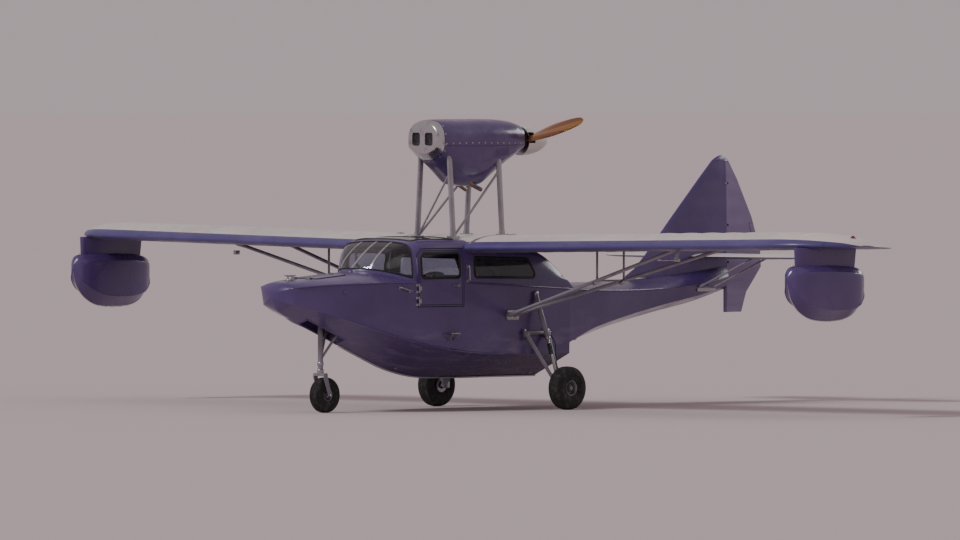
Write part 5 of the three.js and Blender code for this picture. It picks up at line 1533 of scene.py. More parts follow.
def panel_patches():
    """The nose over the whole span, the rear skins in two parts, and the aileron's bay between them."""
    patches = [(nose_skin(panel_x, -1, BAND_W, 40), indigo), *taped(nose_skin(panel_x, BAND_W, 1, 26), ivory)]
    for x in (inner_x, outer_x):
        patches += [*taped(rear_skin(x, 1), ivory), (rear_skin(x, -1), indigo), (trailing_edge(x), ivory)]
    walls = rear_wall(AIL_FROM - AIL_GAP, -1), rear_wall(AIL_TO + AIL_GAP, 1)
    return patches + numbered(indigo, trough(bay_x), *walls)


def root_face():
    """The closed end of the panel against the centre section."""
    w = np.linspace(-1, 1, 41)
    u = w * w
    points = np.where((w >= 0)[:, None], wing_skin(0 * w, u, 1), wing_skin(0 * w, u, -1))
    return points, [np.arange(41)[None, ::-1]]


def hinge_arm(x):
    """A forked plate from the trough to the pin, with a round eye, and the pin with its nut."""
    z = AIL_Z + x * DIHEDRAL
    angle = np.linspace(-math.pi / 2, math.pi / 2, 13)
    eye = np.column_stack([AIL_Y + 11 * np.cos(angle), z + 11 * np.sin(angle)])
    outline = np.concatenate([[(AIL_Y - 66, z - 22)], eye, [(AIL_Y - 66, z + 22)]])
    plate = prism(outline, "x", ROOT + x - 7, ROOT + x + 7)
    pin = turned([(-17, 0), (-17, 7.5), (-13, 7.5), (-13, 5), (13, 5), (13, 8), (17, 8), (17, 0)],
                 (ROOT + x, AIL_Y, z), (1, 0, 0), 16)
    return [(plate, 2), (pin, 2)]


AIL_HINGES = (2700.0, 3950.0)
SLOT_HALF, SLOT_BACK = 11.0, 24.0


def aileron_ring(x, nose=True, columns=16):
    """One closed section of the aileron: upper skin, blunt end, lower skin, and a round or flat nose."""
    first = AIL_Y + (14 if nose else SLOT_BACK)
    u = np.linspace((first - WING_FRONT) / CHORD, 1, columns)
    upper = wing_skin(np.full(columns, x), u, 1)
    lower = wing_skin(np.full(columns, x), u, -1)[::-1]
    z = AIL_Z + x * DIHEDRAL
    if nose:
        angle = np.linspace(1.5 * math.pi - 0.05, 0.5 * math.pi + 0.05, 15)
        front = np.column_stack([np.full(15, ROOT + x), AIL_Y + AIL_NOSE * np.cos(angle),
                                 z + AIL_NOSE * np.sin(angle)])
    else:
        low, high = lower[-1], upper[0]
        front = low + (high - low) * np.linspace(0.06, 0.94, 15)[:, None]
    return np.concatenate([upper, lower, front])


def aileron_patches():
    """The aileron in lengths: round-nosed ones, and short flat-nosed ones where a hinge arm reaches in."""
    cuts = [AIL_FROM, *(x + way * SLOT_HALF for x in AIL_HINGES for way in (-1, 1)), AIL_TO]
    patches = []
    for k, (start, end) in enumerate(zip(cuts[:-1], cuts[1:])):
        rings = np.stack([aileron_ring(x, k % 2 == 0) for x in span_stations(start + HAIR, end - HAIR)])
        points, faces = loft(rings)
        side_faces = faces[0]
        # Upper faces take the ivory; the rest takes the indigo, painted shade.
        upper_face = np.sort(side_faces % rings.shape[1], 1)[:, 0] < 15
        patches += [*taped((points, [side_faces[upper_face]]), ivory),
                    ((points, [side_faces[~upper_face], *faces[1:]]), indigo)]
    return patches


for name, turn in SIDES.items():
    arms = [item for x in AIL_HINGES for item in hinge_arm(x)]
    whole = [*panel_patches(), (root_face(), indigo), *arms]
    finishes = [wing_silver, wing_shade_indigo, stainless, wing_tape]
    piece(f"wing_{name}_skin", "airframe", whole, finishes, replaces=[f"wing_{name}"], turn=turn)
    piece(f"aileron_{name}_skin", f"{name}_aileron", aileron_patches(), finishes,
          replaces=[f"aileron_{name}"], turn=turn)

# %% [markdown]
# The centre section is flat across and skinned in plywood, so it has no ribs showing. Aluminium strips cover
# the joints with the panels, and the fuel tanks' fillers stand in them.

# %% Wing centre and its trim


def centre_ring(x):
    """The whole section at one x, from the lower trailing edge round the nose to the upper one."""
    w = np.linspace(-1, 1, 101)
    u = w * w
    camber, thick = foil_offsets(u)
    y = WING_FRONT + CHORD * u
    z = WING_HEIGHT - (y - WING_FRONT) * INCIDENCE + CHORD * (camber + np.sign(w) * thick)
    return np.stack([np.full_like(y, x), y, z], -1)


centre_x = np.linspace(-ROOT, ROOT, 21)
centre_rings = np.stack([centre_ring(x) for x in centre_x])
band_column = int(round((math.sqrt(BAND_SHARE) + 1) * 50))
# The nose band and the lower side take the indigo, painted shade; the top takes the ivory.
centre = [(grid(centre_rings[:, :band_column + 1], flip=True), indigo),
          (grid(centre_rings[:, band_column:], flip=True), ivory),
          (grid(centre_rings[:, [-1, 0]], flip=True), ivory)]
for end in (0, -1):
    outline = centre_rings[end]
    centre.append(((outline, [np.arange(101)[None, ::1 if end == 0 else -1]]), indigo))
piece("wing_center_skin", "airframe", centre, [wing_silver, wing_shade_indigo],
      replaces=["wing_center"])


def skin_strip(x, half, lift, u_values):
    """A thin strip laid fore and aft over the upper skin at span x of the panel."""
    rings = []
    for u in u_values:
        edge = [wing_skin(x + d, u, 1, False) + (0, 0, h) for d, h in
                ((-half, -1), (-half, lift - 0.6), (-half + 2, lift), (half - 2, lift), (half, lift - 0.6),
                 (half, -1))]
        rings.append(np.array(edge))
    return loft(rings)


def flush_cap(x, u, radius, lift, way=1):
    """A round cover on the skin: a disc with a soft edge, square to the surface."""
    at = wing_skin(np.array(x), np.array(u), way, False)
    ahead = wing_skin(np.array(x), np.array(u) + 0.01, way, False) - at
    across = wing_skin(np.array(x) + 10, np.array(u), way, False) - at
    normal = np.cross(across, ahead) * way
    return turned(stud(-4, lift - 1, lift, radius, radius - 2), at, normal, 32)


FILLER_X, FILLER_SHARE = 260.0, 0.27
filler = np.array(FILLER_X), np.array(FILLER_SHARE)
trim = [skin_strip(0.5, 30, 1.6, np.linspace(0.004, 0.995, 40)), flush_cap(*filler, 46, 3.0),
        flush_cap(*filler, 30, 9.0), turned(drum(8, 14, 5), wing_skin(*filler, 1, False), (0, 0, 1), 16)]
# Covers under the wing take the indigo, painted shade.
covers = [flush_cap(x, u, 52, 1.4, -1) for x in (900, 1800, 2650, 3600) for u in (0.18, 0.62)]
for name, turn in SIDES.items():
    piece(f"wing_{name}_covers", "airframe", [*trim, *numbered(1, *covers)],
          [bright_metal, wing_shade_indigo], turn=turn)


def nav_light(x, u):
    """A teardrop lamp on the tip: a low metal base and a coloured dome."""
    at = wing_skin(np.array(x), np.array(u), 1, False)
    base = turned(stud(-6, 3, 5, 24, 20), at, (0, 0, 1), 24)
    dome = turned([(3, 0), (3, 18), (12, 17), (20, 12), (24, 5), (25, 0)], at, (0, 0, 1), 24)
    for patch in (base, dome):
        patch[0][:, 1] = at[1] + (patch[0][:, 1] - at[1]) * 1.7
    return base, dome


for (name, turn), lens_colour in zip(SIDES.items(), (red_lens, green_lens)):
    base, dome = nav_light(PANEL - 120, 0.36)
    piece(f"tip_light_{name}", "airframe", [base, (dome, 1)], [stainless, lens_colour],
          turn=turn)

PITOT_X, PITOT_SHARE = 2900.0, 0.08
under = wing_skin(np.array(PITOT_X), np.array(PITOT_SHARE), -1, False)
oval = circle_points(16) * (5, 24)
mast = loft([np.column_stack([oval + under[:2] - (0, lean), np.full(16, z)])
             for z, lean in ((under[2] + 8, 0), (under[2] - 95, 38))])
head = turned([(0, 0), (0, 4), (4, 6.5), (60, 7.5), (250, 7.5), (262, 5), (262, 0)],
              (under[0], under[1] - 300, under[2] - 92), (0, 1, 0), 20)
piece("pitot_head", "airframe", [mast, (head, 1)], [strut_enamel, bright_metal])
print("wing pieces:", [n for n in pieces if n.startswith(("wing", "aileron", "tip", "pitot"))])

# %% [markdown]
# Streamlined tube: round tube pressed to a teardrop, 84 by 36 mm on the lift struts. Each end has a machined
# fork and a bolt, and a sheet cuff smooths it where it leaves the hull. Jury struts keep the long struts from
# bowing.

# %% Lift struts
STRUT_FOOT = np.array([556.0, -100.0, 640.0])
STRUT_TOP_X, STRUT_TOP_Z, STRUT_TOP_Y = 3200.0, 1290.0, (-400.0, 300.0)
STRUT_CHORD, STRUT_THICK = 84.0, 36.0
JURY_X, JURY_Y = 1950.0, (-277.0, 111.0)


def foil_half(u):
    """Half thickness of a symmetrical foil at a share u of its chord, for a thickness of 1."""
    return 1.4845 * np.sqrt(u) - 0.63 * u - 1.758 * u**2 + 1.4215 * u**3 - 0.5075 * u**4


def foil(chord, thick, count=14):
    """A closed symmetrical section, (along the chord, across it), nose first."""
    u = (1 - np.cos(np.linspace(0, math.pi, count))) / 2
    v = foil_half(u)
    upper = np.column_stack([(u - 0.5) * chord, v * thick])
    lower = np.column_stack([(u[-2:0:-1] - 0.5) * chord, -v[-2:0:-1] * thick])
    return np.concatenate([upper, lower])


def spanwise_foil(start, end, chord, thick, grow=(0.0, 0.0), steps=2):
    """A faired strut whose sections stand square to x, their chord along y."""
    rings = []
    for t in np.linspace(0, 1, steps):
        at = np.asarray(start, float) + (np.asarray(end, float) - start) * t
        extra = grow[0] + (grow[1] - grow[0]) * t
        f = foil(chord + 2 * extra, thick + 2 * extra)
        rings.append(np.column_stack([np.full(len(f), at[0]), at[1] + f[:, 0], at[2] + f[:, 1]]))
    return loft(rings)


def upright_foil(start, end, chord, thick, steps=2):
    """The same standing up: sections square to z; chord and thick may be a pair, foot and top."""
    chord, thick = (np.broadcast_to(np.asarray(v, float), 2) for v in (chord, thick))
    rings = []
    for t in np.linspace(0, 1, steps):
        at = np.asarray(start, float) + (np.asarray(end, float) - start) * t
        f = foil(*(v[0] + (v[1] - v[0]) * t for v in (chord, thick)), 20)
        rings.append(np.column_stack([at[0] + f[:, 1], at[1] + f[:, 0], np.full(len(f), at[2])]))
    return loft(rings)


def bolt(at, axis, radius=7.0, reach=16.0):
    """A hexagon head with its washer on one side and a nut on the other."""
    head = turned(stud(reach, reach + 5, reach + 6.5, radius * 1.5, radius), at, axis, 6)
    washer = turned(drum(reach - 2, reach, radius * 2), at, axis, 20)
    nut = turned(drum(-reach - 6, -reach, radius * 1.5), at, axis, 6)
    return join(head, washer, nut)


def strut_ends(side_y):
    """Start and end of one lift strut, on the hull plate and under its spar."""
    way = -30 if side_y < 0 else 30
    top = np.array([STRUT_TOP_X, side_y, STRUT_TOP_Z + (STRUT_TOP_X - ROOT) * DIHEDRAL + 8])
    return STRUT_FOOT + (-30, way, -8), top


def strut_patches():
    """Both lift struts with cuffs and bolts, their plate on the hull, jury struts and the tie-down pad."""
    grey, metal = 0, 1
    section = STRUT_CHORD, STRUT_THICK
    patches = []
    for y in STRUT_TOP_Y:
        start, end = strut_ends(y)
        share = lambda t: start + (end - start) * t
        patches += numbered(grey, spanwise_foil(start, share(0.9965), *section, steps=12),
                            spanwise_foil(share(0.014), share(0.075), *section, (7, 1.2), 5),
                            spanwise_foil(share(0.955), share(0.99), *section, (1.2, 5), 4))
        foot = share(0.978)
        patches += numbered(metal, block(foot + (-46, -15, 6), foot + (40, 15, 74)),
                            bolt(foot + (0, 0, 40), (0, 1, 0)))
    plate = rounded(-190, 590, -10, 690, 22)
    x = STRUT_FOOT[0]
    patches += numbered(metal, prism(plate, "x", x - 38, x + 8),
                        prism(offset(plate, -9), "x", x + 7, x + 13.5))
    patches += numbered(metal, *(turned(stud(0, 4, 5, 9, 6), (x + 8, y, z), (1, 0, 0), 6)
                                 for y in (-172, -28) for z in (608, 672)))
    for y in JURY_Y:
        patches.append((upright_foil((JURY_X, y, 1003), (JURY_X, y, 1352), 30, 16), grey))
        sleeve = spanwise_foil((JURY_X - 26, y, 985), (JURY_X + 26, y, 999), STRUT_CHORD + 5, STRUT_THICK + 5)
        patches += numbered(metal, sleeve, bolt((JURY_X, y, 1340), (0, 1, 0), 4, 10))
    patches.append((rod((JURY_X, JURY_Y[0], 1012), (JURY_X, JURY_Y[1], 1012), 10), grey))
    y, z = STRUT_TOP_Y[0], STRUT_TOP_Z
    tie_down = block((STRUT_TOP_X - 19, y - 29, z - 68), (STRUT_TOP_X + 19, y + 29, z - 26))
    return [*patches, (tie_down, metal)]


for name, turn in SIDES.items():
    piece(f"wing_struts_{name}_faired", "airframe", strut_patches(), [strut_enamel, stainless],
          replaces=[f"wing_struts_{name}"], bevel=1.6, turn=turn)

# %% [markdown]
# Tip floats: plywood boxes with a V bottom, a hard chine and a rounded deck. Ahead and astern they close to a
# button of a few centimetres. Their pylons are deep foils that hang from the wing's tip.

# %% Tip floats
FLOAT_X = 5190.0
FLOAT_ROUND = 52.0
# columns: s, half breadth, keel, chine, edge, crown
TIP_FLOAT = np.array([
    [-870, 24, 1010, 1030, 1110, 1140], [-810, 84, 868, 930, 1140, 1192], [-690, 134, 745, 836, 1150, 1210],
    [-500, 158, 668, 774, 1152, 1214], [-150, 156, 656, 766, 1146, 1208], [70, 124, 712, 806, 1130, 1190],
    [190, 62, 836, 890, 1104, 1150], [230, 24, 950, 972, 1060, 1096]], float)
float_t = np.linspace(0, 1, 57)
float_s = TIP_FLOAT[0, 0] + (TIP_FLOAT[-1, 0] - TIP_FLOAT[0, 0]) * (1 - np.cos(float_t * math.pi)) / 2


def float_half(row):
    """Half a section: straight bottom, then a curve up the side and over the deck."""
    _, half, keel, chine, edge, crown = row
    bottom = np.column_stack([np.linspace(0, 0.94 * half, 7)[:-1], np.linspace(keel, chine, 7)[:-1]])
    upper = smooth_curve([(0.94 * half, chine), (half, edge - 40), (0.86 * half, edge),
                          (0.5 * half, crown - 10), (0, crown)], 6)
    return np.concatenate([bottom, upper])


def float_rings():
    """The port float's outlines, drawn in at both ends as a super-ellipse of power 2.2."""
    rings = []
    for s, row in zip(float_s, hermite(TIP_FLOAT, float_s)):
        section = float_half(row)
        middle = (row[2] + row[5]) / 2
        for end in (TIP_FLOAT[0, 0], TIP_FLOAT[-1, 0]):
            t = np.clip(abs(s - end) / FLOAT_ROUND, 0.0, 1)
            k = max((1 - (1 - t) ** 2.2) ** (1 / 2.2), 0.12)
            section = np.column_stack([section[:, 0] * k, middle + (section[:, 1] - middle) * k])
        other = section[-2:0:-1] * (-1, 1)
        outline = np.concatenate([section, other])
        rings.append(np.column_stack([FLOAT_X + outline[:, 0], np.full(len(outline), s), outline[:, 1]]))
    return np.stack(rings)


def float_strakes(rings):
    """A rounded rub strake along each chine, and a metal shoe on the keel, all thinning out at their ends."""
    chine = rings[1:-1, 6]
    mirrored = chine * (-1, 1, 1) + (2 * FLOAT_X, 0, 0)
    keel = rings[3:-3, 0] + (0, 0, -1.0)
    ends = [np.minimum(np.arange(n), np.arange(n)[::-1]) / 6 + 0.25 for n in (len(chine), len(keel))]
    strake, shoe = (np.clip(end, 0, 1) * radius for end, radius in zip(ends, (5.5, 6.0)))
    return [tube(chine, strake, 8), tube(mirrored, strake, 8)], tube(keel, shoe, 8)


rings = float_rings()
strakes, shoe = float_strakes(rings)
for name, turn in SIDES.items():
    body_patch = loft(rings)
    piece(f"tip_float_{name}_skin", "airframe", [body_patch, *strakes, (shoe, 1)],
          [float_enamel, bright_metal], replaces=[f"tip_float_{name}"], turn=turn)
    pylon = upright_foil((FLOAT_X, -320, 1168), (FLOAT_X, -310.5, 1389), (860, 897), (92, 107), 8)
    cap = turned(stud(-1, 2, 3, 20, 17), (FLOAT_X, -790, 1211), (0, 0, 1), 24)
    piece(f"float_pylon_{name}_skin", "airframe", [pylon, (cap, 1)], [float_enamel, stainless],
          replaces=[f"float_pylon_{name}"], bevel=2.5, turn=turn)
print("struts and floats:", [n for n in pieces if n.startswith(("wing_struts", "tip_float", "float"))])

# %% [markdown]
# The engine stands on four faired legs above the wing, on two bearers under its crankcase. The cowling is
# rolled sheet in two pieces over a deep belly, with a polished bowl in front, two cooling intakes, a split
# line with quarter-turn fasteners, and louvres that let the hot air out. The whole is one surface: a section
# curve through seven points carried along the stations.

# %% Engine frame
ENGINE_HEIGHT = 2420.0
LEG_X, LEG_TOP_X, LEG_Y, LEG_TOP_Z = 260.0, 205.0, (-660.0, 50.0), 2290.0
LEG_LOW, LEG_CHORD, LEG_THICK = 1440.0, 74.0, 34.0
BEARER_X, BEARER_TOP = 150.0, 2299.7


def leg_foot(side, y):
    """A welded foot plate with a socket and four bolts, seated on the wing or the roof behind it."""
    top = 1455 if y < -300 else 1470
    x = side * LEG_X
    outline = rounded(x - 44, y - 59, x + 44, y + 59, 14, 5, 3)
    plate = prism(outline, "z", 1392, top - 4)
    socket = upright_foil((x, y, top - 6), (x - side * 2, y, top + 34), (LEG_CHORD + 16, LEG_CHORD + 8),
                          (LEG_THICK + 16, LEG_THICK + 8), 3)
    bolts = [turned(stud(0, 5, 6, 8, 5), (x + dx, y + dy, top - 5), (0, 0, 1), 6)
             for dx in (-33, 33) for dy in (-46, 46)]
    return [(plate, 1), socket, *numbered(1, *bolts)]


def frame_parts():
    """Four legs with their feet, two bearers, a diagonal on each side, two cross tubes, a front diagonal."""
    patches = []
    for side in (1, -1):
        for y in LEG_Y:
            low, high = (side * LEG_X, y, LEG_LOW), (side * LEG_TOP_X, y, LEG_TOP_Z)
            patches += [upright_foil(low, high, LEG_CHORD, LEG_THICK, 6), *leg_foot(side, y)]
        x = side * BEARER_X
        bearer = rounded(x - 22, BEARER_TOP - 39.7, x + 22, BEARER_TOP, 5, 4, 2)
        patches += [prism(bearer, "y", -700, 120), rod((side * (LEG_X - 2), LEG_Y[0], LEG_LOW),
                                                       (side * (LEG_X - 46), LEG_Y[1], 2120), 13)]
    z = BEARER_TOP - 22
    patches += [rod((-LEG_TOP_X, y, z), (LEG_TOP_X, y, z), 15) for y in LEG_Y]
    return [*patches, rod((-LEG_X, LEG_Y[0], LEG_LOW), (LEG_X - 44, LEG_Y[0], 2110), 11)]


piece("engine_frame_tubes", "airframe", frame_parts(), [strut_enamel, stainless],
      replaces=["engine_frame"])

# %% Cowling and nose bowl
COWL_WALL, NOSE_SPLIT = 6.0, -770.0
INTAKE_X, INTAKE_HALF, INTAKE_LOW, INTAKE_HIGH = 92.0, 56.0, -42.0, 92.0
EXIT_RADIUS = 108.0
MESH_PITCH, WIRE = 14.0, 1.3
SHEET_CREASE = math.radians(40)
# columns: s, size, roof, belly
COWL = np.array([
    [-850, 0.8, 186, 118], [-815, 0.91, 210, 150], [-740, 0.975, 224, 214], [-600, 1, 230, 326],
    [-450, 1, 230, 432], [-110, 1, 230, 436], [50, 0.98, 228, 350], [180, 0.94, 222, 270],
    [330, 0.85, 208, 190], [470, 0.66, 176, 128]], float)
COWL_FRONT, COWL_BACK = COWL[0, 0], COWL[-1, 0]
FACE_EDGE = COWL_FRONT + 6
COWL_COLUMNS = 12


def cowl_section(s):
    """A closed outline at one station, from the belly up the port side, over the roof and down again."""
    _, size, roof, belly = hermite(COWL, s)[0]
    lower = [(96 * size, 10 - belly), (222 * size, -0.56 * belly), (254 * size, -30)]
    upper = [(242 * size, 0.5 * roof), (160 * size, roof - 26), (0, roof)]
    half_line = [(0, -belly), *lower, *upper]
    whole = half_line + [(-x, z) for x, z in half_line[-2:0:-1]]
    curve = smooth_curve(whole, COWL_COLUMNS, closed=True)
    return np.column_stack([curve[:, 0], np.full(len(curve), s), ENGINE_HEIGHT + curve[:, 1]])


def cowl_stations(start, end, count):
    """Even stations, with the table's own rows between them."""
    s = np.linspace(start, end, count)
    return np.unique(np.concatenate([s, [c for c in COWL[:, 0] if start < c < end]]))


def intake_outline():
    """One intake: a box with round corners, as (x, height above the shaft)."""
    return rounded(INTAKE_X - INTAKE_HALF, INTAKE_LOW, INTAKE_X + INTAKE_HALF, INTAKE_HIGH, 26, 8, 10)


def front_face():
    """The bowl's face, pierced by both intakes, as rings from each half of the rim to its own hole."""
    rim = cowl_section(FACE_EDGE)
    half_count = len(rim) // 2
    patches = []
    hole = intake_outline()
    halves = (1, rim[:half_count + 1]), (-1, np.concatenate([rim[half_count:], rim[:1]]))
    for side, edge in halves:
        edge = edge[:, [0, 2]] - (0, ENGINE_HEIGHT)
        middle = np.column_stack([np.zeros(20), np.linspace(edge[-1, 1], edge[0, 1], 22)[1:-1]])
        outer = np.concatenate([edge, middle])
        inner = hole * (side, 1)
        centre_point = np.array([side * INTAKE_X, (INTAKE_LOW + INTAKE_HIGH) / 2])
        angle_of = lambda p: np.arctan2(*(p - centre_point).T[::-1])
        order = np.argsort(angle_of(inner))
        a, ring = angle_of(inner)[order], inner[order]
        want = angle_of(outer)
        reach = np.interp(want, np.concatenate([a - 2 * math.pi, a, a + 2 * math.pi]),
                          np.tile(np.linalg.norm(ring - centre_point, axis=1), 3))
        target = centre_point + reach[:, None] * np.column_stack([np.cos(want), np.sin(want)])
        t = np.linspace(0, 1, 9)[:, None, None]
        flat = outer[None] + (target - outer)[None] * t
        bulge = -5.0 * np.sin(np.linspace(0, math.pi / 2, 9))[:, None] * np.ones(len(outer))
        face = np.stack([flat[..., 0], FACE_EDGE + bulge, ENGINE_HEIGHT + flat[..., 1]], -1)
        lip = np.stack([np.column_stack([target[:, 0], np.full(len(target), COWL_FRONT + deep),
                                         ENGINE_HEIGHT + target[:, 1]]) for deep in (1, 4, 12, 30, 62)])
        patches.append(grid(np.concatenate([face, lip[1:]]), wrap=True, flip=True))
    return patches


def bowl():
    """Side of the nose bowl: from its split line forward, tucked in at the front edge."""
    s = cowl_stations(FACE_EDGE, NOSE_SPLIT, 12)
    return grid(np.stack([cowl_section(v) for v in s]), wrap=True)


piece("nose_bowl_skin", "airframe", [bowl(), *front_face()], bright_metal,
      replaces=["nose_bowl"], wall=2.0, crease=SHEET_CREASE)


def intake_mesh():
    """Wire screen just inside each intake: round bars both ways, one pitch apart."""
    near, far = INTAKE_X - INTAKE_HALF, INTAKE_X + INTAKE_HALF
    low, high = ENGINE_HEIGHT + INTAKE_LOW, ENGINE_HEIGHT + INTAKE_HIGH
    front, back = COWL_FRONT + 34, COWL_FRONT + 36
    bars = []
    for side in (1, -1):
        for x in np.arange(near + 8, far, MESH_PITCH):
            bars.append(rod((side * x, front, low), (side * x, front, high), WIRE, 6))
        for z in np.arange(low + 8, high, MESH_PITCH):
            bars.append(rod((side * near, back, z), (side * far, back, z), WIRE, 6))
    return bars


piece("intake_screens", "airframe", intake_mesh(), stainless)

cowl_s = cowl_stations(NOSE_SPLIT + 0.6, COWL_BACK, 60)
cowl_rings = np.stack([cowl_section(v) for v in cowl_s[::-1]])
back_rim = cowl_section(COWL_BACK)
back_centre = np.array([0, COWL_BACK, ENGINE_HEIGHT + 10])
back_angle = np.arctan2(back_rim[:, 2] - back_centre[2], back_rim[:, 0])
back_way = np.column_stack([np.cos(back_angle), 0 * back_angle, np.sin(back_angle)])
back_hole = back_centre + EXIT_RADIUS * back_way
back_inside = np.minimum(1.0, 0.97 * np.hypot(back_rim[:, 0], back_rim[:, 2] - back_centre[2]) / EXIT_RADIUS)
back_hole = back_centre + (back_hole - back_centre) * back_inside[:, None]
back_hole_in = back_hole - (0, 26, 0)
cowl_shell = grid(np.concatenate([[back_hole_in, back_hole], cowl_rings]), wrap=True, flip=True)
# The cowling's inside is near black: painted shade.
piece("cowling_skin", "airframe", cowl_shell, cowl_paint, replaces=["cowling"], wall=COWL_WALL,
      inner=shade_black, crease=SHEET_CREASE)


def on_cowl(s, column, lift=0.0):
    """A point of the cowling at a station and a place round its section, lifted off along the normal."""
    ring, ahead = cowl_section(s), cowl_section(s + 4)
    i = int(column) % len(ring)
    here, beside, fore = ring[i], ring[(i + 1) % len(ring)], ahead[i]
    normal = np.cross(beside - here, fore - here)
    normal /= np.linalg.norm(normal)
    if normal @ (here - (0, here[1], ENGINE_HEIGHT - 60)) < 0:
        normal = -normal
    return here + normal * lift, normal


def louvre(s, column, length=92.0, height=13.0):
    """A pressed louvre: a half-round hood that rises out of the sheet towards the rear."""
    at, normal = on_cowl(s, column)
    along = np.cross(normal, (0, 1, 0))
    along /= np.linalg.norm(along)
    aft = np.cross(along, normal)
    aft *= np.sign(aft[1])
    rings = []
    for t in np.linspace(-1, 1, 13):
        rise = height * math.sqrt(max(1 - t * t, 0.0)) + 0.4
        edge = at + along * (t * length / 2)
        hood = ((-15, -3), (-10, rise * 0.45), (0, rise), (2, rise - 1.2), (2, -3))
        rings.append(np.array([edge + aft * a + normal * n for a, n in hood]))
    return loft(rings)


def fastener(s, column):
    """A quarter-turn stud: a low dome with its cup."""
    at, normal = on_cowl(s, column)
    return turned([(-2, 0), (-2, 9), (1.2, 9), (1.8, 7), (1.8, 5.5), (3.2, 4), (3.6, 0)], at, normal, 16)


WHOLE = 12 * COWL_COLUMNS
louvres = [louvre(s, c) for s in np.arange(-40, 190, 34) for c in (30, WHOLE - 30)]
belt = [fastener(s, c) for s in np.arange(NOSE_SPLIT + 26, 440, 92) for c in (37, WHOLE - 37)]
ring_studs = [fastener(NOSE_SPLIT + 16, c) for c in range(0, WHOLE, 9)]
seam_line = [np.array([on_cowl(s, c, 0.6)[0] for s in np.linspace(NOSE_SPLIT + 4, COWL_BACK - 4, 40)])
             for c in (35, WHOLE - 35)]
nose_seam = np.array([on_cowl(NOSE_SPLIT + 2, c, 0.4)[0] for c in range(WHOLE)])
nose_seam = np.concatenate([nose_seam, nose_seam[:2]])
seams = [tube(line, 1.5, 6) for line in (*seam_line, nose_seam)]
piece("cowling_trim", "airframe",
      [*louvres, *numbered(1, *belt, *ring_studs), *numbered(2, *seams)],
      [cowl_paint, stainless, shade_black])

# %% [markdown]
# Exhausts leave the belly and turn aft and outward. The pipe is thin stainless with a rolled end, so its
# mouth is open.

# %% Exhausts and engine block


def pipe(path, radius, wall):
    """An open tube: outside, rolled lip, and a stretch of its inside."""
    path = np.asarray(path, float)
    tangents = np.gradient(path, axis=0)
    ring = circle_points(24)
    rings = []
    inner_path = path[:-6:-1]
    for point, tangent, r in [*zip(path, tangents, [radius] * len(path)),
                              *zip(inner_path, tangents[:-6:-1], [radius - wall] * len(inner_path))]:
        first, second = basis(tangent, (0, 1, 0))
        rings.append(point + r * (ring[:, :1] * first + ring[:, 1:] * second))
    return loft(rings)


EXHAUST_TOP = ENGINE_HEIGHT - 120.3
exhaust_path = smooth_curve([(92, -310, EXHAUST_TOP), (92, -310, 2150), (92, -309, 2052), (95, -262, 1992),
                             (103, -190, 1957), (112, -110, 1922)], 7)
clamps = [tube(exhaust_path[i:i + 3:2], 24.2, 24) for i in (4, 12)]
for name, turn in SIDES.items():
    piece(f"exhaust_{name}_pipe", "airframe",
          [pipe(exhaust_path, 22.5, 2.0), *numbered(1, *clamps)], [heat_steel, stainless],
          replaces=[f"exhaust_{name}"], turn=turn)


def engine_parts():
    """What the intakes and the rear opening show: crankcase, finned cylinders, shaft and flange."""
    z = ENGINE_HEIGHT
    case = rounded(-118, z - 118, 118, z + 96, 30, 6, 4)
    parts = [prism(case, "y", -598, 198)]
    for side in (1, -1):
        for y in (-440, -180):
            profile = [(0, 0), (0, 44)]
            for k in range(12):
                at = 6 + k * 8
                profile += [(at, 44), (at, 64), (at + 3, 64), (at + 3, 44)]
            profile += [(108, 44), (108, 0)]
            parts.append(turned(profile, (side * 112, y, z), (side, 0, 0), 28))
        for y in (-520, 60):
            x = side * BEARER_X
            parts.append(block((x - 29, y - 39, BEARER_TOP + 0.4), (x + 29, y + 39, BEARER_TOP + 60)))
    shaft = [(190, 0), (190, 41), (300, 41), (310, 36), (532, 36), (533, 74), (554.4, 74), (554.4, 0)]
    return [*parts, turned(shaft, (0, 0, z), (0, 1, 0), 32)]


piece("engine_castings", "airframe", engine_parts(), cast_metal, replaces=["engine"],
      bevel=1.5)
print("engine pieces:", [n for n in pieces if n.startswith(("engine", "cowl", "exhaust", "intake"))])

# %% [markdown]
# The propeller is carved from a laminated plank: at each radius a foil section, wide and steep near the hub,
# thin and flat at the tip. The last third of each leading edge wears brass, riveted on. It rests 14 degrees
# from level, and the pusher's spinner points aft, slotted for the blades.

# %% Propeller
PROP_Y, PROP_RADIUS, HUB_RADIUS, HUB_DEPTH = 600.0, 915.0, 74.0, 90.0
# columns: radius, chord, thickness, pitch in degrees
BLADE = np.array([[60, 84, 50, 52], [200, 120, 34, 40], [420, 142, 22, 26], [680, 122, 13, 18],
                  [850, 84, 8, 14.5], [PROP_RADIUS, 34, 4, 13]], float)
TIPPING_FROM, TIP_FROM = 560.0, 880.0
turn_rest = np.array([[math.cos(PROP_REST), 0, -math.sin(PROP_REST)], [0, 1, 0],
                      [math.sin(PROP_REST), 0, math.cos(PROP_REST)]])
PROP_AT = np.array([0, PROP_Y, ENGINE_HEIGHT])


def blade_section(row, grow=0.0, keep=None):
    """The foil at one radius, turned to its pitch; keep takes only the nose, for the brass."""
    r, chord, thick, pitch = row
    f = foil(chord + 2 * grow, thick + 2 * grow, 18)
    if keep is not None:
        limit = -chord / 2 + keep
        f[:, 0] = np.minimum(f[:, 0], limit)
    c, d = math.cos(math.radians(pitch)), math.sin(math.radians(pitch))
    return np.column_stack([np.full(len(f), r), f[:, 0] * d + f[:, 1] * c, f[:, 0] * c - f[:, 1] * d])


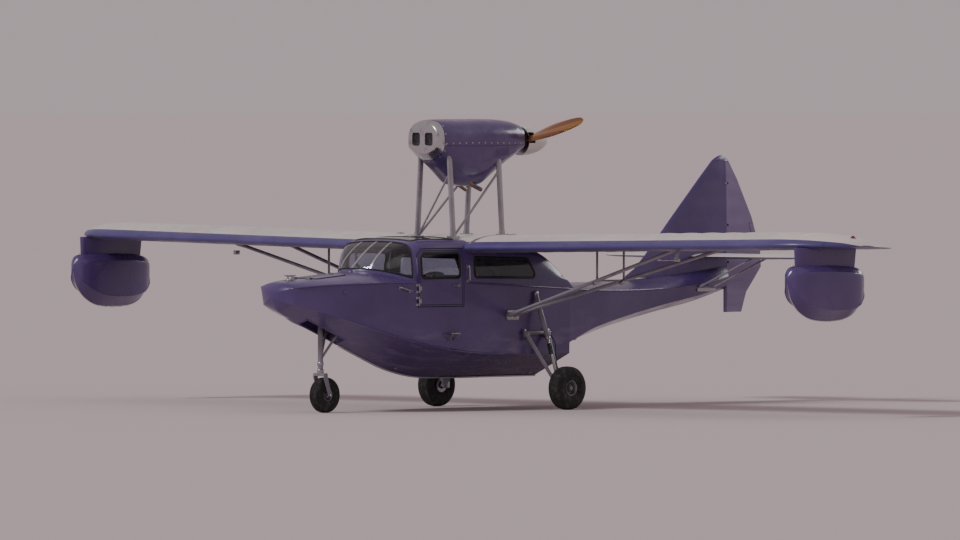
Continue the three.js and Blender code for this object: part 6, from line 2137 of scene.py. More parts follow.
def blade_rows(start, end, count):
    """Rows of the blade's table that crowd towards the tip, where the chord rounds off as an ellipse does."""
    radii = start + (end - start) * np.sin(np.linspace(0, math.pi / 2, count))
    rows = hermite(BLADE, radii)
    t = np.clip((radii - TIP_FROM) / (PROP_RADIUS - TIP_FROM), 0, 0.985)
    rows[:, 1] *= np.where(radii > TIP_FROM, np.sqrt(1 - t**2), 1)
    return rows


def hub():
    """A thick boss with rounded edges."""
    half = HUB_DEPTH / 2
    return turned([(-half, 0), (-half, HUB_RADIUS - 6), (6 - half, HUB_RADIUS), (half - 6, HUB_RADIUS),
                   (half, HUB_RADIUS - 6), (half, 0)], (0, 0, 0), (0, 1, 0), 40)


def brass_width(radius):
    """How far the brass reaches back from the leading edge, wider towards the tip."""
    return 10 + 16 * (radius - TIPPING_FROM) / (PROP_RADIUS - TIPPING_FROM)


blade = loft([blade_section(row) for row in blade_rows(62, PROP_RADIUS - 0.6, 44)])
tipping = loft([blade_section(row, 0.7, brass_width(row[0]))
                for row in blade_rows(TIPPING_FROM, PROP_RADIUS - 0.2, 26)])
half_turn = np.diag([-1.0, 1.0, -1.0])
metal = [tipping, moved(tipping, half_turn)]
for row in blade_rows(TIPPING_FROM + 30, PROP_RADIUS - 40, 9):
    head = turned([(0, 0), (0, 3), (0.8, 2.4), (1.2, 0)], blade_section(row)[3], (0, 1, 0), 10)
    metal += [head, moved(head, half_turn)]
piece("propeller_laminated", "propeller_group",
      [hub(), blade, moved(blade, half_turn), *numbered(1, *metal)], [blade_wood, brass],
      replaces=["propeller"], turn=turn_rest, shift=PROP_AT)

# columns: radius, distance behind the propeller's plane
SPINNER = np.array([[150, -42], [150, 10], [141, 90], [118, 190], [78, 280], [34, 335], [0, 350]], float)
SLOT_HALF_WIDTH, SLOT_END, SPINNER_WALL = 58.0, 50.0, 3.0


def spinner_curve():
    """Radius against distance: straight skirt, then a smooth ogive to the point."""
    ogive = smooth_curve(SPINNER[1:], 8)
    (radius, start), (_, end) = SPINNER[:2]
    skirt = np.column_stack([np.full(8, radius), np.linspace(start, end, 9)[:-1]])
    return np.concatenate([skirt, ogive])


def spinner_shell():
    """The cone, with a slot round each blade up to 50 mm behind the plane of the propeller."""
    curve = spinner_curve()
    slot_angle = math.asin(SLOT_HALF_WIDTH / SPINNER[0, 0])
    skirt = curve[curve[:, 1] <= SLOT_END + 1e-6]
    skirt = np.concatenate([skirt, [[np.interp(SLOT_END, curve[:, 1], curve[:, 0]), SLOT_END]]])
    cone = np.concatenate([skirt[-1:], curve[curve[:, 1] > SLOT_END]])
    patches = []
    angle = np.linspace(0, 2 * math.pi, 73)
    edges_at = [slot_angle, math.pi - slot_angle, math.pi + slot_angle, 2 * math.pi - slot_angle]
    angle = np.unique(np.concatenate([angle, edges_at]).round(6))

    def place(line, a):
        """A (radius, distance) line spun through the angles a."""
        radius, along = line[:, None, 0], np.broadcast_to(line[:, None, 1], (len(line), len(a)))
        return np.stack([radius * np.cos(a), along, radius * np.sin(a)], -1)

    patches.append(grid(place(cone, angle)))
    for start, end in ((edges_at[0], edges_at[1]), (edges_at[2], edges_at[3])):
        part = angle[(angle >= start - 1e-4) & (angle <= end + 1e-4)]
        patches.append(grid(place(skirt, part)))
    return patches


def spinner_trim():
    """Back plate, and screws round the skirt between the slots."""
    plate = turned([(-40, 84), (-40, 148), (-37, 148), (-37, 84), (-40, 84)], (0, 0, 0), (0, 1, 0), 48)
    screws = []
    for k in range(16):
        a = 2 * math.pi * (k + 0.5) / 16
        if abs(math.sin(a)) < 0.45:
            continue
        out = np.array([math.cos(a), 0, math.sin(a)])
        on_skirt = out * SPINNER[0, 0] + (0, -30, 0)
        screws.append(turned([(-1, 0), (-1, 5), (0.8, 4.5), (1.4, 0)], on_skirt, out, 12))
    return [plate, *screws]


piece("spinner_shell", "propeller_group", spinner_shell(), wing_silver, replaces=["spinner"],
      wall=SPINNER_WALL, crease=SHEET_CREASE, turn=turn_rest, shift=PROP_AT)
piece("spinner_trim", "propeller_group", spinner_trim(), stainless,
      turn=turn_rest, shift=PROP_AT)
print("propeller radius, mm:", PROP_RADIUS)

# %% [markdown]
# The tail. Fin and rudder share one outline, kept as nine foils one above the other and lofted upward; the
# rudder's foot reaches below the stern and steers on the water. Tailplane and elevator share another, lofted
# sideways. Each is a steel tube and rib frame under fabric, so ribs show faintly here too.

# %% Fin and rudder
RUDDER_Y, RUDDER_NOSE, RUDDER_LOW, RUDDER_HIGH = 3620.0, 25.0, 610.0, 2195.0
RUDDER_HINGES = (1135.0, 1520.0, 1960.0)
RUDDER_SLOT, SLOT_DEEP = 12.0, 22.0
TAIL_GAP = 7.0
FIN_RIB, FIN_SAG = 190.0, 3.5
# columns: height, front, rear, thickness
FIN = np.array([
    [600, 3300, 3850, 62], [820, 3200, 3930, 70], [960, 2040, 4050, 84], [1080, 2250, 4150, 84],
    [1250, 2440, 4140, 80], [1600, 2790, 4010, 74], [2000, 3200, 3790, 58], [2200, 3410, 3655, 36],
    [2250, 3500, 3600, 20]], float)
# columns: x, front, rear, thickness
TAILPLANE = np.array([
    [0, 3060, 3935, 62], [900, 3120, 3935, 54], [1250, 3185, 3915, 44], [1430, 3280, 3850, 32],
    [1500, 3420, 3740, 16]], float)
ELEV_Y, ELEV_Z, ELEV_NOSE, ELEV_INNER, ELEV_TUBE = 3560.0, 1200.0, 22.0, 66.0, 14.0
ELEV_HINGES = (420.0, 1050.0)
ELEV_SLOT, CUT_TO, CUT_REAR = 11.0, 290.0, 4000.0


def foil_at(rows, at):
    """A table's row at one place: straight lines between rows, as in the solids, so no edge swings out."""
    return np.array([np.interp(at, rows[:, 0], rows[:, k]) for k in range(rows.shape[1])])


def foil_height(row, y):
    """Half thickness at stations y of the foil in a row (at, front, rear, thickness)."""
    u = np.clip((y - row[1]) / (row[2] - row[1]), 0, 1)
    return row[3] * np.clip(foil_half(u), 0, 1)


def rib_sag(at, u):
    """How far the fabric sinks between two ribs, at a share u of the chord."""
    chordwise = np.clip(u / 0.1 - 1, 0, 1) * np.clip((1 - u) / 0.12, 0, 1)
    return FIN_SAG * np.sin(np.pi * (at / FIN_RIB % 1)) ** 1.5 * chordwise


def fixed_section(row, y_end, count=24):
    """Half of a fixed surface's section, from its leading edge to the lip of the hollow at the hinge."""
    y_end = min(y_end, row[2])
    t = np.linspace(0, 1, count)
    y = row[1] + (y_end - row[1]) * t**1.7
    h = foil_height(row, y)
    u = (y - row[1]) / (row[2] - row[1])
    return y, np.maximum(h - rib_sag(row[0], u), 0.6 * h)


def hollow_arc(row, lip_y, y_hinge, radius, count=9):
    """From the port lip round the hollow to the starboard lip, as (y, offset)."""
    lip = foil_height(row, lip_y)
    start = math.atan2(lip, lip_y - y_hinge)
    angle = np.linspace(start, 2 * math.pi - start, count)
    arc = np.column_stack([y_hinge + radius * np.cos(angle), radius * np.sin(angle)])
    arc[0], arc[-1] = (lip_y, lip), (lip_y, -lip)
    return arc


def fixed_ring(row, y_hinge, nose, count=24):
    """Closed section of fin or tailplane: port side, hollow for the nose behind it, starboard side."""
    radius = nose + TAIL_GAP
    lip_height = min(foil_height(row, y_hinge), radius - 1)
    lip_y = y_hinge - math.sqrt(max(radius**2 - lip_height**2, 1))
    y, h = fixed_section(row, lip_y, count)
    arc = hollow_arc(row, lip_y, y_hinge, radius)
    port = np.column_stack([y, h])
    return np.concatenate([port[:-1], arc, (port * (1, -1))[-2:0:-1]])


def moving_ring(row, y_hinge, nose, count=22):
    """Closed section of rudder or elevator: round nose, one side back to the end, the other side forward."""
    radius = min(nose, foil_height(row, y_hinge))
    y = np.linspace(y_hinge + 6, row[2], count)
    h = foil_height(row, y)
    u = (y - row[1]) / (row[2] - row[1])
    h = np.maximum(h - rib_sag(row[0], u), np.minimum(h, 2.2))
    angle = np.linspace(1.5 * math.pi - 0.1, 0.5 * math.pi + 0.1, 13)
    front = np.column_stack([y_hinge + nose * np.cos(angle), radius * np.sin(angle)])
    return np.concatenate([np.column_stack([y, h]), np.column_stack([y[::-1], -h[::-1]]), front])


def standing(ring, z):
    """A section laid level at height z: its offsets run across the aircraft."""
    return np.column_stack([ring[:, 1], ring[:, 0], np.full(len(ring), z)])


def lying(ring, x):
    """A section stood fore and aft at x: its offsets run up and down."""
    return np.column_stack([np.full(len(ring), x), ring[:, 0], ELEV_Z + ring[:, 1]])


def levels(start, end, pitch, *keep):
    """Heights or spans every quarter of a rib's pitch, with the table's own rows."""
    inner = [v for v in np.arange(0, end, pitch / 4) if start + 4 < v < end - 4]
    keep = [v for v in keep if start < v < end]
    values = np.unique(np.concatenate([[start], inner, keep, [end]]))
    return values[np.concatenate([np.diff(values) > 2.5, [True]])]


FIN_FOOT = 985.0
FIN_TOP, CAP_FROM = FIN[-1, 0], 2225.0
fin_body = loft([standing(fixed_ring(foil_at(FIN, z), RUDDER_Y, RUDDER_NOSE), z)
                 for z in levels(FIN_FOOT, RUDDER_HIGH + TAIL_GAP, FIN_RIB, *FIN[:, 0])])
cap_rings = []
for z in (RUDDER_HIGH + TAIL_GAP, CAP_FROM, 2240, 2248, FIN_TOP):
    row = foil_at(FIN, z)
    shrink = 1 - (max(z - CAP_FROM, 0) / (FIN_TOP - CAP_FROM)) ** 2 * 0.8
    middle = (row[1] + row[2]) / 2
    f = foil((row[2] - row[1]) * (0.55 + 0.45 * shrink), row[3] * shrink, 24)
    cap_rings.append(standing(np.column_stack([middle + f[:, 0], f[:, 1]]), z))
fin_cap = loft(cap_rings)


def tail_hinge(at, axis, arm, pin_half=17.0):
    """Arm and pin of one tail hinge."""
    low, high = arm
    return [block(low, high), turned(drum(-pin_half, pin_half, 5), at, axis, 14)]


fin_metal = [p for z in RUDDER_HINGES for p in tail_hinge(
    (0, RUDDER_Y, z), (0, 0, 1), ((-9, RUDDER_Y - 50, z - 6), (9, RUDDER_Y + 9, z + 6)))]
piece("fin_skin", "airframe", [fin_body, fin_cap, *numbered(1, *fin_metal)],
      [hull_enamel, stainless], replaces=["fin"])


def lengths(start, hinges, half, end):
    """Stretches of a moving surface, as (number, start, end): the odd ones are the slots round its hinges."""
    cuts = [start, *(h + way * half for h in hinges for way in (-1, 1)), end]
    return [(k, low + HAIR, high - HAIR) for k, (low, high) in enumerate(zip(cuts[:-1], cuts[1:]))]


def rudder_patches():
    """The rudder in lengths, with a flat front edge at each slot so that the fin's hinge arm can reach in."""
    patches = []
    for k, low, high in lengths(RUDDER_LOW, RUDDER_HINGES, RUDDER_SLOT, RUDDER_HIGH):
        rings = []
        for z in levels(low, high, FIN_RIB, *FIN[:, 0]):
            ring = moving_ring(foil_at(FIN, z), RUDDER_Y, RUDDER_NOSE)
            if k % 2:
                ring[:, 0] = np.maximum(ring[:, 0], RUDDER_Y + SLOT_DEEP)
            rings.append(standing(ring, z))
        patches.append(loft(rings))
    return patches


TAB_LOW, TAB_HIGH, TAB_DEEP = 1290.0, 1540.0, 70.0


def tab_lines():
    """The trim tab's outline in the rudder's rear edge, scribed on both sides."""
    lines_out = []
    for way in (1, -1):
        path = []
        for z, back in [(TAB_LOW, b) for b in (0, 0.5, 1)] + [(TAB_HIGH, b) for b in (1, 0.5, 0)]:
            row = foil_at(FIN, z)
            y = row[2] - TAB_DEEP * back
            path.append((way * (foil_height(row, y) + 0.3), y, z))
        lines_out += [rod(a, b, 1.6, 6) for a, b in zip(path[:-1], path[1:])]
    return lines_out


water_shoe = block((-17, RUDDER_Y + 10, RUDDER_LOW), (17, 3842, RUDDER_LOW + 5))
piece("rudder_skin", "rudder_group",
      [*rudder_patches(), (water_shoe, 1), *numbered(2, *tab_lines())],
      [rudder_mauve, stainless, shade_black], replaces=["rudder"])

# %% Tailplane and elevator


def light_top_shade_under(rings_patch):
    """A loft split by the side its faces look to: upper ones light, lower ones dark, a painted shade."""
    points, faces = rings_patch
    quads = faces[0]
    a, b, c = (points[quads[:, k]] for k in range(3))
    up = np.cross(b - a, c - a)[:, 2] > 0
    return [((points, [quads[up]]), 0), ((points, [quads[~up], *faces[1:]]), 1)]


PLANE_TIP = 1492.0
half_plane = light_top_shade_under(loft([lying(fixed_ring(foil_at(TAILPLANE, x), ELEV_Y, ELEV_NOSE), x)
                            for x in levels(0, PLANE_TIP, FIN_RIB, *TAILPLANE[:, 0])]))
plane_metal = [p for x in (*ELEV_HINGES, *(-h for h in ELEV_HINGES)) for p in tail_hinge(
    (x, ELEV_Y, ELEV_Z), (1, 0, 0), ((x - 6, ELEV_Y - 45, ELEV_Z - 8), (x + 6, ELEV_Y + 8, ELEV_Z + 8)))]
piece("tailplane_skin", "airframe",
      [(moved(p, turn), m) for turn in SIDES.values() for p, m in half_plane] + numbered(2, *plane_metal),
      [wing_silver, wing_shade_indigo, stainless], replaces=["tailplane"])


def elevator_half():
    """One half, cut back at its inner edge so that the rudder can swing beside it."""
    patches = []
    for k, start, end in lengths(ELEV_INNER, ELEV_HINGES, ELEV_SLOT, PLANE_TIP):
        rings = []
        for x in levels(start, end, FIN_RIB, CUT_TO, *TAILPLANE[:, 0]):
            row = foil_at(TAILPLANE, x)
            ring = moving_ring(row, ELEV_Y, ELEV_NOSE)
            limit = ELEV_Y + 12 + (x - ELEV_INNER) / (CUT_TO - ELEV_INNER) * (CUT_REAR - ELEV_Y)
            if k % 2:
                ring[:, 0] = np.maximum(ring[:, 0], ELEV_Y + 18)
            cut = ring[:, 0] > limit
            if cut.any():
                edge = min(foil_height(row, limit), 30)
                ring[cut, 0] = limit
                ring[cut, 1] = np.clip(ring[cut, 1], -edge, edge)
            rings.append(lying(ring, x))
        patches += light_top_shade_under(loft(rings))
    return patches


torque_tube = turned(drum(-150, 150, ELEV_TUBE), (0, ELEV_Y, ELEV_Z), (1, 0, 0), 24)
piece("elevator_skin", "elevator_group",
      [(moved(p, turn), m) for turn in SIDES.values() for p, m in elevator_half()] + [(torque_tube, 2)],
      [wing_silver, wing_shade_indigo, strut_enamel], replaces=["elevator"])

TAIL_BRACES = ((3020.0, 3230.0), (3260.0, 3430.0))


def tail_brace_parts():
    """Two faired struts with a cuff and a bolt each, and the pad on the hull that both stand on."""
    parts = []
    for foot_y, top_y in TAIL_BRACES:
        start, end = np.array([130.0, foot_y, 850]), np.array([820.0, top_y, ELEV_Z])
        share = lambda t: start + (end - start) * t
        parts += [spanwise_foil(start, share(0.965), 44, 20, steps=8),
                  spanwise_foil(share(0.1), share(0.17), 44, 20, (4, 0.8), 4),
                  (bolt(share(0.93), (0, 1, 0), 4, 11), 1)]
    return parts + numbered(1, prism(rounded(3002, 836, 3278, 871, 14, 5, 4), "x", 112, 188))


for name, turn in SIDES.items():
    piece(f"tail_brace_{name}_faired", "airframe", tail_brace_parts(),
          [strut_enamel, stainless], replaces=[f"tail_brace_{name}"], turn=turn)

print("tail pieces:", [n for n in pieces if n.startswith(("fin", "rudder", "tail", "elevator"))])

# %% [markdown]
# Landing gear. Each main leg is a welded V of steel tube on a pivot along the hull's side, held by an oleo
# strut: a bright rod in a painted cylinder. Tyres are aircraft tyres, so their tread is four plain grooves
# round the crown. The nose leg drops through the well in the bow and carries a castering fork.

# %% Wheels and tyres
MAIN_X, MAIN_Y, MAIN_RADIUS = 950.0, 300.0, 222.5
PIVOT_X, PIVOT_Z, PIVOT_FROM, PIVOT_TO = 578.0, 455.0, 60.0, 400.0
AXLE_Z = MAIN_RADIUS - KEEL_HEIGHT
NOSE_Y, STEER_Y, NOSE_RADIUS = -2250.0, -2310.0, 180.0
NOSE_AXLE_Z = NOSE_RADIUS - KEEL_HEIGHT


def tyre_profile(radius, bead_half, bead_radius, wall_half, wall_radius, shoulder, groove_half, grooves):
    """Closed (along, radius) outline: bead, bulging wall, shoulder and a crown with plain grooves."""
    tread = [(0.0, radius)]
    for at in grooves:
        for d, cut in ((-groove_half - 1, 0), (-groove_half, 4.5), (groove_half, 4.5), (groove_half + 1, 0)):
            x = at + d
            tread.append((x, radius - 0.018 * x * x / 10 - cut))
    crown_end = (shoulder[0] - 16, radius - 0.0018 * (shoulder[0] - 16) ** 2)
    wall = smooth_curve([crown_end, shoulder, (wall_half, wall_radius), (bead_half + 7, bead_radius + 12),
                         (bead_half, bead_radius)], 7)
    half = np.array(tread + wall.tolist())
    inner = np.array([(bead_half - 10, bead_radius - 0.5), (0, bead_radius + 4)])
    half = np.concatenate([half, inner])
    return np.concatenate([half, half[-2:0:-1] * (-1, 1), half[:1]])


def wheel_parts(centre_point, hub_half, bore, web_half, web_radius, rim_half, rim_radius, spokes, bolts):
    """A cast wheel: hub, web with its hollows as dark rimmed discs of painted shade, flanged rim, clamp bolts
    and valve.
    """
    web_foot = bore + 22
    side_line = [
        (hub_half, bore), (hub_half, bore + 12), (hub_half - 8, bore + 16), (web_half + 3, web_foot),
        (web_half, web_radius - 6), (web_half + 2, web_radius), (rim_half - 14, rim_radius - 14),
        (rim_half - 6, rim_radius - 10), (rim_half, rim_radius - 3), (rim_half, rim_radius)]
    line = np.array(side_line + [(-x, r) for x, r in side_line[::-1]] + side_line[:1])
    parts = [turned(line, centre_point, (1, 0, 0), 64)]
    ring = (web_foot + web_radius) / 2
    size = (web_radius - web_foot) * 0.36
    hollow = [(0, 0), (0, size), (1.4, size), (1.4, size * 0.82), (0.6, size * 0.8), (0.6, 0)]
    for way in (1, -1):
        for k in range(spokes):
            a = 2 * math.pi * k / spokes
            at = centre_point + (way * (web_half + 0.5), ring * math.cos(a), ring * math.sin(a))
            parts.append((turned(hollow, at, (way, 0, 0), 20), 1))
        for k in range(bolts):
            a = 2 * math.pi * (k + 0.5) / bolts
            at = centre_point + (way * (hub_half - 8), (bore + 9) * math.cos(a), (bore + 9) * math.sin(a))
            parts.append((turned(stud(0, 4, 4.6, 4.2, 2), at, (way, 0, 0), 6), 2))
    valve_at = centre_point + (web_half, 0, web_radius - 4)
    parts.append((rod(valve_at, valve_at + (24, 0, -6), 3, 8), 2))
    return parts


main_tyre = tyre_profile(MAIN_RADIUS, 60, 78.4, 80, 150, (68, 201), 2.6, (14, 36))
nose_tyre = tyre_profile(NOSE_RADIUS, 44, 64.4, 60, 120, (51, 164), 2.2, (10, 26))
main_at, nose_at = np.array([MAIN_X, MAIN_Y, AXLE_Z]), np.array([0, NOSE_Y, NOSE_AXLE_Z])
for name, turn in SIDES.items():
    body = f"{name}_wheel"
    piece(f"tyre_{name}_rubber", body, turned(main_tyre, main_at, (1, 0, 0), 96), tyre_rubber,
          replaces=[f"tyre_{name}"], turn=turn)
    disc = turned([(-76, 40), (-76, 74), (-71, 74), (-71, 40), (-76, 40)], main_at, (1, 0, 0), 48)
    cap = turned([(46, 0), (46, 24), (52, 24), (62, 18), (64, 0)], main_at, (1, 0, 0), 32)
    parts = wheel_parts(main_at, 46, 17, 20, 52, 66, 78, 8, 6) + [(disc, 2), cap]
    piece(f"wheel_{name}_cast", body, parts, [cast_metal, shade_black, stainless],
          replaces=[f"wheel_{name}"], turn=turn)
piece("nose_tyre_rubber", "nose_wheel_group", turned(nose_tyre, nose_at, (1, 0, 0), 88), tyre_rubber,
      replaces=["nose_tyre"])
piece("nose_wheel_cast", "nose_wheel_group",
      wheel_parts(nose_at, 40, 9.6, 14, 42, 48, 64, 6, 5), [cast_metal, shade_black, stainless],
      replaces=["nose_wheel"])

# %% Main legs
STRUT_LOW = np.array([832.0, 300.0, -97.5])
STRUT_MID = np.array([708.0, 266.0, 392.0])
STRUT_HIGH = np.array([566.0, 230.0, 850.0])


def collar(path_start, path_end, share, radius, length):
    """A short sleeve on a tube, with soft ends."""
    a, b = np.asarray(path_start, float), np.asarray(path_end, float)
    way = (b - a) / np.linalg.norm(b - a)
    at = a + (b - a) * share
    h = length / 2
    sleeve = [(-h, 0), (-h, radius - 2), (2 - h, radius), (h - 2, radius), (h, radius - 2), (h, 0)]
    return turned(sleeve, at, way, 24)


def lug(low, high, round_by=10):
    """A plate lug with round corners, its outline across the aircraft."""
    return prism(rounded(low[0], low[2], high[0], high[2], round_by, 5, 3), "y", low[1], high[1])


def main_leg():
    """Pivot tube, welded V and gusset, axle, brake caliper, oleo strut with gaiter, hose and hull lugs."""
    grey, metal, rubber = 0, 1, 2
    end = np.array([842.0, MAIN_Y, AXLE_Z])
    parts = [(rod((PIVOT_X, PIVOT_FROM - 19, PIVOT_Z), (PIVOT_X, PIVOT_TO + 19, PIVOT_Z), 21.5, 28), grey)]
    for y, dy in ((PIVOT_FROM + 10, -14), (PIVOT_TO - 10, 14)):
        a, b = np.array([PIVOT_X, y, PIVOT_Z]), end + (-6, dy, 6)
        parts.append((tube([a, b], [21.5, 17.5], 24), grey))
        parts.append((collar(a, b, 0.045, 27, 34), grey))
    gusset = loft([np.array([end + (-30, -20, 4), end + (-30, 20, 4), end + (-62, 40, 70 + d),
                             end + (-62, -40, 70 + d)]) + (0, 0, d) for d in (0, 8)])
    parts.append((gusset, grey))
    socket = [(815, 0), (815, 27), (818, 29.5), (858, 29.5), (862, 26), (862, 0)]
    axle = [(862, 0), (862, 15.8), (1001, 15.8), (1001, 12), (1007.5, 11), (1007.5, 0)]
    parts += [(turned(socket, (0, MAIN_Y, AXLE_Z), (1, 0, 0), 32), grey),
              (turned(axle, (0, MAIN_Y, AXLE_Z), (1, 0, 0), 24), metal)]
    caliper = lug((848, MAIN_Y + 50, AXLE_Z - 34), (868, MAIN_Y + 92, AXLE_Z + 34), 6)
    arm = lug((858, MAIN_Y + 10, AXLE_Z - 12), (868, MAIN_Y + 70, AXLE_Z + 12), 4)
    parts += [(caliper, metal), (arm, grey)]
    way = (STRUT_HIGH - STRUT_LOW) / np.linalg.norm(STRUT_HIGH - STRUT_LOW)
    parts += [(rod(STRUT_LOW, STRUT_MID + way * 30, 14, 24), metal),
              (rod(STRUT_MID, STRUT_HIGH, 24.5, 28), grey),
              (collar(STRUT_MID, STRUT_HIGH, 0.02, 28.5, 26), metal),
              (collar(STRUT_MID, STRUT_HIGH, 0.75, 27, 12), metal),
              (collar(STRUT_LOW, STRUT_HIGH, 0.035, 21, 46), grey)]
    parts += numbered(rubber, *(collar(STRUT_LOW, STRUT_MID, 0.70 + k * 0.032, 25 - (k % 2) * 2.5, 12)
                                for k in range(7)))
    hose = smooth_curve([end + (18, 60, 22), end + (-20, 70, 90), (760, 340, 130), (690, 392, 330),
                         (600, 410, 440)], 10)
    parts.append((tube(hose, 5, 10), rubber))
    for y in (PIVOT_FROM, PIVOT_TO):
        parts += numbered(metal, lug((521, y - 13.5, 401), (583, y + 13.5, 499), 20),
                          bolt((PIVOT_X, y, PIVOT_Z), (0, 1, 0), 8, 22))
    return parts + numbered(metal, lug((521, 206, 816), (583, 254, 884), 20),
                            bolt(STRUT_HIGH, (0, 1, 0), 7, 26))


for name, turn in SIDES.items():
    piece(f"gear_leg_{name}_welded", "airframe", main_leg(),
          [gear_enamel, stainless, seal_rubber], replaces=[f"gear_leg_{name}"], bevel=1.0, turn=turn)

# %% Nose leg and fork


def nose_leg():
    """Leg tube and its band, the steering pin under it, the cross tube in the well and two drag braces."""
    grey, metal = 0, 1
    leg = [(115, 0), (115, 24), (119, 27), (640, 27), (648, 24), (760, 24), (760, 0)]
    band = [(150, 0), (150, 31), (154, 33), (182, 33), (186, 31), (186, 0)]
    parts = [(turned(leg, (0, STEER_Y, 0), (0, 0, 1), 32), grey),
             (rod((0, STEER_Y, 66), (0, STEER_Y, 118), 13.9, 24), metal),
             (turned(band, (0, STEER_Y, 0), (0, 0, 1), 32), metal),
             (rod((-WELL_HALF + 1, STEER_Y, 700), (WELL_HALF - 1, STEER_Y, 700), 18, 24), grey)]
    for side in (1, -1):
        parts.append((rod((0, STEER_Y, 210), (side * (WELL_HALF - 14), WELL_REAR - 20, 560), 13.5, 20), grey))
        x = side * (WELL_HALF - 16)
        parts.append((block((x - 15.5, WELL_REAR - 45.5, 531), (x + 15.5, WELL_REAR - 1, 589)), metal))
    return parts


def nose_fork():
    """Two cheeks under a crown plate, the steering bearing's housing, the axle and its nuts."""
    grey, metal = 0, 1
    cheek = loop(np.array([
        [STEER_Y - 26, 73], [STEER_Y + 26, 73], [STEER_Y + 30, 30], [NOSE_Y + 21, NOSE_AXLE_Z + 14],
        [NOSE_Y + 19, NOSE_AXLE_Z - 15], [NOSE_Y - 19, NOSE_AXLE_Z - 15], [NOSE_Y - 23, NOSE_AXLE_Z + 12],
        [STEER_Y - 28, 34]]), 9, 5, 6)
    parts = []
    for side in (1, -1):
        for low, high, shrink in ((68.3, 79.7, 0.0), (79.7, 83.0, -7.0)):
            outline = offset(cheek, shrink) if shrink else cheek
            parts.append((prism(outline, "x", side * low, side * high), grey))
    crown = prism(rounded(-80, STEER_Y - 28, 80, STEER_Y + 28, 18, 6, 6), "z", 44.4, 73.6)
    bearing = [(60, 15), (60, 34), (108, 34), (113, 30), (114.6, 30), (114.6, 15), (60, 15)]
    nuts = [turned(stud(83, 90, 91, 15, 9), nose_at, (side, 0, 0), 6) for side in (1, -1)]
    return [*parts, (crown, grey), *numbered(
        metal, turned(bearing, (0, STEER_Y, 0), (0, 0, 1), 32),
        rod((-83, NOSE_Y, NOSE_AXLE_Z), (83, NOSE_Y, NOSE_AXLE_Z), 9, 20), *nuts)]


piece("nose_leg_tube", "airframe", nose_leg(), [gear_enamel, stainless], replaces=["nose_leg"])
piece("nose_fork_cast", "nose_castor", nose_fork(), [gear_enamel, stainless],
      replaces=["nose_fork"], bevel=1.2)
print("gear pieces:", [n for n in pieces if n.startswith(("tyre", "wheel", "nose", "gear"))])

# %% [markdown]
# Inside the cabin two seats stand side by side. Each has a pressed aluminium tub, a loose seat cushion and a
# back cushion under one woven cover. A cushion is foam that its cover squeezes, so it starts as a closed form
# a little smaller than the space for it, and a cloth simulation blows it up against its own skin: that gives
# the crown in the middle and the tight corners. The port pair is simulated and the starboard pair mirrors it.

# %% Cushions
SEAT_X = 245.0
CUSHION = [[-1044, 342], [-560, 342], [-576, 420], [-1012, 446], [-1044, 424]]
BACK = [[-590, 350], [-532, 350], [-432, 1040], [-456, 1068], [-510, 1064], [-592, 520]]
CHANNEL_STEP, CHANNEL_DEEP, CHANNEL_WIDE = 74.0, 8.0, 9.0


def stuffed(corners, half, radius):
    """A closed form across the seat: its outline shrinks to the middle as (1 - |t|^7)^(1/7) does."""
    outline = loop(corners, radius, 6, 10)
    middle = outline.mean(0)
    t = np.sin(np.linspace(-math.pi / 2, math.pi / 2, 31))
    k = np.maximum(1 - np.abs(t) ** 7, 1e-3) ** (1 / 7)
    yz = middle + (outline - middle)[None] * k[:, None, None] ** 0.5
    x = np.broadcast_to(SEAT_X + t[:, None] * half, yz.shape[:2])
    return loft(np.dstack([x, yz]))


def blow_up(thing, cap_mm):
    """Voxel remesh, cloth with pressure and no gravity, and no point moves further than the cap."""
    skin = thing.modifiers.new("skin", "REMESH")
    skin.mode, skin.voxel_size = "VOXEL", 9 * MM
    mesh = applied(thing)
    before = np.empty(3 * len(mesh.vertices))
    mesh.vertices.foreach_get("co", before)
    cloth = thing.modifiers.new("cover", "CLOTH")
    cloth.settings.use_pressure = True
    cloth.settings.uniform_pressure_force = 4
    cloth.settings.effector_weights.gravity = 0
    cloth.point_cache.frame_end = 20
    for number in range(1, 21):
        bpy.context.scene.frame_set(number)
    view = bpy.context.evaluated_depsgraph_get()
    blown = bpy.data.meshes.new_from_object(thing.evaluated_get(view))
    thing.modifiers.clear()
    after = np.empty_like(before)
    blown.vertices.foreach_get("co", after)
    step = (after - before).reshape(-1, 3)
    size = np.linalg.norm(step, axis=1, keepdims=True)
    step *= np.minimum(1, cap_mm * MM / np.maximum(size, 1e-9))
    mesh.vertices.foreach_set("co", (before.reshape(-1, 3) + step).ravel())
    bpy.context.scene.frame_set(1)


def channels(thing):
    """Sewn channels: grooves as deep as exp(-(distance / width)^2), pressed in along the normals."""
    fine = thing.modifiers.new("fine", "SUBSURF")
    fine.levels = fine.render_levels = 1
    mesh = applied(thing)
    count = len(mesh.vertices)
    points, normals = np.empty(3 * count), np.empty(3 * count)
    mesh.vertices.foreach_get("co", points)
    mesh.vertices.foreach_get("normal", normals)
    points, normals = points.reshape(-1, 3), normals.reshape(-1, 3)
    across = points[:, 0] / MM - SEAT_X
    off = np.abs(across - np.round(across / CHANNEL_STEP) * CHANNEL_STEP)
    inner = np.abs(across) < 2.4 * CHANNEL_STEP
    deep = CHANNEL_DEEP * np.exp(-(off / CHANNEL_WIDE) ** 2) * inner * (1 - np.abs(normals[:, 0]))
    mesh.vertices.foreach_set("co", (points - normals * deep[:, None] * MM).ravel())
    smooth(mesh)


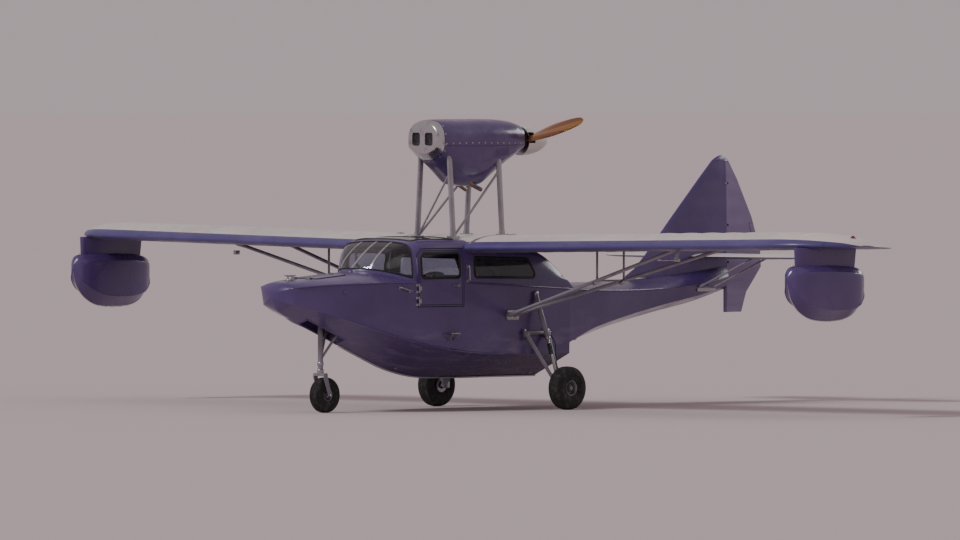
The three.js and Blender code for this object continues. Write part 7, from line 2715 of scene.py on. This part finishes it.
def mirrored_copy(thing, name):
    """The starboard piece: the same mesh with x turned over and its faces turned back out."""
    work = bmesh.new()
    work.from_mesh(thing.data)
    bmesh.ops.scale(work, vec=(-1, 1, 1), verts=work.verts)
    bmesh.ops.reverse_faces(work, faces=work.faces)
    mesh = bpy.data.meshes.new(name)
    work.to_mesh(mesh)
    work.free()
    mesh.materials.append(seat_cloth)
    smooth(mesh)
    other = bpy.data.objects.new(name, mesh)
    bpy.context.scene.collection.objects.link(other)
    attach(other, "airframe")
    pieces[name] = other
    return other


for kind, corners, half, cap in (("cushion", CUSHION, 205, 16), ("back", BACK, 196, 18)):
    pad = piece(f"seat_left_{kind}", "airframe", stuffed(corners, half, 22), seat_cloth)
    blow_up(pad, cap)
    channels(pad)
    for cover in (pad, mirrored_copy(pad, f"seat_right_{kind}")):
        print(cover.name, "faces:", len(cover.data.polygons))

# %% [markdown]
# The tub is folded sheet with rolled edges, so it is one surface with Solidify for its gauge. Harness webbing
# is flat, and lies on the cushions: rays cast on the finished cushion give the height of each of its points.

# %% Seat tubs and harnesses
PLANK_REACH = 54.0


def tub():
    """A seat's tub widens upwards and stays inside the hull's planking; a curved sheet stands behind."""
    plan = rounded(-198, -1004, 198, -566, 50, 8, 8)
    levels = np.linspace(0, 1, 7) ** 0.8
    rows = []
    for k in levels:
        lean = np.column_stack([plan[:, 0] * (0.86 + 0.14 * k), plan[:, 1] + 18 * k * (plan[:, 1] > -700)])
        height = np.full(len(plan), 203 + 128 * k)
        room = hull_x(lean[:, 1], height) - PLANK_REACH
        rows.append(np.column_stack([np.minimum(SEAT_X + lean[:, 0], room), lean[:, 1], height]))
    rows = np.array(rows)
    shell = grid(rows, wrap=True)
    u = np.linspace(-1, 1, 25)
    v = np.linspace(0, 1, 22)[:, None]
    width = 200 * np.minimum(1, 1.35 * (1 - v) + 0.72)
    s = -545 + 132 * v + 10 * (1 - u[None, :] ** 2) * (1 - v)
    z = 338 + 742 * v - 40 * u[None, :] ** 4 * v ** 3
    back = grid(np.stack([SEAT_X + u[None, :] * width, s, z], -1))
    return [shell, back]


def webbing(points, wide, up):
    """A flat strap 2 mm thick through the points; up holds the direction its face looks."""
    points = smooth_curve(points, 6)
    along = np.gradient(points, axis=0)
    along /= np.linalg.norm(along, axis=1)[:, None]
    face = np.asarray(up, float) - along * (along @ np.asarray(up, float))[:, None]
    face /= np.linalg.norm(face, axis=1)[:, None]
    side = np.cross(along, face)
    return loft(np.stack([points + side * a + face * b for a, b in (
        (-wide / 2, 0), (wide / 2, 0), (wide / 2, 2.2), (-wide / 2, 2.2))], 1))


def laid(thing, points, toward, lift=3.0):
    """Moves points along a direction until they meet the cushion, then lifts them off it."""
    tree = BVHTree.FromObject(thing, bpy.context.evaluated_depsgraph_get())
    down = np.asarray(toward, float) / np.linalg.norm(toward)
    out = []
    for point in np.asarray(points, float):
        start = in_frame((point - 90 * down)[None])[0]
        hit = tree.ray_cast(Vector(start), Vector(down), 0.4)[0]
        out.append(point if hit is None else point + down * ((Vector(start) - hit).length / MM - 90 - lift))
    return np.array(out)


shoulder = laid(pieces["seat_left_back"], [
    [SEAT_X + 68, s, z] for s, z in ((-446, 1040), (-470, 980), (-490, 880), (-510, 760), (-530, 640),
                                     (-550, 540))], (0, 1, -0.1))
over_top = laid(pieces["seat_left_back"], [[SEAT_X + 66, s, 1080] for s in (-440, -464)], (0, 0, -1))
shoulder = np.concatenate([[[SEAT_X + 62, -404, 1040], [SEAT_X + 64, -414, 1068]], over_top, shoulder])
lap = laid(pieces["seat_left_cushion"], [
    [SEAT_X + x, -640 - 70 * (1 - abs(x) / 190), 440]
    for x in (-178, -120, -60, 0, 60, 120, 178)], (0, 0, -1))
lap = np.concatenate([[[SEAT_X - 204, -600, 380]], lap, [[SEAT_X + 204, -600, 380]]])
two_straps = [shoulder, shoulder * [-1, 1, 1] + [2 * SEAT_X, 0, 0]]
buckle = lap[4]
buckle_box = loft(np.stack([np.column_stack([
    rounded(-34, -26, 34, 26, 8, 4, 2) * k + buckle[:2],
    np.full(24, buckle[2] + h)]) for k, h in ((1, -1), (1, 7), (0.86, 10))]))
for name, turn in SIDES.items():
    piece(f"seat_{name}_tub", "airframe", tub(), cast_metal, replaces=[f"seat_{name}"],
          wall=2.0, turn=turn)
    straps = [webbing(points, 44, (0, -1, 0.4)) for points in two_straps] + [webbing(lap, 46, (0, 0, 1))]
    piece(f"seat_{name}_harness", "airframe", [*straps, (buckle_box, 1)],
          [webbing_grey, stainless], turn=turn)

# %% [markdown]
# The two control columns rise from rubber gaiters on the floor and share a torque tube. Each grip is moulded
# with finger dips, so its radius is a sum of cosines along it. Four toe pedals hang ahead of them.

# %% Control columns and pedals
FLOOR_TOP = 200.3
STICK_S = -1180.0


def column(x):
    """Tube, grip and folded gaiter of one control column."""
    path = smooth_curve([[x, STICK_S, 238], [x, STICK_S + 10, 330], [x, STICK_S + 38, 450],
                         [x, STICK_S + 60, 560]], 8)
    t = np.linspace(0, 1, 30)
    swell = 14.5 + 2.2 * np.cos(8 * math.pi * t) + 3 * np.cos(math.pi * (t - 0.1)) ** 2
    swell[[0, -1]] *= 0.45
    swell[[1, -2]] *= 0.85
    grip = np.column_stack([np.full(30, x), STICK_S + 58 + 20 * t, 540 + 138 * t])
    k = np.linspace(0, 1, 25)
    folds = 34 - 18 * k + 4 * np.cos(10 * math.pi * k)
    gaiter = np.column_stack([k * 62, folds])
    gaiter = np.concatenate([[[0, 2]], gaiter, [[62, 2]]])
    return [(tube(path, 11, 16), 0), (tube(grip, swell, 20), 1),
            (turned(gaiter, (x, STICK_S, FLOOR_TOP + 0.7), (0, 0, 1), 32), 1)]


def pedal(x):
    """A toe pedal: a ribbed pad on an arm that hangs from the cross tube."""
    patches = [(block((x - 38, -1352, 372), (x + 38, -1340, 436)), 0)]
    patches += [(block((x - 36, -1341, z), (x + 36, -1337, z + 5)), 1) for z in range(378, 432, 12)]
    return patches + [(tube([[x, -1346, 400], [x, -1352, 470], [x, -1330, 562]], 8, 14), 0),
                      (rod([x - 22, -1330, 566], [x + 22, -1330, 566], 18, 24), 0)]


piece("control_columns", "airframe",
      [*column(200), *column(-200), (rod([-200, STICK_S, 240], [200, STICK_S, 240], 12, 20), 0)],
      [stainless, tyre_rubber], replaces=["control_sticks"])
piece("rudder_pedals", "airframe",
      [patch for x in (150, 300, -150, -300) for patch in pedal(x)]
      + [(rod([-506, -1330, 566], [506, -1330, 566], 11, 24), 0)], [cast_metal, tyre_rubber], bevel=1.2)

# %% [markdown]
# The instrument panel is a plate of crackle-painted aluminium that the CAD model already has right. On it sit
# the dials. Each is a bezel turned from a small profile, a black face, printed ticks, a needle and a glass.

# %% Instruments
PANEL_FACE = -1550.0


def dial(x, z, radius, ticks, needle):
    """One round instrument: bezel, face, ticks and needle; angles in degrees, clockwise as seen aft."""
    centre = np.array([x, PANEL_FACE, z])
    bezel = [(0, radius - 5), (0, radius + 6), (6, radius + 5), (8.5, radius + 1), (8, radius - 3),
             (3, radius - 5), (0, radius - 5)]
    face = [(0.3, 0.02), (2.4, 0.02), (2.4, radius - 5.4), (0.3, radius - 5.4)]
    patches = [(turned(bezel, centre, (0, 1, 0), 40), 0), (turned(face, centre, (0, 1, 0), 40), 1)]

    def mark(angle, r0, r1, half, low, high):
        """One printed bar from radius r0 to r1, a little narrower outwards."""
        along = np.array([-math.sin(angle), 0, math.cos(angle)])
        across = np.array([math.cos(angle), 0, math.sin(angle)])
        corners = [centre + along * r + across * w for r, w in ((r0, -half), (r1, -half * 0.6),
                                                                (r1, half * 0.6), (r0, half))]
        return loft([[c + [0, y, 0] for c in corners] for y in (low, high)])

    for angle in np.radians(np.linspace(-140, 140, ticks)):
        patches.append((mark(angle, radius * 0.66, radius * 0.8, 0.9, 2.4, 2.9), 2))
    patches.append((mark(math.radians(needle), -radius * 0.16, radius * 0.6, 1.7, 3.4, 4.2), 2))
    patches.append((turned([(2.4, 0.02), (5.0, 0.02), (5.0, 3.6), (2.4, 3.6)], centre, (0, 1, 0), 16), 0))
    glass = turned([(5.4, 0.02), (6.2, 0.02), (6.2, radius - 4), (5.4, radius - 4)], centre, (0, 1, 0), 40)
    return patches + [(glass, 3)]


def knob(x, z, reach):
    """A push-pull knob on its thin rod."""
    profile = [(0, 0.02), (0, 8), (3, 8), (3, 2.6), (reach, 2.6), (reach, 11), (reach + 5, 14),
               (reach + 14, 13), (reach + 18, 7), (reach + 19, 0.02)]
    return [(turned(profile, (x, PANEL_FACE, z), (0, 1, 0), 24), 4)]


dials = []
for i, x in enumerate((-330, -235, -140, 140, 235, 330)):
    dials += dial(x, 985, 39, 13, -120 + 37 * i)
    dials += dial(x, 885, 39, 9, 80 - 51 * i)
for i, x in enumerate((-42, 42)):
    for j, z in enumerate((1010, 940, 870)):
        dials += dial(x, z, 25, 7, -100 + 40 * i + 30 * j)
for x in (-60, 0, 60):
    dials += knob(x, 792, 26 + abs(x) // 6)
for x in range(-330, -100, 36):
    dials.append((rod([x, PANEL_FACE, 800], [x, PANEL_FACE + 14, 803], 3.2, 12), 4))
piece("panel_dials", "airframe", dials,
      [bright_metal, dial_face, dial_ink, acrylic, stainless])

# %% [markdown]
# The panel plate and the cabin floor keep the CAD shapes and only get their finishes. A ribbed rubber mat
# covers the floor ahead of the seats.

# %% Floor mat and the nodes that stay
mat_s = np.linspace(-1366, -1030, 24)
mat_half = np.minimum(330, hull_x(mat_s, np.full(24, 215.0)) - 60)
mat_u = np.linspace(-1, 1, 24)[None, :]
mat_top = np.stack([mat_half[:, None] * mat_u, np.broadcast_to(mat_s[:, None], (24, 24)),
                    np.full((24, 24), FLOOR_TOP + 3.2)], -1)
piece("cabin_mat", "airframe", grid(mat_top, flip=True), floor_mat, wall=2.6)
for node, material in (("instrument_panel", crackle), ("cabin_floor", cabin_ply)):
    kept = bpy.data.objects[node]
    kept.data.materials.clear()
    kept.data.materials.append(material)
print("cabin:", len(dials), "patches on the panel")

# %% [markdown]
# Fittings on the hull: spray rails under the chines, a rub strake along the sheer, a metal shoe on the keel,
# a hatch in the foredeck with its hinges and catch, and a horn cleat at the bow. Each side also has two grab
# rails, a boarding step under the door, drain plugs and two shell vents.

# %% Rails, strakes and keel


def chine_points(start, end, count):
    """Points along the port chine."""
    s = np.linspace(start, end, count)
    v = hull_lines(s)
    return np.column_stack([v["chine_x"][:, 0], s, v["chine_z"][:, 0]])


def sheer_points(start, end, count):
    """Points along the port sheer, drawn in at the bow as the planking is."""
    s = np.linspace(start, end, count)
    v = hull_lines(s)
    return bow_rounding(np.column_stack([v["sheer_x"][:, 0], s, v["sheer_z"][:, 0]]))


def rail(points, shape):
    """A section (outward, upward) carried along points of the hull's side, tapering at both ends."""
    rings = []
    n = len(points)
    for i, point in enumerate(points):
        t = min(i, n - 1 - i) / (0.06 * n)
        k = min(1.0, 0.15 + 0.85 * t)
        rings.append(np.array([point + (o * k, 0, u * k) for o, u in shape]))
    return loft(rings)


SPRAY = [(-14, 6), (4, 10), (24, -6), (25, -10), (2, -5), (-12, -9)]
STRAKE = [(-6, 9), (4, 9), (10, 5), (12, 0), (10, -5), (4, -9), (-6, -9)]
for name, turn in SIDES.items():
    rails = [rail(chine_points(-2400, -150, 70), SPRAY)]
    strakes = [rail(sheer_points(BOW + 46, DOOR_FRONT - 22, 60), STRAKE),
               rail(sheer_points(DOOR_BACK + 30, STEP + 60, 60), STRAKE),
               rail(sheer_points(CABIN_REAR + 20, STERN - 30, 60), STRAKE)]
    piece(f"hull_rails_{name}", "airframe", rails + strakes, hull_enamel, turn=turn)


def keel_shoe(start, end, count):
    """The metal shoe: 32 mm wide with round edges, laid along the keel line."""
    s = np.linspace(start, end, count)
    keel = hull_lines(s)["keel"][:, 0]
    line = bow_rounding(np.column_stack([np.zeros(count), s, keel]))
    shape = [(-16, 3), (-16, -5), (-12, -9), (0, -10), (12, -9), (16, -5), (16, 3)]
    return loft([np.array([p + (a, 0, b) for a, b in shape]) for p in line])


def well_lip():
    """A half-round bead round the mouth of the nose wheel's well, where the bottom planking is cut."""
    beads = []
    for (x0, y0), (x1, y1) in zip(well_outline[:-1], well_outline[1:]):
        for a, b in ((0, 0.5), (0.5, 1)):
            t = np.linspace(a, b, 14)
            x, y = x0 + (x1 - x0) * t, y0 + (y1 - y0) * t
            z = bottom_height(hull_lines(y), x[:, None])
            beads.append(tube(np.column_stack([x, y, z[:, 0] + 7]), 13, 12))
    return beads


piece("nose_well_lip", "airframe", well_lip(), hull_enamel)
screw_at = [(0, s, float(hull_lines([s])["keel"][0, 0])) for s in np.arange(-1500, STEP - 40, 150)]
screws = [turned([(-10.6, 0), (-10.4, 5), (-9, 5)], at, (0, 0, 1), 10) for at in screw_at]
piece("keel_strip_shoe", "airframe", [keel_shoe(-2050, STEP - 2, 60), *screws], stainless,
      replaces=["keel_strip"])

# %% Deck hatch, cleat and small fittings
HATCH_FRONT, HATCH_BACK, HATCH_HALF = -2560.0, -2120.0, 185.0


def on_deck(x, s, lift=0.0):
    """Points of the foredeck at scattered x and s, lifted straight up."""
    shape = np.shape(x)
    x, s = np.ravel(x), np.ravel(s)
    v = {k: c[:, 0] for k, c in hull_lines(s).items()}
    return np.column_stack([x, s, deck_height(v, x / v["sheer_x"]) + lift]).reshape(*shape, 3)


def deck_plate(outline, lift, rings=5):
    """A plate that follows the deck: its top as shrinking rings, its edge turned down."""
    middle = outline.mean(0)
    layers = [on_deck(outline[:, 0], outline[:, 1], -3), on_deck(outline[:, 0], outline[:, 1], lift - 1.5)]
    for t in np.linspace(1, 0, rings):
        inner = middle + (offset(outline, -1.5) - middle) * t
        layers.append(on_deck(inner[:, 0], inner[:, 1], lift))
    points, faces = grid(np.stack(layers), wrap=True)
    first, second, third = points[faces[0][-1][:3]]
    normal_up = np.cross(second - first, third - first)[2]
    return points, (faces if normal_up >= 0 else [f[:, ::-1] for f in faces])


hatch = rounded(-HATCH_HALF, HATCH_FRONT, HATCH_HALF, HATCH_BACK, 46, 9, 14)
SEAL_SECTION = (1, 0), (6, 5), (12, 5), (15, -2), (1, -2), (1, 0)
hatch_seal = np.stack([on_deck(*offset(hatch, wide).T, high) for wide, high in SEAL_SECTION])
seal_patch = outward(*grid(hatch_seal, wrap=True))
hatch_metal = []
for x in (-110.0, 110.0):
    hatch_metal.append(turned(drum(-34, 34, 6), on_deck(x, HATCH_FRONT - 12, 12), (1, 0, 0), 16))
    for s in (HATCH_FRONT - 34, HATCH_FRONT + 14):
        hatch_metal.append(deck_plate(rounded(x - 26, s - 16, x + 26, s + 16, 6, 4, 3), 9.5, 3))
latch_at = on_deck(0.0, HATCH_BACK - 34, 7)
hatch_metal.append(turned(stud(0, 3, 5, 26, 22), latch_at, (0, 0, 1), 28))
hatch_metal.append(tube([latch_at + (-22, 0, 9), latch_at + (0, 0, 12), latch_at + (22, 0, 9)], 4, 10))
piece("deck_hatch", "airframe",
      [deck_plate(hatch, 7.0), (seal_patch, 1), *numbered(2, *hatch_metal)],
      [hull_enamel, seal_rubber, stainless])

CLEAT_MID, CLEAT_HALF, BAR_Z = -2740.0, 79.0, 1069.0
cleat = [deck_plate(rounded(-34, -2799, 34, -2681, 16, 6, 4), 8.0, 4)]
for s in (-2770.0, -2710.0):
    foot = on_deck(0.0, s, 6)
    post = [(0, 0), (0, 15), (8, 11), (BAR_Z - 3 - foot[2], 10), (BAR_Z + 3 - foot[2], 0)]
    cleat.append(turned(post, foot, (0, 0, 1), 20))
bar_s = np.linspace(CLEAT_MID - CLEAT_HALF, CLEAT_MID + CLEAT_HALF, 17)
bar_t = np.abs(bar_s - CLEAT_MID) / CLEAT_HALF
cleat.append(tube(np.column_stack([0 * bar_s, bar_s, BAR_Z + 4 * bar_t**2]), 8.6 - 3.4 * bar_t**2, 16))
for x in (-24.0, 24.0):
    for s in (-2788.0, -2692.0):
        cleat.append(turned([(0, 0), (0, 6), (1.5, 5), (2.4, 0)], on_deck(x, s, 7.5), (0, 0, 1), 14))
piece("bow_cleat_cast", "airframe", cleat, stainless, replaces=["bow_cleat"])


def hull_surface(y, z, lift):
    """A point on the hull's topside, pushed straight out by lift."""
    return np.array([float(side_x(np.array([y]), np.array([z]))[0]) + lift, y, z])


def grab_rail(points, stand):
    """A round rail on two short posts with round pads."""
    feet = [hull_surface(y, z, 0) for y, z in points]
    tops = [f + (stand, 0, 0) for f in feet]
    way = (tops[1] - tops[0]) / np.linalg.norm(tops[1] - tops[0])
    bend = smooth_curve([feet[0] + (4, 0, 0), tops[0] - way * 2 + (-4, 0, 0), tops[0] + way * 22,
                         tops[1] - way * 22, tops[1] + way * 2 + (-4, 0, 0), feet[1] + (4, 0, 0)], 6)
    pads = [turned(stud(-2, 3, 4.5, 19, 15), f, (1, 0, 0), 20) for f in feet]
    return [tube(bend, 8, 12), *pads]


def vent(y, z):
    """A shell vent: a low scoop with its mouth aft."""
    base = hull_surface(y, z, 0)
    rings = []
    for t in np.linspace(0, 1, 9):
        r = 26 * math.sin(t * math.pi / 2) ** 0.6
        angle = np.linspace(-math.pi / 2, math.pi / 2, 13)
        rings.append(np.column_stack([base[0] - 2 + (r * 0.62) * np.cos(angle), np.full(13, y - 44 + 60 * t),
                                      z + r * np.sin(angle)]))
    return loft(rings)


def drain(y, x):
    """A drain plug in the bottom: a flange and a square head."""
    v = {k: float(c[0, 0]) for k, c in hull_lines([y]).items()}
    z = v["keel"] + (v["chine_z"] - v["keel"]) * x / v["chine_x"]
    slope = math.atan2(v["chine_z"] - v["keel"], v["chine_x"])
    down = np.array([math.sin(slope), 0, -math.cos(slope)])
    return join(turned(stud(-3, 3, 4.5, 24, 20), (x, y, z), down, 28),
                turned(drum(4, 12, 9), (x, y, z), down, 4))


STAND = 34.0
BRACE_LOW = 392.0
step_x = hull_surface(-980.0, 470.0, 0)[0]
tread = loop([[step_x - 8, -1050], [step_x + 88, -1040], [step_x + 88, -920], [step_x - 8, -910]], 18, 6, 6)
metal = [*grab_rail([(-744, 1006), (-744, 1150)], STAND), *grab_rail([(-1700, 940), (-1560, 905)], STAND),
         prism(tread, "z", 462, 472)]
metal += [rod((step_x + 78, s, 464), hull_surface(s, BRACE_LOW, -4), 7, 12) for s in (-1024.0, -936.0)]
metal += [drain(s, 70.0) for s in (-1300.0, 640.0, 1300.0)]
vents = [vent(-2380.0, 900.0), vent(1500.0, 900.0)]
for name, turn in SIDES.items():
    piece(f"hull_fittings_{name}", "airframe", [*metal, *numbered(1, *vents)],
          [stainless, hull_enamel], turn=turn)
print("fittings:", [n for n in pieces if n.startswith(("hull_", "keel", "deck", "bow"))])
